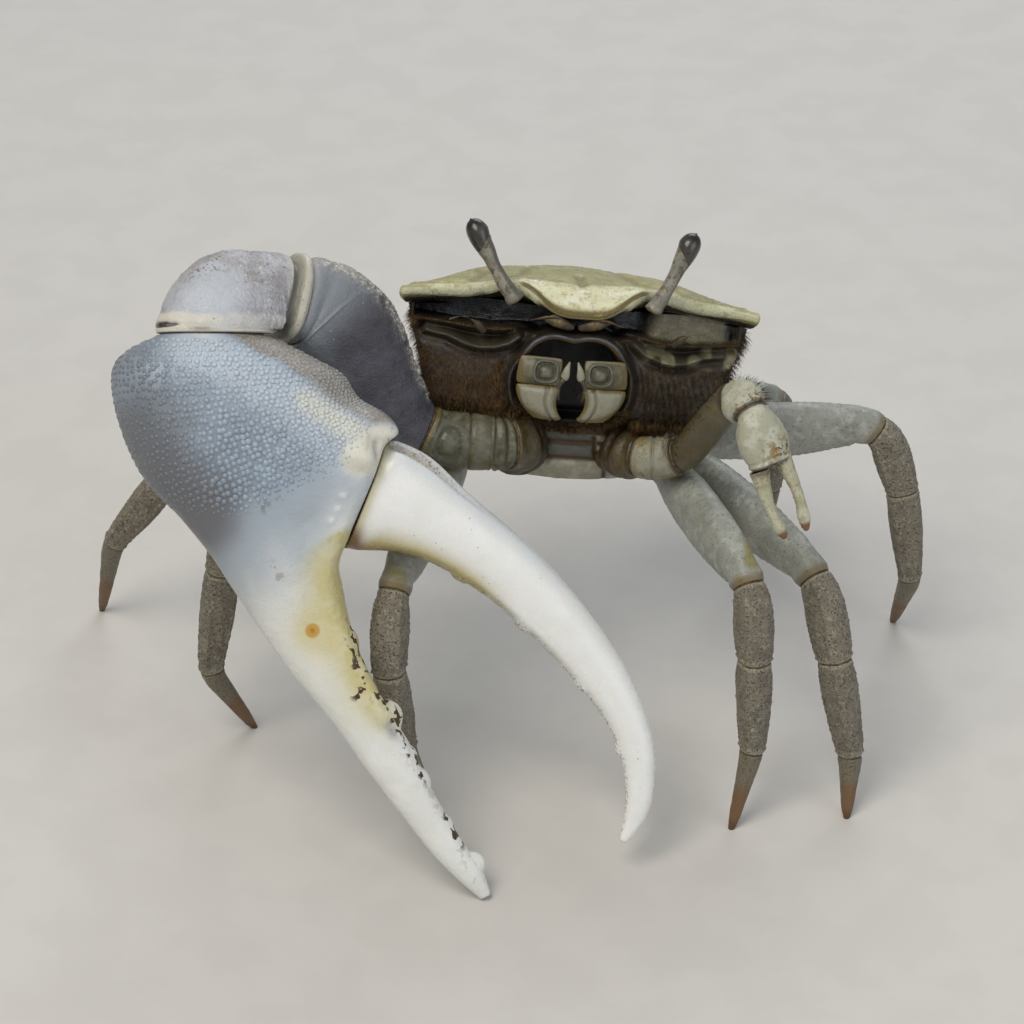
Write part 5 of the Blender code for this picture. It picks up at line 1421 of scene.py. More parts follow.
def plateFromSheet(name, grid, thickness, bulge, finish, paint, rimRows=7, **more):
    # a closed plate: the sheet, its copy one thickness below, and a rounded rim that joins their
    # edges; paint turns (row, column, rim phase from 0 on top to 1 beneath) into masks
    rows, columns = grid.shape[:2]
    normals = sheetNormals(grid)
    if np.einsum("ijk,k->", normals, more.pop("outward")) < 0:
        normals = -normals
    under = grid - normals * thickness
    r, c = np.meshgrid(np.arange(rows), np.arange(columns), indexing="ij")
    index = r * columns + c
    loop = np.concatenate([index[0, :-1], index[:-1, -1], index[-1, :0:-1], index[:0:-1, 0]])
    top, low = grid.reshape(-1, 3), under.reshape(-1, 3)
    edge, normal = top[loop], normals.reshape(-1, 3)[loop]
    tangent = unit(np.roll(edge, -1, 0) - np.roll(edge, 1, 0))
    out = unit(np.cross(tangent, normal))
    out = out * np.sign(np.einsum("ij,ij->", out, edge - edge.mean(axis=0)))
    phase = np.linspace(0, math.pi, rimRows + 2)[1:-1]
    strip = ((edge + low[loop]) / 2 + (edge - low[loop]) / 2 * np.cos(phase)[:, None, None]
             + out * (bulge * np.sin(phase))[:, None, None])
    count, around = len(top), len(loop)
    points = np.concatenate([top, low, strip.reshape(-1, 3)])
    quads = sheetFaces(rows, columns)
    lines = [loop] + [2 * count + k * around + np.arange(around) for k in range(rimRows)] + [loop + count]
    bands = [np.stack([a, np.roll(a, -1), np.roll(b, -1), b], axis=-1) for a, b in zip(lines, lines[1:])]
    # the sheet's own turning decides the winding of the other blocks
    first = points[quads[len(quads) // 2]]
    flip = np.dot(np.cross(first[1] - first[0], first[2] - first[0]), normals[rows // 2, columns // 2]) < 0
    quads = quads[:, ::-1] if flip else quads
    band = points[bands[0][0]]
    turnBand = np.dot(np.cross(band[1] - band[0], band[2] - band[0]), out[0] + normal[0]) < 0
    bands = [b[:, ::-1] if turnBand else b for b in bands]
    row = np.concatenate([r.ravel(), r.ravel(), np.tile(r.ravel()[loop], rimRows)])
    column = np.concatenate([c.ravel(), c.ravel(), np.tile(c.ravel()[loop], rimRows)])
    turn = np.concatenate([np.zeros(count), np.ones(count), np.repeat(phase / math.pi, around)])
    return makePiece(name, points, [quads, quads[:, ::-1] + count, *bands], finish,
                     paint(row / (rows - 1), column / (columns - 1), turn), **more)


def carapaceSheet(rows, columns):
    # u runs across and v from the front margin back, its rows closer together in front
    u = np.linspace(-1, 1, columns)
    v = np.linspace(0, 1, rows) ** 1.35
    start = frontEdge(u * carapacePlan["corner"])
    y = start[None, :] * (1 - v[:, None]) + carapacePlan["length"] * v[:, None]
    y = y + 0.012 * v[:, None]**6 * (1 - u[None, :]**2)
    x = u[None, :] * halfWidth(y)
    z = crownHeight(u[None, :] + 0 * y, y)
    return x, y, z


rows, columns = carapacePlan["rows"], carapacePlan["columns"]
x, y, z = carapaceSheet(rows, columns)
fromFront = y - frontEdge(x)
lobe = np.exp(-(np.abs(x) / 0.2) ** 4)
sideways = np.abs(np.linspace(-1, 1, columns))[None, :] + 0 * y
rearCorner = ramp(y / carapacePlan["length"], 0.84, 1) * ramp(sideways, 0.78, 1)
z = z + 0.010 * rearCorner
furrow = np.zeros(x.shape)
for line in carapacePlan["furrows"]:
    furrow = np.maximum(furrow, np.exp(-(alongLine(np.abs(x), y, line)[0] / 0.016) ** 2))
z = z - 0.010 * furrow
z = z + 0.007 * hill(fromFront, 0.010, 0.008) * (1 - 0.4 * lobe) - 0.006 * hill(fromFront, 0.030, 0.012)
z = z + 0.006 * hill(fromFront, 0.075, 0.018) * lobe
archOverEye = np.sin(math.pi * np.clip((np.abs(x) - 0.18) / 0.32, 0, 1))
z = z - 0.013 * (1 - lobe) * archOverEye * (1 - ramp(fromFront, 0, 0.05))
z = z + 0.008 * hill(sideways, 0.985, 0.012) * ramp(fromFront, 0.02, 0.05)
z = z + 0.010 * hill(np.hypot((np.abs(x) - 0.27) / 0.10, (y - 0.22) / 0.12), 0, 1)
z = (z + 0.008 * hill(np.hypot(x / 0.10, (y - 0.16) / 0.12), 0, 1)
     + 0.006 * hill(np.hypot(x / 0.07, (y - 0.43) / 0.08), 0, 1))
fall = carapacePlan["lobeDroop"] * np.clip(-y / carapacePlan["lobeReach"], 0, 1)**1.3
z = z + fall * (1 - np.exp(-(np.abs(x) / 0.150) ** 4)) * (1 - ramp(np.abs(x), 0.24, 0.34))
z = z - 0.024 * np.exp(-(x / 0.105) ** 4) * np.clip(1 - fromFront / 0.040, 0, 1) ** 2
tooth = ramp(np.abs(x), 0.455, 0.5) * (1 - ramp(fromFront, 0, 0.05))
x, y = x + 0.012 * np.sign(x) * tooth, y - 0.022 * tooth
local = np.stack([x, y, z], axis=-1) * crabWidth
coarse = beads(local, 0.42 * mm, 3) * ramp(np.abs(x), 0.24, 0.48) * 0.0024 * ramp(fromFront, 0.01, 0.05)
edgeRow, edgeColumn = np.meshgrid(np.linspace(0, 1, rows), np.linspace(-1, 1, columns), indexing="ij")
calm = ramp(edgeRow, 0, 0.03) * (1 - ramp(edgeRow, 0.97, 1)) * (1 - ramp(np.abs(edgeColumn), 0.97, 1))
fine = 0.0018 * beads(local, 0.24 * mm, 4) * (0.25 + 0.75 * ramp(fromFront, 0.01, 0.06))
fine = fine + coarse + 0.0012 * cloud(local, 0.9 * mm, 5)
local[..., 2] += fine * calm * crabWidth
carapaceGrid = inWorld(local / crabWidth)


def paintCarapace(row, column, turn):
    # masks by distance from the front margin, place across, and the turn round the rim
    r = np.round(row * (carapacePlan["rows"] - 1)).astype(int)
    c = np.round(column * (carapacePlan["columns"] - 1)).astype(int)
    near, ax = fromFront[r, c], np.abs(2 * column - 1) * carapacePlan["corner"]
    onTop, rim = turn < 0.01, (turn > 0.01) & (turn < 0.99)
    frontal = row < 0.01
    lobeZone = 1 - ramp(ax, 0.165, 0.195)
    middle = 1 - ramp(ax, 0.095, 0.135)
    # the rim's pale strip narrows from the eyes to the corners; under it the edge is painted dark as shade
    limit = np.interp(ax, [0.2, 0.3, 0.40, 0.47], [0.68, 0.66, 0.60, 0.45])
    outside = (1 - lobeZone) * (1 - ramp(turn, limit - 0.05, limit + 0.05)) * ramp(turn, 0.0, 0.08)
    plates = lobeZone * (1 - middle) * ramp(turn, 0.21, 0.26) * (1 - ramp(turn, 0.76, 0.84))
    lip = 0.45 * middle * ramp(turn, 0.26, 0.31) * (1 - ramp(turn, 0.38, 0.46))
    edge = 0.17 + 0.08 * middle
    front = lobeZone * (1 - ramp(near, 0.050, 0.095)) + 0.5 * (1 - lobeZone) * (1 - ramp(near, 0.006, 0.022))
    start = np.where(lobeZone > 0.5, edge, limit)
    return {"front": np.clip(front * onTop * (1 - ramp(ax, 0.42, 0.48)), 0, 1),
            "furrow": furrow[r, c] * onTop,
            "strip": rim * frontal * np.clip(outside + plates + lip, 0, 1) + 0.35 * rim * (1 - frontal),
            "ochre": lobeZone * (onTop * hill(near, 0.001, 0.0062)
                                 + rim * frontal * (1 - ramp(turn, edge - 0.04, edge + 0.04))),
            # painted shade under the rim's pale strip and over the underside of the plate
            "under": np.clip((1 - 0.7 * ramp(ax, 0.40, 0.47)) * frontal * rim * (1 - outside - plates - lip)
                             * ramp(turn, start, start + 0.06)
                             + (turn > 0.9) * (1 - 0.7 * ramp(row, 0.2, 0.5)), 0, 1)}


plateThickness = carapacePlan["thickness"] - 0.020 * np.exp(-(x / 0.110) ** 4) - 0.022 * rearCorner
plateThickness = plateThickness * crabWidth
plateFromSheet("carapace_shell", carapaceGrid, plateThickness[..., None], carapacePlan["bulge"] * crabWidth,
               carapaceFinish, paintCarapace, rimRows=17, outward=bodyAxes[:, 2], slot="carapace",
               nodes=("carapace",))
print("carapace")


# face, sides and sternum: one closed hull of outlines, with the face's relief pressed into it

hullPlan = {
    # height, half width in front and behind, front edge at the midline and at the side, rear edge
    "levels": ((-0.050, 0.490, 0.222, -0.060, 0.014, 0.606), (-0.128, 0.467, 0.232, -0.062, 0.010, 0.628),
               (-0.180, 0.450, 0.232, -0.050, 0.014, 0.628), (-0.260, 0.430, 0.222, -0.046, 0.016, 0.615),
               (-0.325, 0.395, 0.205, -0.036, 0.028, 0.590), (-0.355, 0.335, 0.195, 0.020, 0.110, 0.580),
               (-0.450, 0.268, 0.180, 0.055, 0.160, 0.560), (-0.505, 0.225, 0.160, 0.080, 0.170, 0.540),
               (-0.535, 0.170, 0.130, 0.110, 0.180, 0.520)),
    "columns": (290, 50, 40), "rows": 176,
    # beaded ridge under each orbit, and the smooth curved ridge below it: |x| and z
    "beadedRidge": ((0.150, -0.086), (0.24, -0.093), (0.34, -0.090), (0.42, -0.086), (0.470, -0.084)),
    "curvedRidge": ((0.430, -0.112), (0.367, -0.120), (0.322, -0.140), (0.279, -0.148), (0.236, -0.144),
                    (0.195, -0.130), (0.168, -0.110)),
    # the mouth frame's inner edge, as angle in degrees and distance from its middle
    "mouthMiddle": (-0.012, -0.235),
    "mouth": ((-180, 0.165), (-160, 0.163), (-140, 0.156), (-120, 0.145), (-100, 0.134), (-90, 0.131),
              (-80, 0.131), (-60, 0.140), (-40, 0.152), (-20, 0.160), (0, 0.161), (15, 0.160), (26, 0.154),
              (34, 0.153), (43, 0.154), (56, 0.149), (70, 0.137), (82, 0.124), (90.8, 0.118),
              (99, 0.124), (111, 0.137), (124, 0.148), (137, 0.152), (147, 0.149), (155, 0.150),
              (167, 0.160), (180, 0.165)),
}
# face: dark brown chitin, mostly under short pile; smooth bluish frame round the mouth
faceFinish = shellFinish("darkFace", {
    "ground": "#211910",
    "tints": (
        mottled(1.2, "#332818", (0.42, 0.62), 0.8),
        painted("pile", "#251b0f", 0.9),
        mottled(0.20, "#4f3b1e", (0.48, 0.66), 0.6, detail=2.0, squash=(1, 1, 0.35), only=painted("pile")),
        painted("olive", "#3d3c2e", 0.85),
        mottled(0.5, "#a09a72", (0.50, 0.64), 0.8, only=painted("mud")),
        painted("mud", "#7d7860", 0.8),
        mottled(0.11, "#37301f", (0.54, 0.64), 0.5, detail=2.0, only=painted("mud")),
        # near black in the orbits, and in the slot under the front lobe as painted shade
        painted("black", "#0d0c0c", 1.0),
        mottled(1.3, "#49536a", (0.50, 0.66), 0.8, only=painted("sheen")),
        painted("frame", "#5a6068", 0.8),
        mottled(0.8, "#2f2c25", (0.5, 0.66), 0.6, only=painted("frame")),
        painted("ochre", "#7d6228", 0.9),
        painted("sternum", "#8f8b78", 1.0),
        mottled(0.9, "#a8a592", (0.44, 0.62), 0.8, only=painted("sternum")),
        painted("greyPlate", "#4a4b45", 0.9),
        # painted shade: dark brown in the sunk seams of the breastplates and in a band under the mouthparts
        painted("seam", "#4a3417", 0.95),
        painted("side", "#8b8a6a", 0.8),
        # painted shade: the mouth's opening behind the plates is near black
        painted("cavityShade", "#0b0907", 1.0),
    ),
    "relief": (bumps(0.4, 0.02), bumps(0.10, 0.012, detail=2.0)),
    "gloss": (0.50, 0.10),
    "shines": (painted("black", rough=0.12), painted("frame", rough=0.30), painted("pile", rough=0.75)),
    "shader": {"IOR": 1.5},
})


def faceRelief(x, z):
    # height of the face before its plain outline, in carapace widths, with the places to paint
    ax = np.abs(x + 0.004)
    z = z + 0.012 * ramp(x, 0.15, 0.35)
    beadGap = alongLine(ax, z, hullPlan["beadedRidge"])[0]
    ridgeZ = np.interp(ax, [p[0] for p in hullPlan["beadedRidge"]], [p[1] for p in hullPlan["beadedRidge"]])
    orbit = ramp(z, ridgeZ + 0.003, ridgeZ + 0.014) * ramp(ax, 0.10, 0.20) * (1 - ramp(ax, 0.458, 0.470))
    muddy = ramp(x - 0.6 * (z + 0.07), 0.16, 0.24)
    beadRow = 0.5 + 0.5 * np.cos(2 * math.pi * ax / 0.0105)
    bead = hill(beadGap, 0, 0.0062) * ramp(ax, 0.16, 0.19)
    curveGap = alongLine(ax, z, hullPlan["curvedRidge"])[0]
    curved = hill(curveGap, 0, 0.010)
    mx, mz = x - hullPlan["mouthMiddle"][0], z - hullPlan["mouthMiddle"][1]
    angle = np.degrees(np.arctan2(mz, mx))
    table = np.array(hullPlan["mouth"])
    edge = sum(np.interp((angle + nudge + 180) % 360 - 180, *table.T) for nudge in (-4, -2, 0, 2, 4)) / 5
    outside = np.hypot(mx, mz) - edge
    inMouth = 1 - ramp(outside, -0.012, 0.002)
    below = ramp(-mz, 0.08, 0.13)
    rimHill = hill(outside, 0.012, 0.011)
    bulge = hill(np.hypot((ax - 0.31) / 0.13, (z + 0.245) / 0.075), 0, 1)
    height = (0.013 * bead * (0.75 + 0.25 * beadRow) - 0.026 * np.exp(-((z - ridgeZ + 0.022) / 0.011) ** 2)
              * ramp(ax, 0.19, 0.22) * (1 - ramp(ax, 0.44, 0.47)))
    height = height + 0.020 * curved - 0.014 * hill(curveGap, 0.022, 0.012) * ramp(z, -0.22, -0.17)
    height = height + 0.030 * bulge
    height = height - orbit * (0.085 - 0.048 * muddy)
    nose = ramp(outside, 0.022, 0.034) * ramp(z, -0.100, -0.085) * (1 - ramp(ax, 0.10, 0.20))
    height = height - 0.070 * nose
    height = height + 0.008 * hill(outside, 0.030, 0.004) * ramp(mz, 0.09, 0.12)
    height = (height + (0.022 - 0.010 * below) * rimHill * (1 - 0.5 * orbit)
              - 0.012 * hill(outside, 0.040, 0.012))
    height = height * (1 - inMouth) - 0.100 * inMouth
    ribs = ramp(x, 0.17, 0.22) * ramp(-z, 0.17, 0.20) * (1 - ramp(-z, 0.31, 0.34))
    height = height + 0.002 * ribs * np.sin(2 * math.pi * (x + 0.25 * z) / 0.020)
    return height, {
        "orbit": orbit, "muddy": muddy, "bead": bead * (0.6 + 0.4 * beadRow), "curved": curved,
        "inMouth": inMouth, "rim": rimHill * (1 - below), "outside": outside, "nose": nose, "ribs": ribs,
        "arch": ramp(mz, 0.06, 0.11) * ramp(outside, 0.005, 0.008) * (1 - ramp(outside, 0.014, 0.019)),
        "lip": hill(outside, 0.003, 0.0045) * (1 - below)}


def hullSurface():
    # each level's outline in three runs, front, side and rear, with its sizes read through the
    # levels; the top rows blend into the carapace's own height, so the hull meets its underside
    table = hullPlan["levels"]
    rows = hullPlan["rows"]
    q = np.linspace(0, 1, rows)
    height = np.interp(q, [0, 0.82, 1], [-0.050, -0.360, -0.535])
    order = [tuple([-level[0], *level[1:]]) for level in table]
    values = throughStations(order, -height)
    frontHalf, rearHalf, frontMid, frontSide, rear = (values[:, i:i + 1] for i in range(5))
    nFront, nSide, nRear = hullPlan["columns"]
    across = np.linspace(-1, 1, nFront)[None]
    across = across * (0.9 + 0.1 * across**2)
    front = across * frontHalf, frontMid + (frontSide - frontMid) * across**2
    back = np.linspace(0, 1, nSide + 1)[None, 1:]
    sideX = frontHalf - (frontHalf - rearHalf) * back**1.3
    sideY = frontSide + (rear - 0.04 - frontSide) * back
    end = np.linspace(1, -1, nRear + 2)[None, 1:-1]
    x = np.concatenate([front[0], sideX, end * rearHalf, -sideX[:, ::-1]], axis=1)
    y = np.concatenate([front[1], sideY, rear - 0.04 * end**4, sideY[:, ::-1]], axis=1)
    level = np.broadcast_to(height[:, None], x.shape)
    drop = -0.10 * np.clip(y / carapacePlan["length"], 0, 1)**1.6 * np.clip(1 + (level + 0.1) / 0.3, 0, None)
    roof = crownHeight(x / halfWidth(y), y) - 0.048
    share = 1 - ramp(q, 0.0, 0.07)[:, None]
    z = (1 - share) * (level + drop) + share * roof
    return x, y, z, level, nFront


x, y, z, level, nFront = hullSurface()
facing = np.zeros(x.shape)
facing[:, :nFront] = 1
height, marks = faceRelief(x, level)
height = height * facing * (1 - ramp(-level, 0.325, 0.350))
noiseAt = np.stack([x, y, z], axis=-1) * crabWidth
height = height + 0.0020 * cloud(noiseAt, 0.5 * mm, 3) * facing
# breastplates: raised plates with sunk seams between them, below the face
breast = ramp(-level, 0.385, 0.400) * facing
seamLines = (((-0.118, -0.467), (-0.128, -0.535)), ((0.118, -0.467), (0.128, -0.535)),
             ((-0.20, -0.467), (0.20, -0.467)), ((-0.084, -0.405), (-0.090, -0.467)),
             ((0.084, -0.405), (0.090, -0.467)), ((-0.10, -0.418), (0.10, -0.418)))
seam = np.zeros(x.shape)
for line in seamLines:
    seam = np.maximum(seam, hill(alongLine(x, level, line)[0], 0, 0.0075))
height = height - 0.012 * seam * breast + 0.006 * breast
y = y - height
hullSideways = 1 - facing
x = x + hullSideways * np.sign(x) * 0.004 * cloud(noiseAt, 0.8 * mm, 9)
hullRings = inWorld(np.stack([x, y, z], axis=-1))
hullX, hullLevel, hullFacing = x, level, facing      # kept for the hair
pileSide = facing * ramp(np.abs(x), 0.185, 0.215) * ramp(-level, 0.150, 0.185)
pileSide = pileSide * (1 - ramp(-level, 0.318, 0.335)) * ramp(marks["outside"], 0.022, 0.040)
pileTop = facing * ramp(np.abs(x), 0.445, 0.455) * ramp(-level, 0.06, 0.10) * (1 - ramp(-level, 0.16, 0.18))
upperFace = facing * (1 - ramp(-level, 0.15, 0.18)) * ramp(-level, 0.098, 0.108)
sideWall = hullSideways * (1 - ramp(-level, 0.31, 0.41))
orbitHole = hill(np.hypot((x - 0.445) / 0.020, (level + 0.074) / 0.016), 0, 1)
hullMasks = {
    "pile": np.clip(pileSide + pileTop + 0.6 * sideWall * ramp(cloud(noiseAt, 2 * mm, 3), 0, 0.5), 0, 1),
    "olive": np.clip(marks["curved"] * 0.9 + 0.35 * upperFace * ramp(cloud(noiseAt, 1.1 * mm, 6), -0.2, 0.5)
                     + 0.5 * marks["ribs"] * ramp(cloud(noiseAt, 1.5 * mm, 8), -0.1, 0.4), 0, 1) * facing,
    "mud": np.clip(marks["orbit"] * marks["muddy"] * (1 - orbitHole)
                   + 0.9 * ramp(x, 0.17, 0.22) * upperFace * ramp(cloud(noiseAt, 0.9 * mm, 16), -0.3, 0.3),
                   0, 1) * facing,
    # near black in the orbits, and in the slot under the front lobe as painted shade
    "black": np.clip(marks["orbit"] * (1 - marks["muddy"] * (1 - orbitHole)) + marks["nose"], 0, 1) * facing
    * (1 - marks["inMouth"]),
    "sheen": facing * marks["orbit"] * hill(np.hypot((x + 0.385) / 0.05, (level + 0.066) / 0.02), 0, 1),
    "frame": np.clip(0.85 * marks["arch"], 0, 1) * facing,
    "ochre": np.clip(marks["lip"] * (0.12 + 0.88 * ramp(level, -0.17, -0.13)) + marks["bead"] * 0.45,
                     0, 1) * facing,
    # painted shade: the mouth's opening behind the plates is near black
    "cavityShade": marks["inMouth"] * facing * ramp(level, -0.37, -0.36),
    # the pale sternum stops short at its sides, so the dark ground there stands as painted shade
    "sternum": np.clip(breast * (1 - 0.8 * ramp(np.abs(x), 0.10, 0.14) * ramp(level, -0.47, -0.45))
                       + hullSideways * ramp(-level, 0.31, 0.41), 0, 1),
    "greyPlate": breast * (1 - ramp(np.abs(x), 0.080, 0.092)) * ramp(level, -0.468, -0.462),
    # painted shade in the sunk seams and in the band under the mouthparts
    "seam": np.clip(seam * breast + facing * ramp(-level, 0.335, 0.350) * (1 - breast), 0, 1),
    "side": sideWall * (0.62 + 0.18 * ramp(cloud(noiseAt, 2.2 * mm, 13), -0.8, 0.8)),
}
hullRows, hullColumns = x.shape
hullPoles = inWorld([(0, 0.27, -0.045), (0, 0.30, -0.545)])
makePiece("face_and_breast", np.concatenate([hullRings.reshape(-1, 3), hullPoles]),
          ringFaces(hullRows, hullColumns), faceFinish,
          {key: np.concatenate([mask.ravel(), [0, 0]]) for key, mask in hullMasks.items()},
          slot="body", nodes=("thorax",))
print("face and breast")


# eyes

eyePlan = {
    "root": (0.197, -0.120, 0.004),
    "tips": {"left": (0.300, -0.095, 0.226), "right": (-0.339, -0.110, 0.218)},
    "stalk": ((0, 0.026, 0.026), (0.12, 0.024, 0.024), (0.35, 0.020, 0.021), (0.75, 0.0205, 0.0215),
              (0.93, 0.0255, 0.0255), (1, 0.0265, 0.0265)),
    "cornea": ((0, 0.0265, 0.0265), (0.20, 0.0300, 0.0300), (0.45, 0.0320, 0.0320), (0.65, 0.0298, 0.0298),
               (0.80, 0.0248, 0.0248), (0.90, 0.0188, 0.0188), (0.96, 0.0125, 0.0125), (1, 0.0045, 0.0045)),
    "split": 0.70, "slant": 0.45,     # how far the cornea's edge falls on its outer side, mm
}
# eyestalk: thin grey-olive skin, blotched purple-brown
stalkFinish = shellFinish("mottledStalk", {
    "ground": "#77756a",
    "tints": (
        mottled(0.9, "#92907f", (0.42, 0.62), 0.8),
        mottled(0.45, "#4d4644", (0.54, 0.62), 0.8, detail=2.0),
        mottled(0.30, "#7a6234", (0.58, 0.66), 0.8, detail=2.0),
        painted("ochre", "#6f5c35", 0.8),
        painted("dark", "#4a463e", 0.7),
    ),
    "relief": (bumps(0.2, 0.012),),
    "gloss": (0.38, 0.08),
    "shader": {"IOR": 1.48, "Subsurface Weight": 0.08, "Subsurface Scale": 0.0005},
})
# cornea: smooth, wet-looking, slate grey with a nearly black tip and fine facets
corneaFinish = shellFinish("darkCornea", {
    "ground": "#34332d",
    "tints": (
        mottled(0.7, "#46453c", (0.42, 0.62), 0.7),
        painted("tip", "#120f0d", 0.96),
        painted("ochre", "#544a30", 0.8),
    ),
    "relief": (bumps(0.05, 0.002, (0.1, 0.6), kind="specks"),),
    "gloss": (0.24, 0.04),
    "shader": {"IOR": 1.5, "Coat Weight": 0.25, "Coat Roughness": 0.10},
})
forwardFace = np.array((0.0, -1.0, 0.0))


def slantEdge(part, way, sign, share):
    # lowers each point by how far out it lies, so that the cornea's edge falls on its outer side
    outward = (part["rings"] - part["rings"].mean(axis=1, keepdims=True)) @ bodyAxes[:, 0]
    outer = np.clip(outward * sign / (0.0265 * crabWidth), -1, 1)
    part["rings"] = part["rings"] - (eyePlan["slant"] * mm * outer * share)[..., None] * way


def runAlong(path):
    # a path as a limb's run: its points, and the ways it starts and ends
    return path, unit(path[1] - path[0]), unit(path[-1] - path[-2])


for side, tip in eyePlan["tips"].items():
    sign = 1 if side == "left" else -1
    root = inWorld((sign * eyePlan["root"][0], *eyePlan["root"][1:]))
    tip = inWorld(tip)
    way = unit(tip - root)
    split = root + (tip - root) * eyePlan["split"]
    bow = 0.010 * crabWidth * np.cross(way, forwardFace) * sign
    t = np.linspace(0, 1, 9)[:, None]
    path = root * (1 - t) + split * t + np.sin(math.pi * t) * bow * 0.6
    stalk = limb((path, way, way), eyePlan["stalk"], forwardFace, 90, 72, power=2.0, trim=(0, 0))
    slantEdge(stalk, way, sign, ramp(stalk["along"], 0.75, 1))
    a = stalk["along"]
    relieve(stalk, (0.02 * cloud(stalk["rings"], 0.4 * mm, 2) + 0.05 * hill(a, 0.985, 0.02)
                    - 0.05 * hill(a, 0.12, 0.04)) * mm)
    closeLimb(stalk, roundEnd, roundEnd)
    a = stalk["along"]
    limbPiece("eyestalk_" + side + "_skin", stalk, stalkFinish,
              {"ochre": 0.6 * hill(a, 1.0, 0.03) + 0.4 * hill(a, 0.0, 0.04),
               "dark": ramp(np.cos(stalk["around"] + 1.4), 0.5, 1)},
              slot="stalk", nodes=("eyestalk_" + side,))
    cap = limb((np.array((split, tip)), way, way), eyePlan["cornea"], forwardFace, 60, 72, power=2.0,
               trim=(-0.1 * mm, 0))
    slantEdge(cap, way, sign, 1 - ramp(cap["along"], 0, 0.7))
    closeLimb(cap, roundEnd, ((0.6, 0.05), (0.3, 0.07)))
    a = cap["along"]
    limbPiece("cornea_" + side + "_skin", cap, corneaFinish,
              {"tip": ramp(a, 0.50, 0.95), "ochre": 0.8 * hill(a, 0.0, 0.05)},
              slot="cornea", nodes=("cornea_" + side,))

# feelers: the pair beside each eye, a stout base and a fine ringed whip
feelerPlan = {"path": ((0.270, 0.030, -0.120), (0.275, -0.046, -0.098), (0.375, -0.125, -0.065)),
              "section": ((0, 0.0115, 0.0115), (0.22, 0.0105, 0.0105), (0.30, 0.0055, 0.0055),
                          (1, 0.0020, 0.0020))}
# feelers: thin dark brown cuticle
feelerFinish = shellFinish("brownFeeler", {
    "ground": "#3b3222",
    "tints": (
        mottled(0.3, "#4d4330", (0.42, 0.62), 0.8),
        painted("ochre", "#6b5a30", 0.6),
    ),
    "relief": (bumps(0.1, 0.006),),
    "gloss": (0.45, 0.08),
    "shader": {"IOR": 1.48},
})
for side, sign in (("left", 1), ("right", -1)):
    seat, tip = (inWorld((sign * p[0], p[1], p[2])) for p in feelerPlan["path"][1:])
    t = np.linspace(0, 1, 9)[:, None]
    path = seat * (1 - t) + tip * t + np.sin(math.pi * t) * bodyAxes[:, 2] * 0.5 * mm
    whip = limb(runAlong(path), feelerPlan["section"], forwardFace, 150, 28, power=2.0, trim=(0, 0))
    a = whip["along"]
    relieve(whip, 0.02 * np.sin(2 * math.pi * a * 34) * ramp(a, 0.33, 0.38) * mm)
    closeLimb(whip, roundEnd, ((0.5, 0.05),))
    a = whip["along"]
    limbPiece("antenna_" + side + "_whip", whip, feelerFinish, {"ochre": 0.7 * ramp(a, 0.3, 0.4)},
              slot="stalk", nodes=("antenna_" + side,))
print("eyes and feelers")


mouthPlan = {
    # upper and lower edge, then the outer edge's half width and height as an ellipse
    "upper": {"top": -0.157, "foot": -0.2345, "half": 0.158, "deep": 0.25},
    "lower": {"top": -0.2385, "foot": -0.335, "half": 0.158, "deep": 0.125},
    "inner": 0.034, "middle": (-0.012, -0.235), "front": -0.082,
}

# antennules: a pair of short stout bases under the front lobe, each with a thin folded whip
for side, sign in (("left", 1), ("right", -1)):
    t = np.linspace(0, 1, 9)
    for kind, spine, girth in (
            ("base", ((0, 0.014, -0.066, -0.068), (0.5, 0.048, -0.078, -0.058), (1, 0.090, -0.072, -0.050)),
             ((0, 0.011, 0.011), (0.3, 0.015, 0.014), (0.7, 0.014, 0.013), (1, 0.006, 0.006))),
            ("whip", ((0, 0.030, -0.072, -0.056), (0.4, 0.062, -0.088, -0.040), (1, 0.128, -0.070, -0.056)),
             ((0, 0.0055, 0.0055), (0.5, 0.0045, 0.0045), (1, 0.0020, 0.0020)))):
        path = inWorld(throughStations(spine, t) * (sign, 1, 1) + (mouthPlan["middle"][0], 0, 0))
        stalk = limb(runAlong(path), girth, forwardFace, 60, 32, power=2.0, trim=(0, 0))
        relieve(stalk, (0.03 * cloud(stalk["rings"], 0.3 * mm, 5)
                        - 0.04 * hill(stalk["along"], 0.55, 0.05)) * mm)
        closeLimb(stalk, roundEnd, roundEnd)
        limbPiece("antennule_" + kind + "_" + side, stalk, feelerFinish,
                  {"ochre": 0.9 * hill(stalk["along"], 0.55, 0.2)}, slot="stalk")


# mouthparts: two thin plates a side, each crowned, with the palps' pale tips between them

def bossRing(s, t):
    # distance from a plate's boss, in its own size: the cube root of the summed cubes
    return (np.abs((s + 0.28) / 0.40) ** 3 + np.abs(t / 0.58) ** 3) ** (1 / 3)


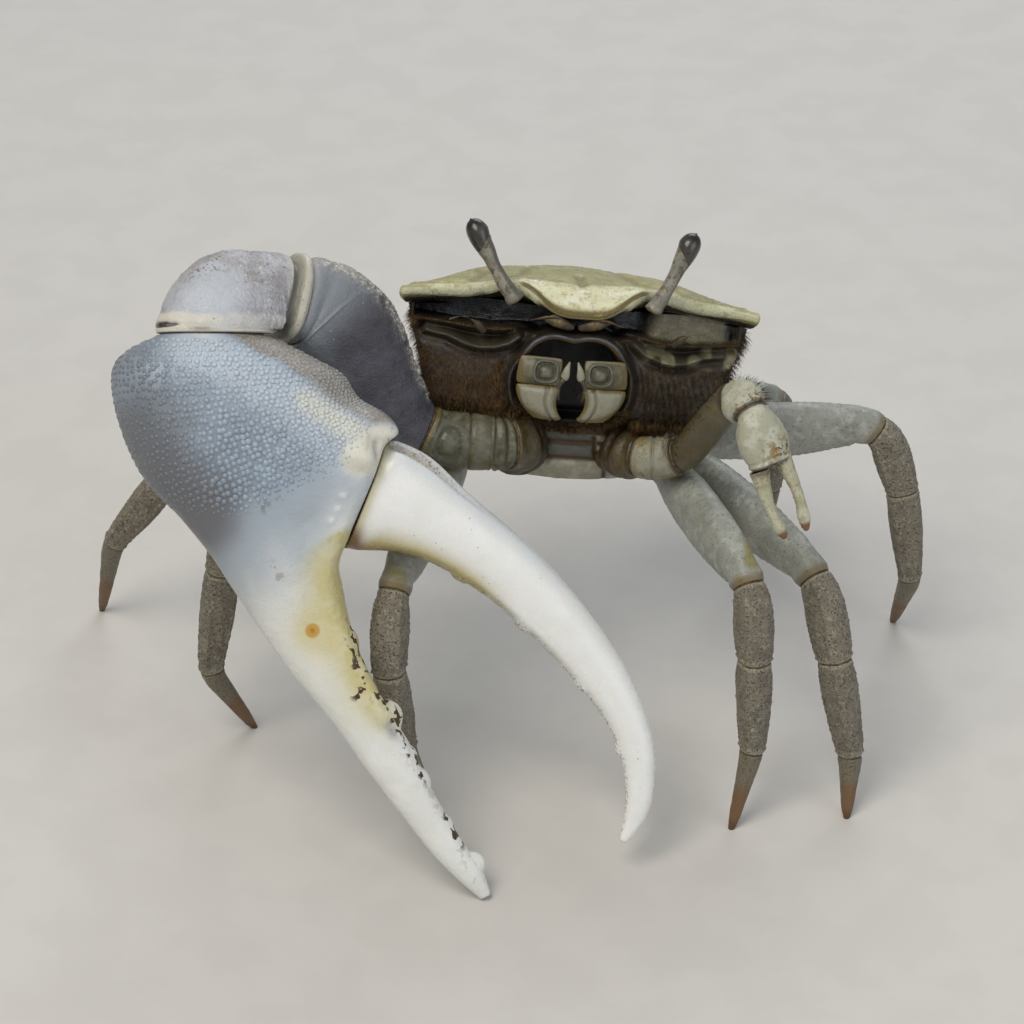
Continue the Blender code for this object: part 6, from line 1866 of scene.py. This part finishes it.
def mouthPlate(kind, sign):
    # s runs from the inner edge to the outer, t from the top down; corners round off,
    # and the two plates together bulge as one low dome
    plan = mouthPlan[kind]
    s, t = np.meshgrid(np.linspace(-1, 1, 84), np.linspace(-1, 1, 70))
    a = (s * (1 - 0.07 * np.abs(t) ** 5) + 1) / 2
    b = (t * (1 - 0.10 * np.abs(s) ** 5) + 1) / 2
    z = plan["top"] + (plan["foot"] - plan["top"]) * b
    reach = plan["half"] * np.sqrt(np.clip(1 - ((z - mouthPlan["middle"][1]) / plan["deep"]) ** 2, 0.05, 1))
    inner = mouthPlan["inner"] + (0 if kind == "upper" else 0.010 * np.sin(math.pi * b) - 0.014 * b**3)
    x = inner + (reach - inner) * a
    dome = 0.024 * (1 - (x / 0.165) ** 2) - 0.020 * ((z + 0.235) / 0.11) ** 2
    crown = 0.012 * (1 - np.abs(s) ** 3) * (1 - np.abs(t) ** 3)
    if kind == "upper":
        # a rounded boss with a soft groove and a low ridge round it, near the inner edge
        ring = bossRing(s, t)
        crown = (crown + 0.006 * (1 - ramp(ring, 0.3, 0.85)) - 0.005 * hill(ring, 1.0, 0.16)
                 + 0.004 * hill(ring, 1.35, 0.16))
    else:
        crown = crown - 0.005 * hill(s, -0.38 + 0.12 * t, 0.09) + 0.003 * hill(s, -0.62 + 0.1 * t, 0.14)
    grain = 0.0012 * cloud(np.stack([x, z, 0 * x], -1) * crabWidth, 0.5 * mm, 7)
    y = mouthPlan["front"] - dome - crown - grain
    return inWorld(np.stack([sign * x + mouthPlan["middle"][0], y, z], axis=-1))


def paintPlate(kind):
    # the plate's masks, from distance to its boss and to its edges
    def paint(row, column, turn):
        s, t = 2 * column - 1, 2 * row - 1
        box = np.maximum(np.abs(s), np.abs(t))
        ring, low = bossRing(s, t), ramp(t + 0.6 * s, 0.45, 1.30)
        onTop = turn < 0.01
        masks = {"seam": (turn > 0.3) * 1.0, "joint": (turn > 0.8) * 1.0}
        if kind == "upper":
            shine = 0.8 * hill(ring, 1.38, 0.16) + 0.8 * (1 - ramp(ring, 0.3, 0.8))
            return {**masks, "bright": onTop * (0.75 * ramp(-t, 0.80, 0.96) + 0.25 * ramp(s, 0.2, 0.8)),
                    "dimple": 0.75 * hill(ring, 1.0, 0.22), "shine": onTop * np.clip(shine, 0, 1),
                    "ochre": np.clip(0.55 * ramp(box, 0.90, 1.0) + 0.55 * ramp(s, 0.1, 0.9), 0, 1)}
        return {**masks, "bright": 0.88 * onTop * (1 - ramp(box, 0.72, 1.0)) * (1 - 0.85 * low),
                "dimple": 0.45 * hill(s, -0.38 + 0.12 * t, 0.10), "shine": 0 * s,
                "ochre": np.clip(ramp(box, 0.86, 1.0) + 0.85 * low, 0, 1) * (turn < 0.3)}
    return paint


for side, sign in (("left", 1), ("right", -1)):
    for kind in ("lower", "upper"):
        plateFromSheet("mouth_plate_" + kind + "_" + side, mouthPlate(kind, sign), 0.016 * crabWidth,
                       0.005 * crabWidth, plateFinish, paintPlate(kind), outward=-bodyAxes[:, 1],
                       slot="mouthpart", nodes=("maxilliped_" + side,) if kind == "lower" else ())
    # palp: a pale pointed leaf under the slot, then two darker joints that bend back beside the gap
    t = np.linspace(0, 1, 14)
    spine = ((0, 0.012, -0.100, -0.164), (0.25, 0.019, -0.108, -0.186), (0.45, 0.024, -0.106, -0.210),
             (0.70, 0.040, -0.098, -0.240), (1, 0.034, -0.088, -0.276))
    path = inWorld(throughStations(spine, t) * (sign, 1, 1) + (mouthPlan["middle"][0], 0, 0))
    girth = ((0, 0.002, 0.002), (0.20, 0.009, 0.006), (0.40, 0.0115, 0.008), (0.47, 0.008, 0.007),
             (0.75, 0.009, 0.008), (1, 0.003, 0.003))
    palp = limb(runAlong(path), girth, unit(-bodyAxes[:, 1] + 0.3 * sign * bodyAxes[:, 0]), 90, 40,
                power=2.0, trim=(0, 0))
    a = palp["along"]
    relieve(palp, (-0.05 * hill(a, 0.45, 0.02) - 0.04 * hill(a, 0.72, 0.02)) * mm)
    closeLimb(palp, ((0.6, 0.02),), ((0.6, 0.03),))
    a = palp["along"]
    limbPiece("palp_" + side, palp, plateFinish,
              {"bright": 1.0 - ramp(a, 0.40, 0.46), "dimple": 0.9 * ramp(a, 0.44, 0.5),
               "seam": 0.5 * ramp(a, 0.8, 1) + 0.8 * hill(a, 0.45, 0.02),
               "ochre": 0.5 * hill(a, 0.72, 0.05), "shine": 0 * a, "joint": 0 * a}, slot="mouthpart")
print("mouthparts")


# tail flap folded under the breast

tailPlan = {"stations": ((0, 0.60, 0.078, -0.488), (0.15, 0.54, 0.096, -0.558), (0.35, 0.46, 0.090, -0.568),
                         (0.6, 0.38, 0.070, -0.560), (0.85, 0.30, 0.052, -0.552), (1, 0.25, 0.030, -0.548)),
            "joints": (0.14, 0.27, 0.40, 0.54, 0.70, 0.86), "halfHeight": 0.014}
shellUnderFinish = shellFinish("paleUnderside", {
    "ground": "#aaa58f",
    "tints": (
        mottled(1.4, "#c2bfae", (0.42, 0.62), 0.8),
        mottled(0.5, "#8a8468", (0.54, 0.68), 0.6),
        painted("seam", "#5b4726", 0.9),
    ),
    "relief": (bumps(0.4, 0.015),),
    "gloss": (0.42, 0.08),
    "shader": {"IOR": 1.5, "Subsurface Weight": 0.06, "Subsurface Scale": 0.0006},
})
t = np.linspace(0, 1, 120)
tail = throughStations(tailPlan["stations"], t)
angle = np.linspace(0, 2 * math.pi, 72, endpoint=False)
c, s = superRing(angle, 2.3)
groove = sum(hill(t, place, 0.012) for place in tailPlan["joints"])
high = tailPlan["halfHeight"] * (1 - 0.30 * groove)
wide = tail[:, 1] * (1 - 0.05 * groove)
local = np.stack([c[None] * wide[:, None], np.broadcast_to(tail[:, :1], (120, 72)),
                  tail[:, 2:3] + s[None] * high[:, None]], axis=-1)
part = {"rings": inWorld(local), "along": np.broadcast_to(t[:, None], (120, 72)),
        "around": np.broadcast_to(angle, (120, 72)), "ends": (bodyAxes[:, 1], -bodyAxes[:, 1])}
closeLimb(part, roundEnd, roundEnd)
a = part["along"]
limbPiece("tail_flap", part, shellUnderFinish,
          {"seam": sum(hill(a, place, 0.010) for place in tailPlan["joints"])}, slot="abdomen",
          nodes=("abdomen",))


# small claw

pincerPlan = {
    "root": (0.205, -0.02, -0.435),
    "steps": ((-8, 2, 0.125), (-52, 55, 0.375), (-67, 5, 0.10), (-48, -59, 0.165)),
    "coxa": ((0, 0.070, 0.065), (0.6, 0.072, 0.066), (1, 0.060, 0.056)),
    "ischium": ((0, 0.060, 0.056), (0.5, 0.062, 0.058), (1, 0.052, 0.050)),
    "merus": ((0, 0.046, 0.043), (0.5, 0.051, 0.047), (1, 0.047, 0.044)),
    "carpus": ((0, 0.050, 0.046), (0.5, 0.063, 0.056), (1, 0.050, 0.046)),
    "manus": ((0, 0.042, 0.040), (0.22, 0.060, 0.050), (0.6, 0.070, 0.052), (1, 0.058, 0.044)),
    "finger": ((0, 0.028, 0.032), (0.25, 0.021, 0.024), (0.7, 0.0145, 0.016), (0.88, 0.017, 0.015),
               (1, 0.009, 0.008)),
    "fingerLength": 0.20, "spread": -1,
}
# small claw: thin pale chitin, white-grey with ochre and brown mud stains, horny spoon tips
pincerFinish = shellFinish("stainedPincer", {
    "ground": "#a5a48f",
    "tints": (
        mottled(0.9, "#bdbeae", (0.42, 0.60), 0.85),
        mottled(0.45, "#86836a", (0.54, 0.66), 0.6),
        painted("yellow", "#aaa066", 0.85),
        # dark olive: the limb's own olive, darkened as painted shadow on the merus and coxa
        painted("olive", "#4b4124", 0.9),
        mottled(0.55, "#86641f", (0.50, 0.60), 0.95, detail=3.0, only=painted("stain")),
        mottled(0.30, "#3f2c14", (0.56, 0.62), 0.9, detail=3.0, only=painted("stain")),
        specked(0.5, "#5c4828", (0.06, 0.12), 0.8, only={"size": 0.9, "range": (0.46, 0.54)}),
        painted("dark", "#35260f", 0.85),
        painted("tip", "#6b451d", 0.92),
        painted("joint", "#4c3513", 0.95),
    ),
    "relief": (bumps(0.3, 0.02), bumps(0.10, 0.008)),
    "gloss": (0.36, 0.08),
    "shader": {"IOR": 1.5, "Subsurface Weight": 0.08, "Subsurface Scale": 0.0006},
})
joints = [inWorld((pincerPlan["root"][0] - 0.055, pincerPlan["root"][1] + 0.13, pincerPlan["root"][2])),
          inWorld(pincerPlan["root"])]
for azimuth, elevation, length in pincerPlan["steps"]:
    joints.append(joints[-1] + direction(azimuth, elevation) * length * crabWidth)
pincerRuns = centreLines(joints, [b * crabWidth for b in (0.04, 0.05, 0.05, 0.05)])
pincerParts = {}
for k, kind in enumerate(("coxa", "ischium", "merus", "carpus", "manus")):
    part = limb(pincerRuns[k], pincerPlan[kind], clawFace, 72, 66,
                trim=(0 if k == 0 else limbGap / 2, limbGap / 2))
    a, r, rings = part["along"], part["around"], part["rings"]
    lift = (0.03 * cloud(rings, 0.6 * mm, k) + 0.05 * hill(a, 0.97, 0.025) - 0.05 * hill(a, 0.90, 0.03)
            + 0.04 * beads(rings, 0.26 * mm, k) * (0.3 + 0.7 * ramp(np.sin(r), 0.3, 0.9)))
    if kind == "coxa":
        lift = lift + 0.10 * np.sin(2 * math.pi * a * 3)
    if kind == "ischium":
        lift = lift - 0.12 * hill(a, 0.35, 0.04)
    relieve(part, lift * mm)
    pincerParts[kind] = part
fingerAxis = direction(*pincerPlan["steps"][3][:2])
fingerWide = unit(clawFace - (clawFace @ fingerAxis) * fingerAxis)
fingerAcross = np.cross(fingerWide, fingerAxis)
for kind, sign in (("dactyl", -1), ("pollex", 1)):
    start = joints[-1] + sign * fingerAcross * 0.036 * crabWidth
    spread = math.radians(pincerPlan["spread"]) * sign
    way = math.cos(spread) * fingerAxis + math.sin(spread) * fingerAcross
    t = np.linspace(0, 1, 9)[:, None]
    end = start + way * pincerPlan["fingerLength"] * crabWidth
    path = start * (1 - t) + end * t + np.sin(math.pi * t) * fingerAcross * sign * 0.22 * mm
    if kind == "pollex":
        path[0] = path[0] - way * 0.8 * mm
    part = limb((path, fingerAxis, unit(path[-1] - path[-2])), pincerPlan["finger"], clawFace, 90, 56,
                trim=(limbGap / 2, 0) if kind == "dactyl" else (0, 0))
    a, r, rings = part["along"], part["around"], part["rings"]
    inner = roundHill(r, math.pi / 2 if sign < 0 else -math.pi / 2, 0.4)
    relieve(part, (0.05 * inner * beads(rings, 0.3 * mm, 3) + 0.02 * cloud(rings, 0.4 * mm, 4)
                   - 0.06 * fromAngle(r, 0, 20) * ramp(a, 0.1, 0.3) * (1 - ramp(a, 0.7, 0.85))) * mm)
    closeLimb(part, shellEnd, ((0.85, 0.08), (0.5, 0.14)))
    a = part["along"]
    limbPiece("pincer_" + kind + "_shell", part, pincerFinish,
              {"yellow": 0.35 + 0 * a, "olive": 0 * a, "dark": 0.6 * hill(a, 0, 0.08),
               "stain": (1 - ramp(a, 0.1, 0.35)) * (1.0 if sign > 0 else 0.5)
               + 0.4 * hill(a, 0.5, 0.2) * (sign > 0),
               "tip": ramp(a, 0.88, 0.97), "joint": part["socket"]},
              slot="pincer", nodes=("pincer_dactyl",) if kind == "dactyl" else ())
pincerOpen = {kind: dict(part) for kind, part in pincerParts.items()}
for kind, part in pincerParts.items():
    closeLimb(part)
    a, r, rings = part["along"], part["around"], part["rings"]
    patchy = ramp(cloud(rings, 0.8 * mm, 51), -0.4, 0.4)
    stains = {"manus": ramp(a, 0.40, 0.75) * ramp(np.sin(r), -0.6, 0.5), "carpus": 0.3 + hill(a, 1, 0.1),
              "merus": 0.25 * patchy, "ischium": 0.6 * patchy, "coxa": 0.5 + 0 * a}
    limbPiece("pincer_" + kind + "_shell", part, pincerFinish,
              {"yellow": {"merus": 0.8, "ischium": 0.6, "coxa": 0.8}.get(kind, 0.15) * patchy,
               # olive: the limb's own olive, with painted shadow over the merus and coxa
               "olive": {"merus": 0.85, "ischium": 0.55, "coxa": 0.9}.get(kind, 0.0) + 0 * a,
               "stain": np.clip(stains[kind], 0, 1),
               # dark at the joints, with painted shadow over the coxa and merus
               "dark": 0.8 * hill(a, 1, 0.03) + 0.5 * hill(a, 0, 0.02)
               + {"coxa": 0.9, "merus": 0.45}.get(kind, 0) * (1 - 0.5 * ramp(a, 0.6, 0.9)),
               "tip": 0 * a, "joint": part["socket"]},
              slot="pincer", nodes=("pincer_" + kind,) if kind != "coxa" else ())
kinds = list(pincerOpen)
for before, after in zip(kinds, kinds[1:]):
    membrane("pincer_" + after + "_skin", pincerOpen[before], pincerOpen[after], jointSkin,
             share=0.88, slot="pincer")
print("small claw")


# hair: short pile on the face, fringes on its edges, fuzz on the arm, bristles on the limbs


def hairFinish(name, ground, light, dark):
    # a dull brown bristle, some lighter and some darker than the rest
    return shellFinish(name, {
        "ground": ground,
        "tints": (mottled(0.8, light, (0.45, 0.62), 0.8), mottled(0.5, dark, (0.52, 0.66), 0.7),
                  painted("foot", dark, 0.6)),
        "gloss": (0.5, 0.08),
        "shader": {"IOR": 1.5},
    })


goldenHair = hairFinish("goldenPile", "#5d4420", "#7c5e2e", "#332410")
brownHair = hairFinish("brownPile", "#342715", "#4d3a1e", "#1d150b")
oliveHair = hairFinish("oliveFuzz", "#8d8660", "#aaa588", "#5b5333")


def scatterRoots(rings, weight, density, seed):
    # seeded places spread over the rings by area and weight, density per square mm
    rng = np.random.default_rng(seed)
    normals = ringNormals(rings)
    count, sides = rings.shape[:2]
    down, right = rings[1:] - rings[:-1], np.roll(rings, -1, axis=1) - rings
    area = np.linalg.norm(np.cross(down, right[:-1]), axis=-1) / mm ** 2
    share = (area * weight[:-1]).ravel()
    number = int(share.sum() * density)
    pick = rng.choice(len(share), number, p=share / share.sum())
    i, j = pick // sides, pick % sides
    f, g = rng.random((2, number, 1))
    k = (j + 1) % sides
    place = np.stack([(j + g[:, 0]) / sides, (i + f[:, 0]) / count], axis=-1)
    corners = (i, j, k, f, g)
    return between(rings, *corners), unit(between(normals, *corners)), place, rng


def hairs(name, roots, normals, ways, lengths, thick, finish, slot, place, bend):
    # blades of three sides that thin to a point, each bent sideways a little at its middle;
    # the map holds each one as a patch at its root's place on the skin's own rows and columns
    count = len(roots)
    side = unit(np.cross(ways, normals + 0.01))
    other = np.cross(side, ways)
    angle = np.arange(3) * 2 * math.pi / 3
    lengths = np.broadcast_to(np.asarray(lengths, float).reshape(-1, 1, 1), (count, 1, 1))
    circle = np.cos(angle)[None, :, None] * side[:, None] + np.sin(angle)[None, :, None] * other[:, None]
    foot = roots[:, None] + circle * thick - normals[:, None] * 0.06 * mm
    mid = (roots[:, None] + circle * thick * 0.7 + ways[:, None] * lengths * 0.5
           + bend[:, None] * lengths * 0.05)
    tip = roots + ways * lengths[:, 0] + bend * lengths[:, 0] * 0.22
    points = np.concatenate([foot, mid, tip[:, None]], axis=1)
    j, k = np.arange(3), np.array((1, 2, 0))
    base = (np.arange(count) * 7)[:, None, None]
    quads = (base + np.stack([j, k, 3 + k, 3 + j], axis=-1)[None]).reshape(-1, 4)
    fans = (base + np.stack([3 + j, 3 + k, np.full(3, 6)], axis=-1)[None]).reshape(-1, 3)
    bottoms = base[:, :, 0] + j[None, ::-1]
    piece = makePiece(name, points, [quads, fans, bottoms], finish,
                      {"foot": np.tile([1.0, 1, 1, 0.3, 0.3, 0.3, 0], count)}, slot=slot)
    spread = np.array(((-1, -1), (1, -1), (0, -1), (-0.7, 0.3), (0.7, 0.3), (0, 0.3), (0, 1))) * 0.0015
    patch = np.clip(place[:, None] + spread[None], 0.0016, 0.9984).reshape(-1, 2)
    corners = np.empty(len(piece.data.loops), np.int32)
    piece.data.loops.foreach_get("vertex_index", corners)
    layer = piece.data.uv_layers.new(name="OFBake")
    layer.data.foreach_set("uv", patch[corners].astype(np.float32).ravel())
    return piece


def bodyHairs(name, weight, density, seed, way, sway, length, finish, spread=(0.5, 1.2), thick=0.020,
              rise=0.0, flat=False):
    # hair on the hull: a common way, swayed by seeded amounts and raised towards each root's normal;
    # its tip bends down, or with flat back to the skin
    roots, normals, place, rng = scatterRoots(hullRings, weight, density, seed)
    ways = unit(way + rise * normals + rng.normal(0, sway, roots.shape))
    lengths = length * mm * rng.uniform(*spread, len(roots))
    bend = -normals if flat else -np.repeat(bodyZ[None], len(roots), 0)
    hairs(name, roots, normals, ways, lengths, thick * mm, finish, "body", place, bend)


bodyX, bodyY, bodyZ = bodyAxes.T
bodySides = (("left", -1), ("right", 1))
pileZone = np.clip(pileSide, 0, 1)
for side, sign in bodySides:
    finish, length, density = (goldenHair, 0.75, 95) if side == "left" else (brownHair, 0.70, 80)
    roots, normals, place, rng = scatterRoots(hullRings, pileZone * (sign * hullX > 0), density, 40 + sign)
    flow = unit(-bodyZ[None] - 0.45 * sign * bodyX[None] + rng.normal(0, 0.22, roots.shape))
    lengths = length * mm * rng.uniform(0.6, 1.15, len(roots))
    hairs("face_pile_" + side, roots, normals, unit(flow + 0.28 * normals), lengths, 0.020 * mm,
          finish, "body", place, -normals * 0.8)
# fringe on the face's side edges and on its corners, standing out sideways
halfAt = np.abs(hullX).max(axis=1, keepdims=True)
for side, sign in bodySides:
    weight = hullFacing * np.exp(-((np.abs(hullX) - halfAt + 0.010) / 0.010) ** 2) * (sign * hullX > 0)
    weight = weight * ramp(-hullLevel, 0.055, 0.075) * (1 - ramp(-hullLevel, 0.33, 0.36))
    way = sign * bodyX * 0.9 - 0.75 * bodyZ - 0.35 * bodyY
    bodyHairs("side_fringe_" + side, weight, 190, 50 + sign, way, 0.28, 0.70,
              brownHair if sign > 0 else goldenHair)
# longer hairs along the face's lower edge, hanging over the legs' roots
weight = hullFacing * hill(hullLevel, -0.333, 0.010) * ramp(np.abs(hullX), 0.16, 0.19)
bodyHairs("face_lower_fringe", weight * (np.abs(hullX) < 0.40), 240, 61, -bodyZ - 0.55 * bodyY, 0.22, 0.85,
          goldenHair, spread=(0.5, 1.15))
# hairs round the mouth frame's lower half and under the plates
weight = hullFacing * hill(marks["outside"], 0.012, 0.010) * ramp(-hullLevel, 0.28, 0.33)
bodyHairs("mouth_fringe", weight, 170, 62, 0.35 * bodyZ - 0.8 * bodyY, 0.40, 0.75, goldenHair)
# very short fuzz along the ridge under each eye
bodyHairs("orbit_fuzz", hullFacing * np.clip(marks["bead"], 0, 1), 220, 63, 0.5 * bodyZ - bodyY, 0.25, 0.26,
          brownHair, spread=(0.6, 1.2), thick=0.016, flat=True)
# thin scattered hair on the flanks behind the face
weight = (1 - hullFacing) * ramp(-hullLevel, 0.07, 0.10) * (1 - ramp(-hullLevel, 0.30, 0.35))
bodyHairs("flank_hairs", weight, 11, 64, -0.8 * bodyZ, 0.25, 0.55, brownHair, rise=0.8, flat=True)


def limbHairs(name, part, weight, density, length, finish, slot, seed, thick=0.018, lean=0.5, tilt=0.25):
    # hairs on a limb: they stand out from it and lean towards its far end
    roots, normals, place, rng = scatterRoots(part["rings"], weight, density, seed)
    onward = unit(part["rings"][-1].mean(axis=0) - part["rings"][0].mean(axis=0))
    ways = unit(normals + lean * onward + rng.normal(0, tilt, roots.shape))
    hairs(name, roots, normals, ways, length * mm * rng.uniform(0.5, 1.2, len(roots)), thick * mm,
          finish, slot, place, np.repeat(onward[None], len(roots), 0))


arm = clawOpen["merus"]
limbHairs("claw_arm_fuzz", arm, fromAngle(arm["around"], 88, 17) * ramp(arm["along"], 0.02, 0.1), 34, 0.34,
          oliveHair, "claw_arm", 71)
for kind, density in (("merus", 9), ("carpus", 16), ("ischium", 5)):
    part = pincerOpen[kind]
    limbHairs("pincer_" + kind + "_hairs", part, fromAngle(part["around"], 80, 45), density, 0.60, brownHair,
              "pincer", 72)
print("hair")

# camera at the photograph's height, plain floor and soft studio light
cameraPlan = {"target": (0.0, 0.0, 14.0), "elevation": 32.0, "distance": 230.0, "span": 74.0}
look = cameraPlan["elevation"]
forward = np.array((0.0, math.cos(math.radians(look)), -math.sin(math.radians(look))))
spot = np.array(cameraPlan["target"]) * mm + standShift - forward * cameraPlan["distance"] * mm
cameraData = bpy.data.cameras.new("camera")
cameraData.sensor_width = 36.0
cameraData.lens = 36.0 * cameraPlan["distance"] / cameraPlan["span"]
cameraData.clip_start, cameraData.clip_end = 0.005, 10.0
camera = bpy.data.objects.new("camera", cameraData)
camera.location = spot
camera.rotation_euler = (math.radians(90 - look), 0, 0)
bpy.context.scene.collection.objects.link(camera)
bpy.context.scene.camera = camera

# matt pale board, so fine it shows only a faint grain
floorFinish = shellFinish("paleFloor", {
    "ground": "#c9c6c0",
    "tints": (
        mottled(6.0, "#cfccc6", (0.4, 0.6), 0.5),
    ),
    "gloss": (0.8, 0.02),
})
floorMesh = bpy.data.meshes.new("floor")
floorMesh.from_pydata([(-1.5, -1.5, 0), (1.5, -1.5, 0), (1.5, 1.5, 0), (-1.5, 1.5, 0)], [], [(0, 1, 2, 3)])
floorMesh.materials.append(floorFinish)
floor = bpy.data.objects.new("floor", floorMesh)
bpy.context.scene.collection.objects.link(floor)

world = bpy.data.worlds.new("studio")
world.use_nodes = True
world.node_tree.nodes["Background"].inputs["Color"].default_value = (*hexToLinear("#dfe4ea"), 1)
world.node_tree.nodes["Background"].inputs["Strength"].default_value = 0.45
bpy.context.scene.world = world
lightPlan = {     # place in mm, size in mm, power in watts, colour
    "keyLight": ((-120, -160, 330), 220, 0.85, "#fff8ee"),
    "fillLight": ((260, -240, 170), 260, 0.28, "#eef3ff"),
    "backLight": ((60, 280, 260), 240, 0.45, "#f7faff"),
}
for name, (place, size, power, tint) in lightPlan.items():
    lamp = bpy.data.lights.new(name, "AREA")
    lamp.size = size * mm
    lamp.energy = power
    lamp.color = hexToLinear(tint)
    holder = bpy.data.objects.new(name, lamp)
    holder.location = np.array(place) * mm
    away = unit(np.array(place, float) - (0, 0, 15))
    azimuth = math.atan2(away[0], -away[1])
    holder.rotation_euler = (math.acos(away[2]), 0, azimuth)
    bpy.context.scene.collection.objects.link(holder)
bpy.context.scene.view_settings.view_transform = "Standard"
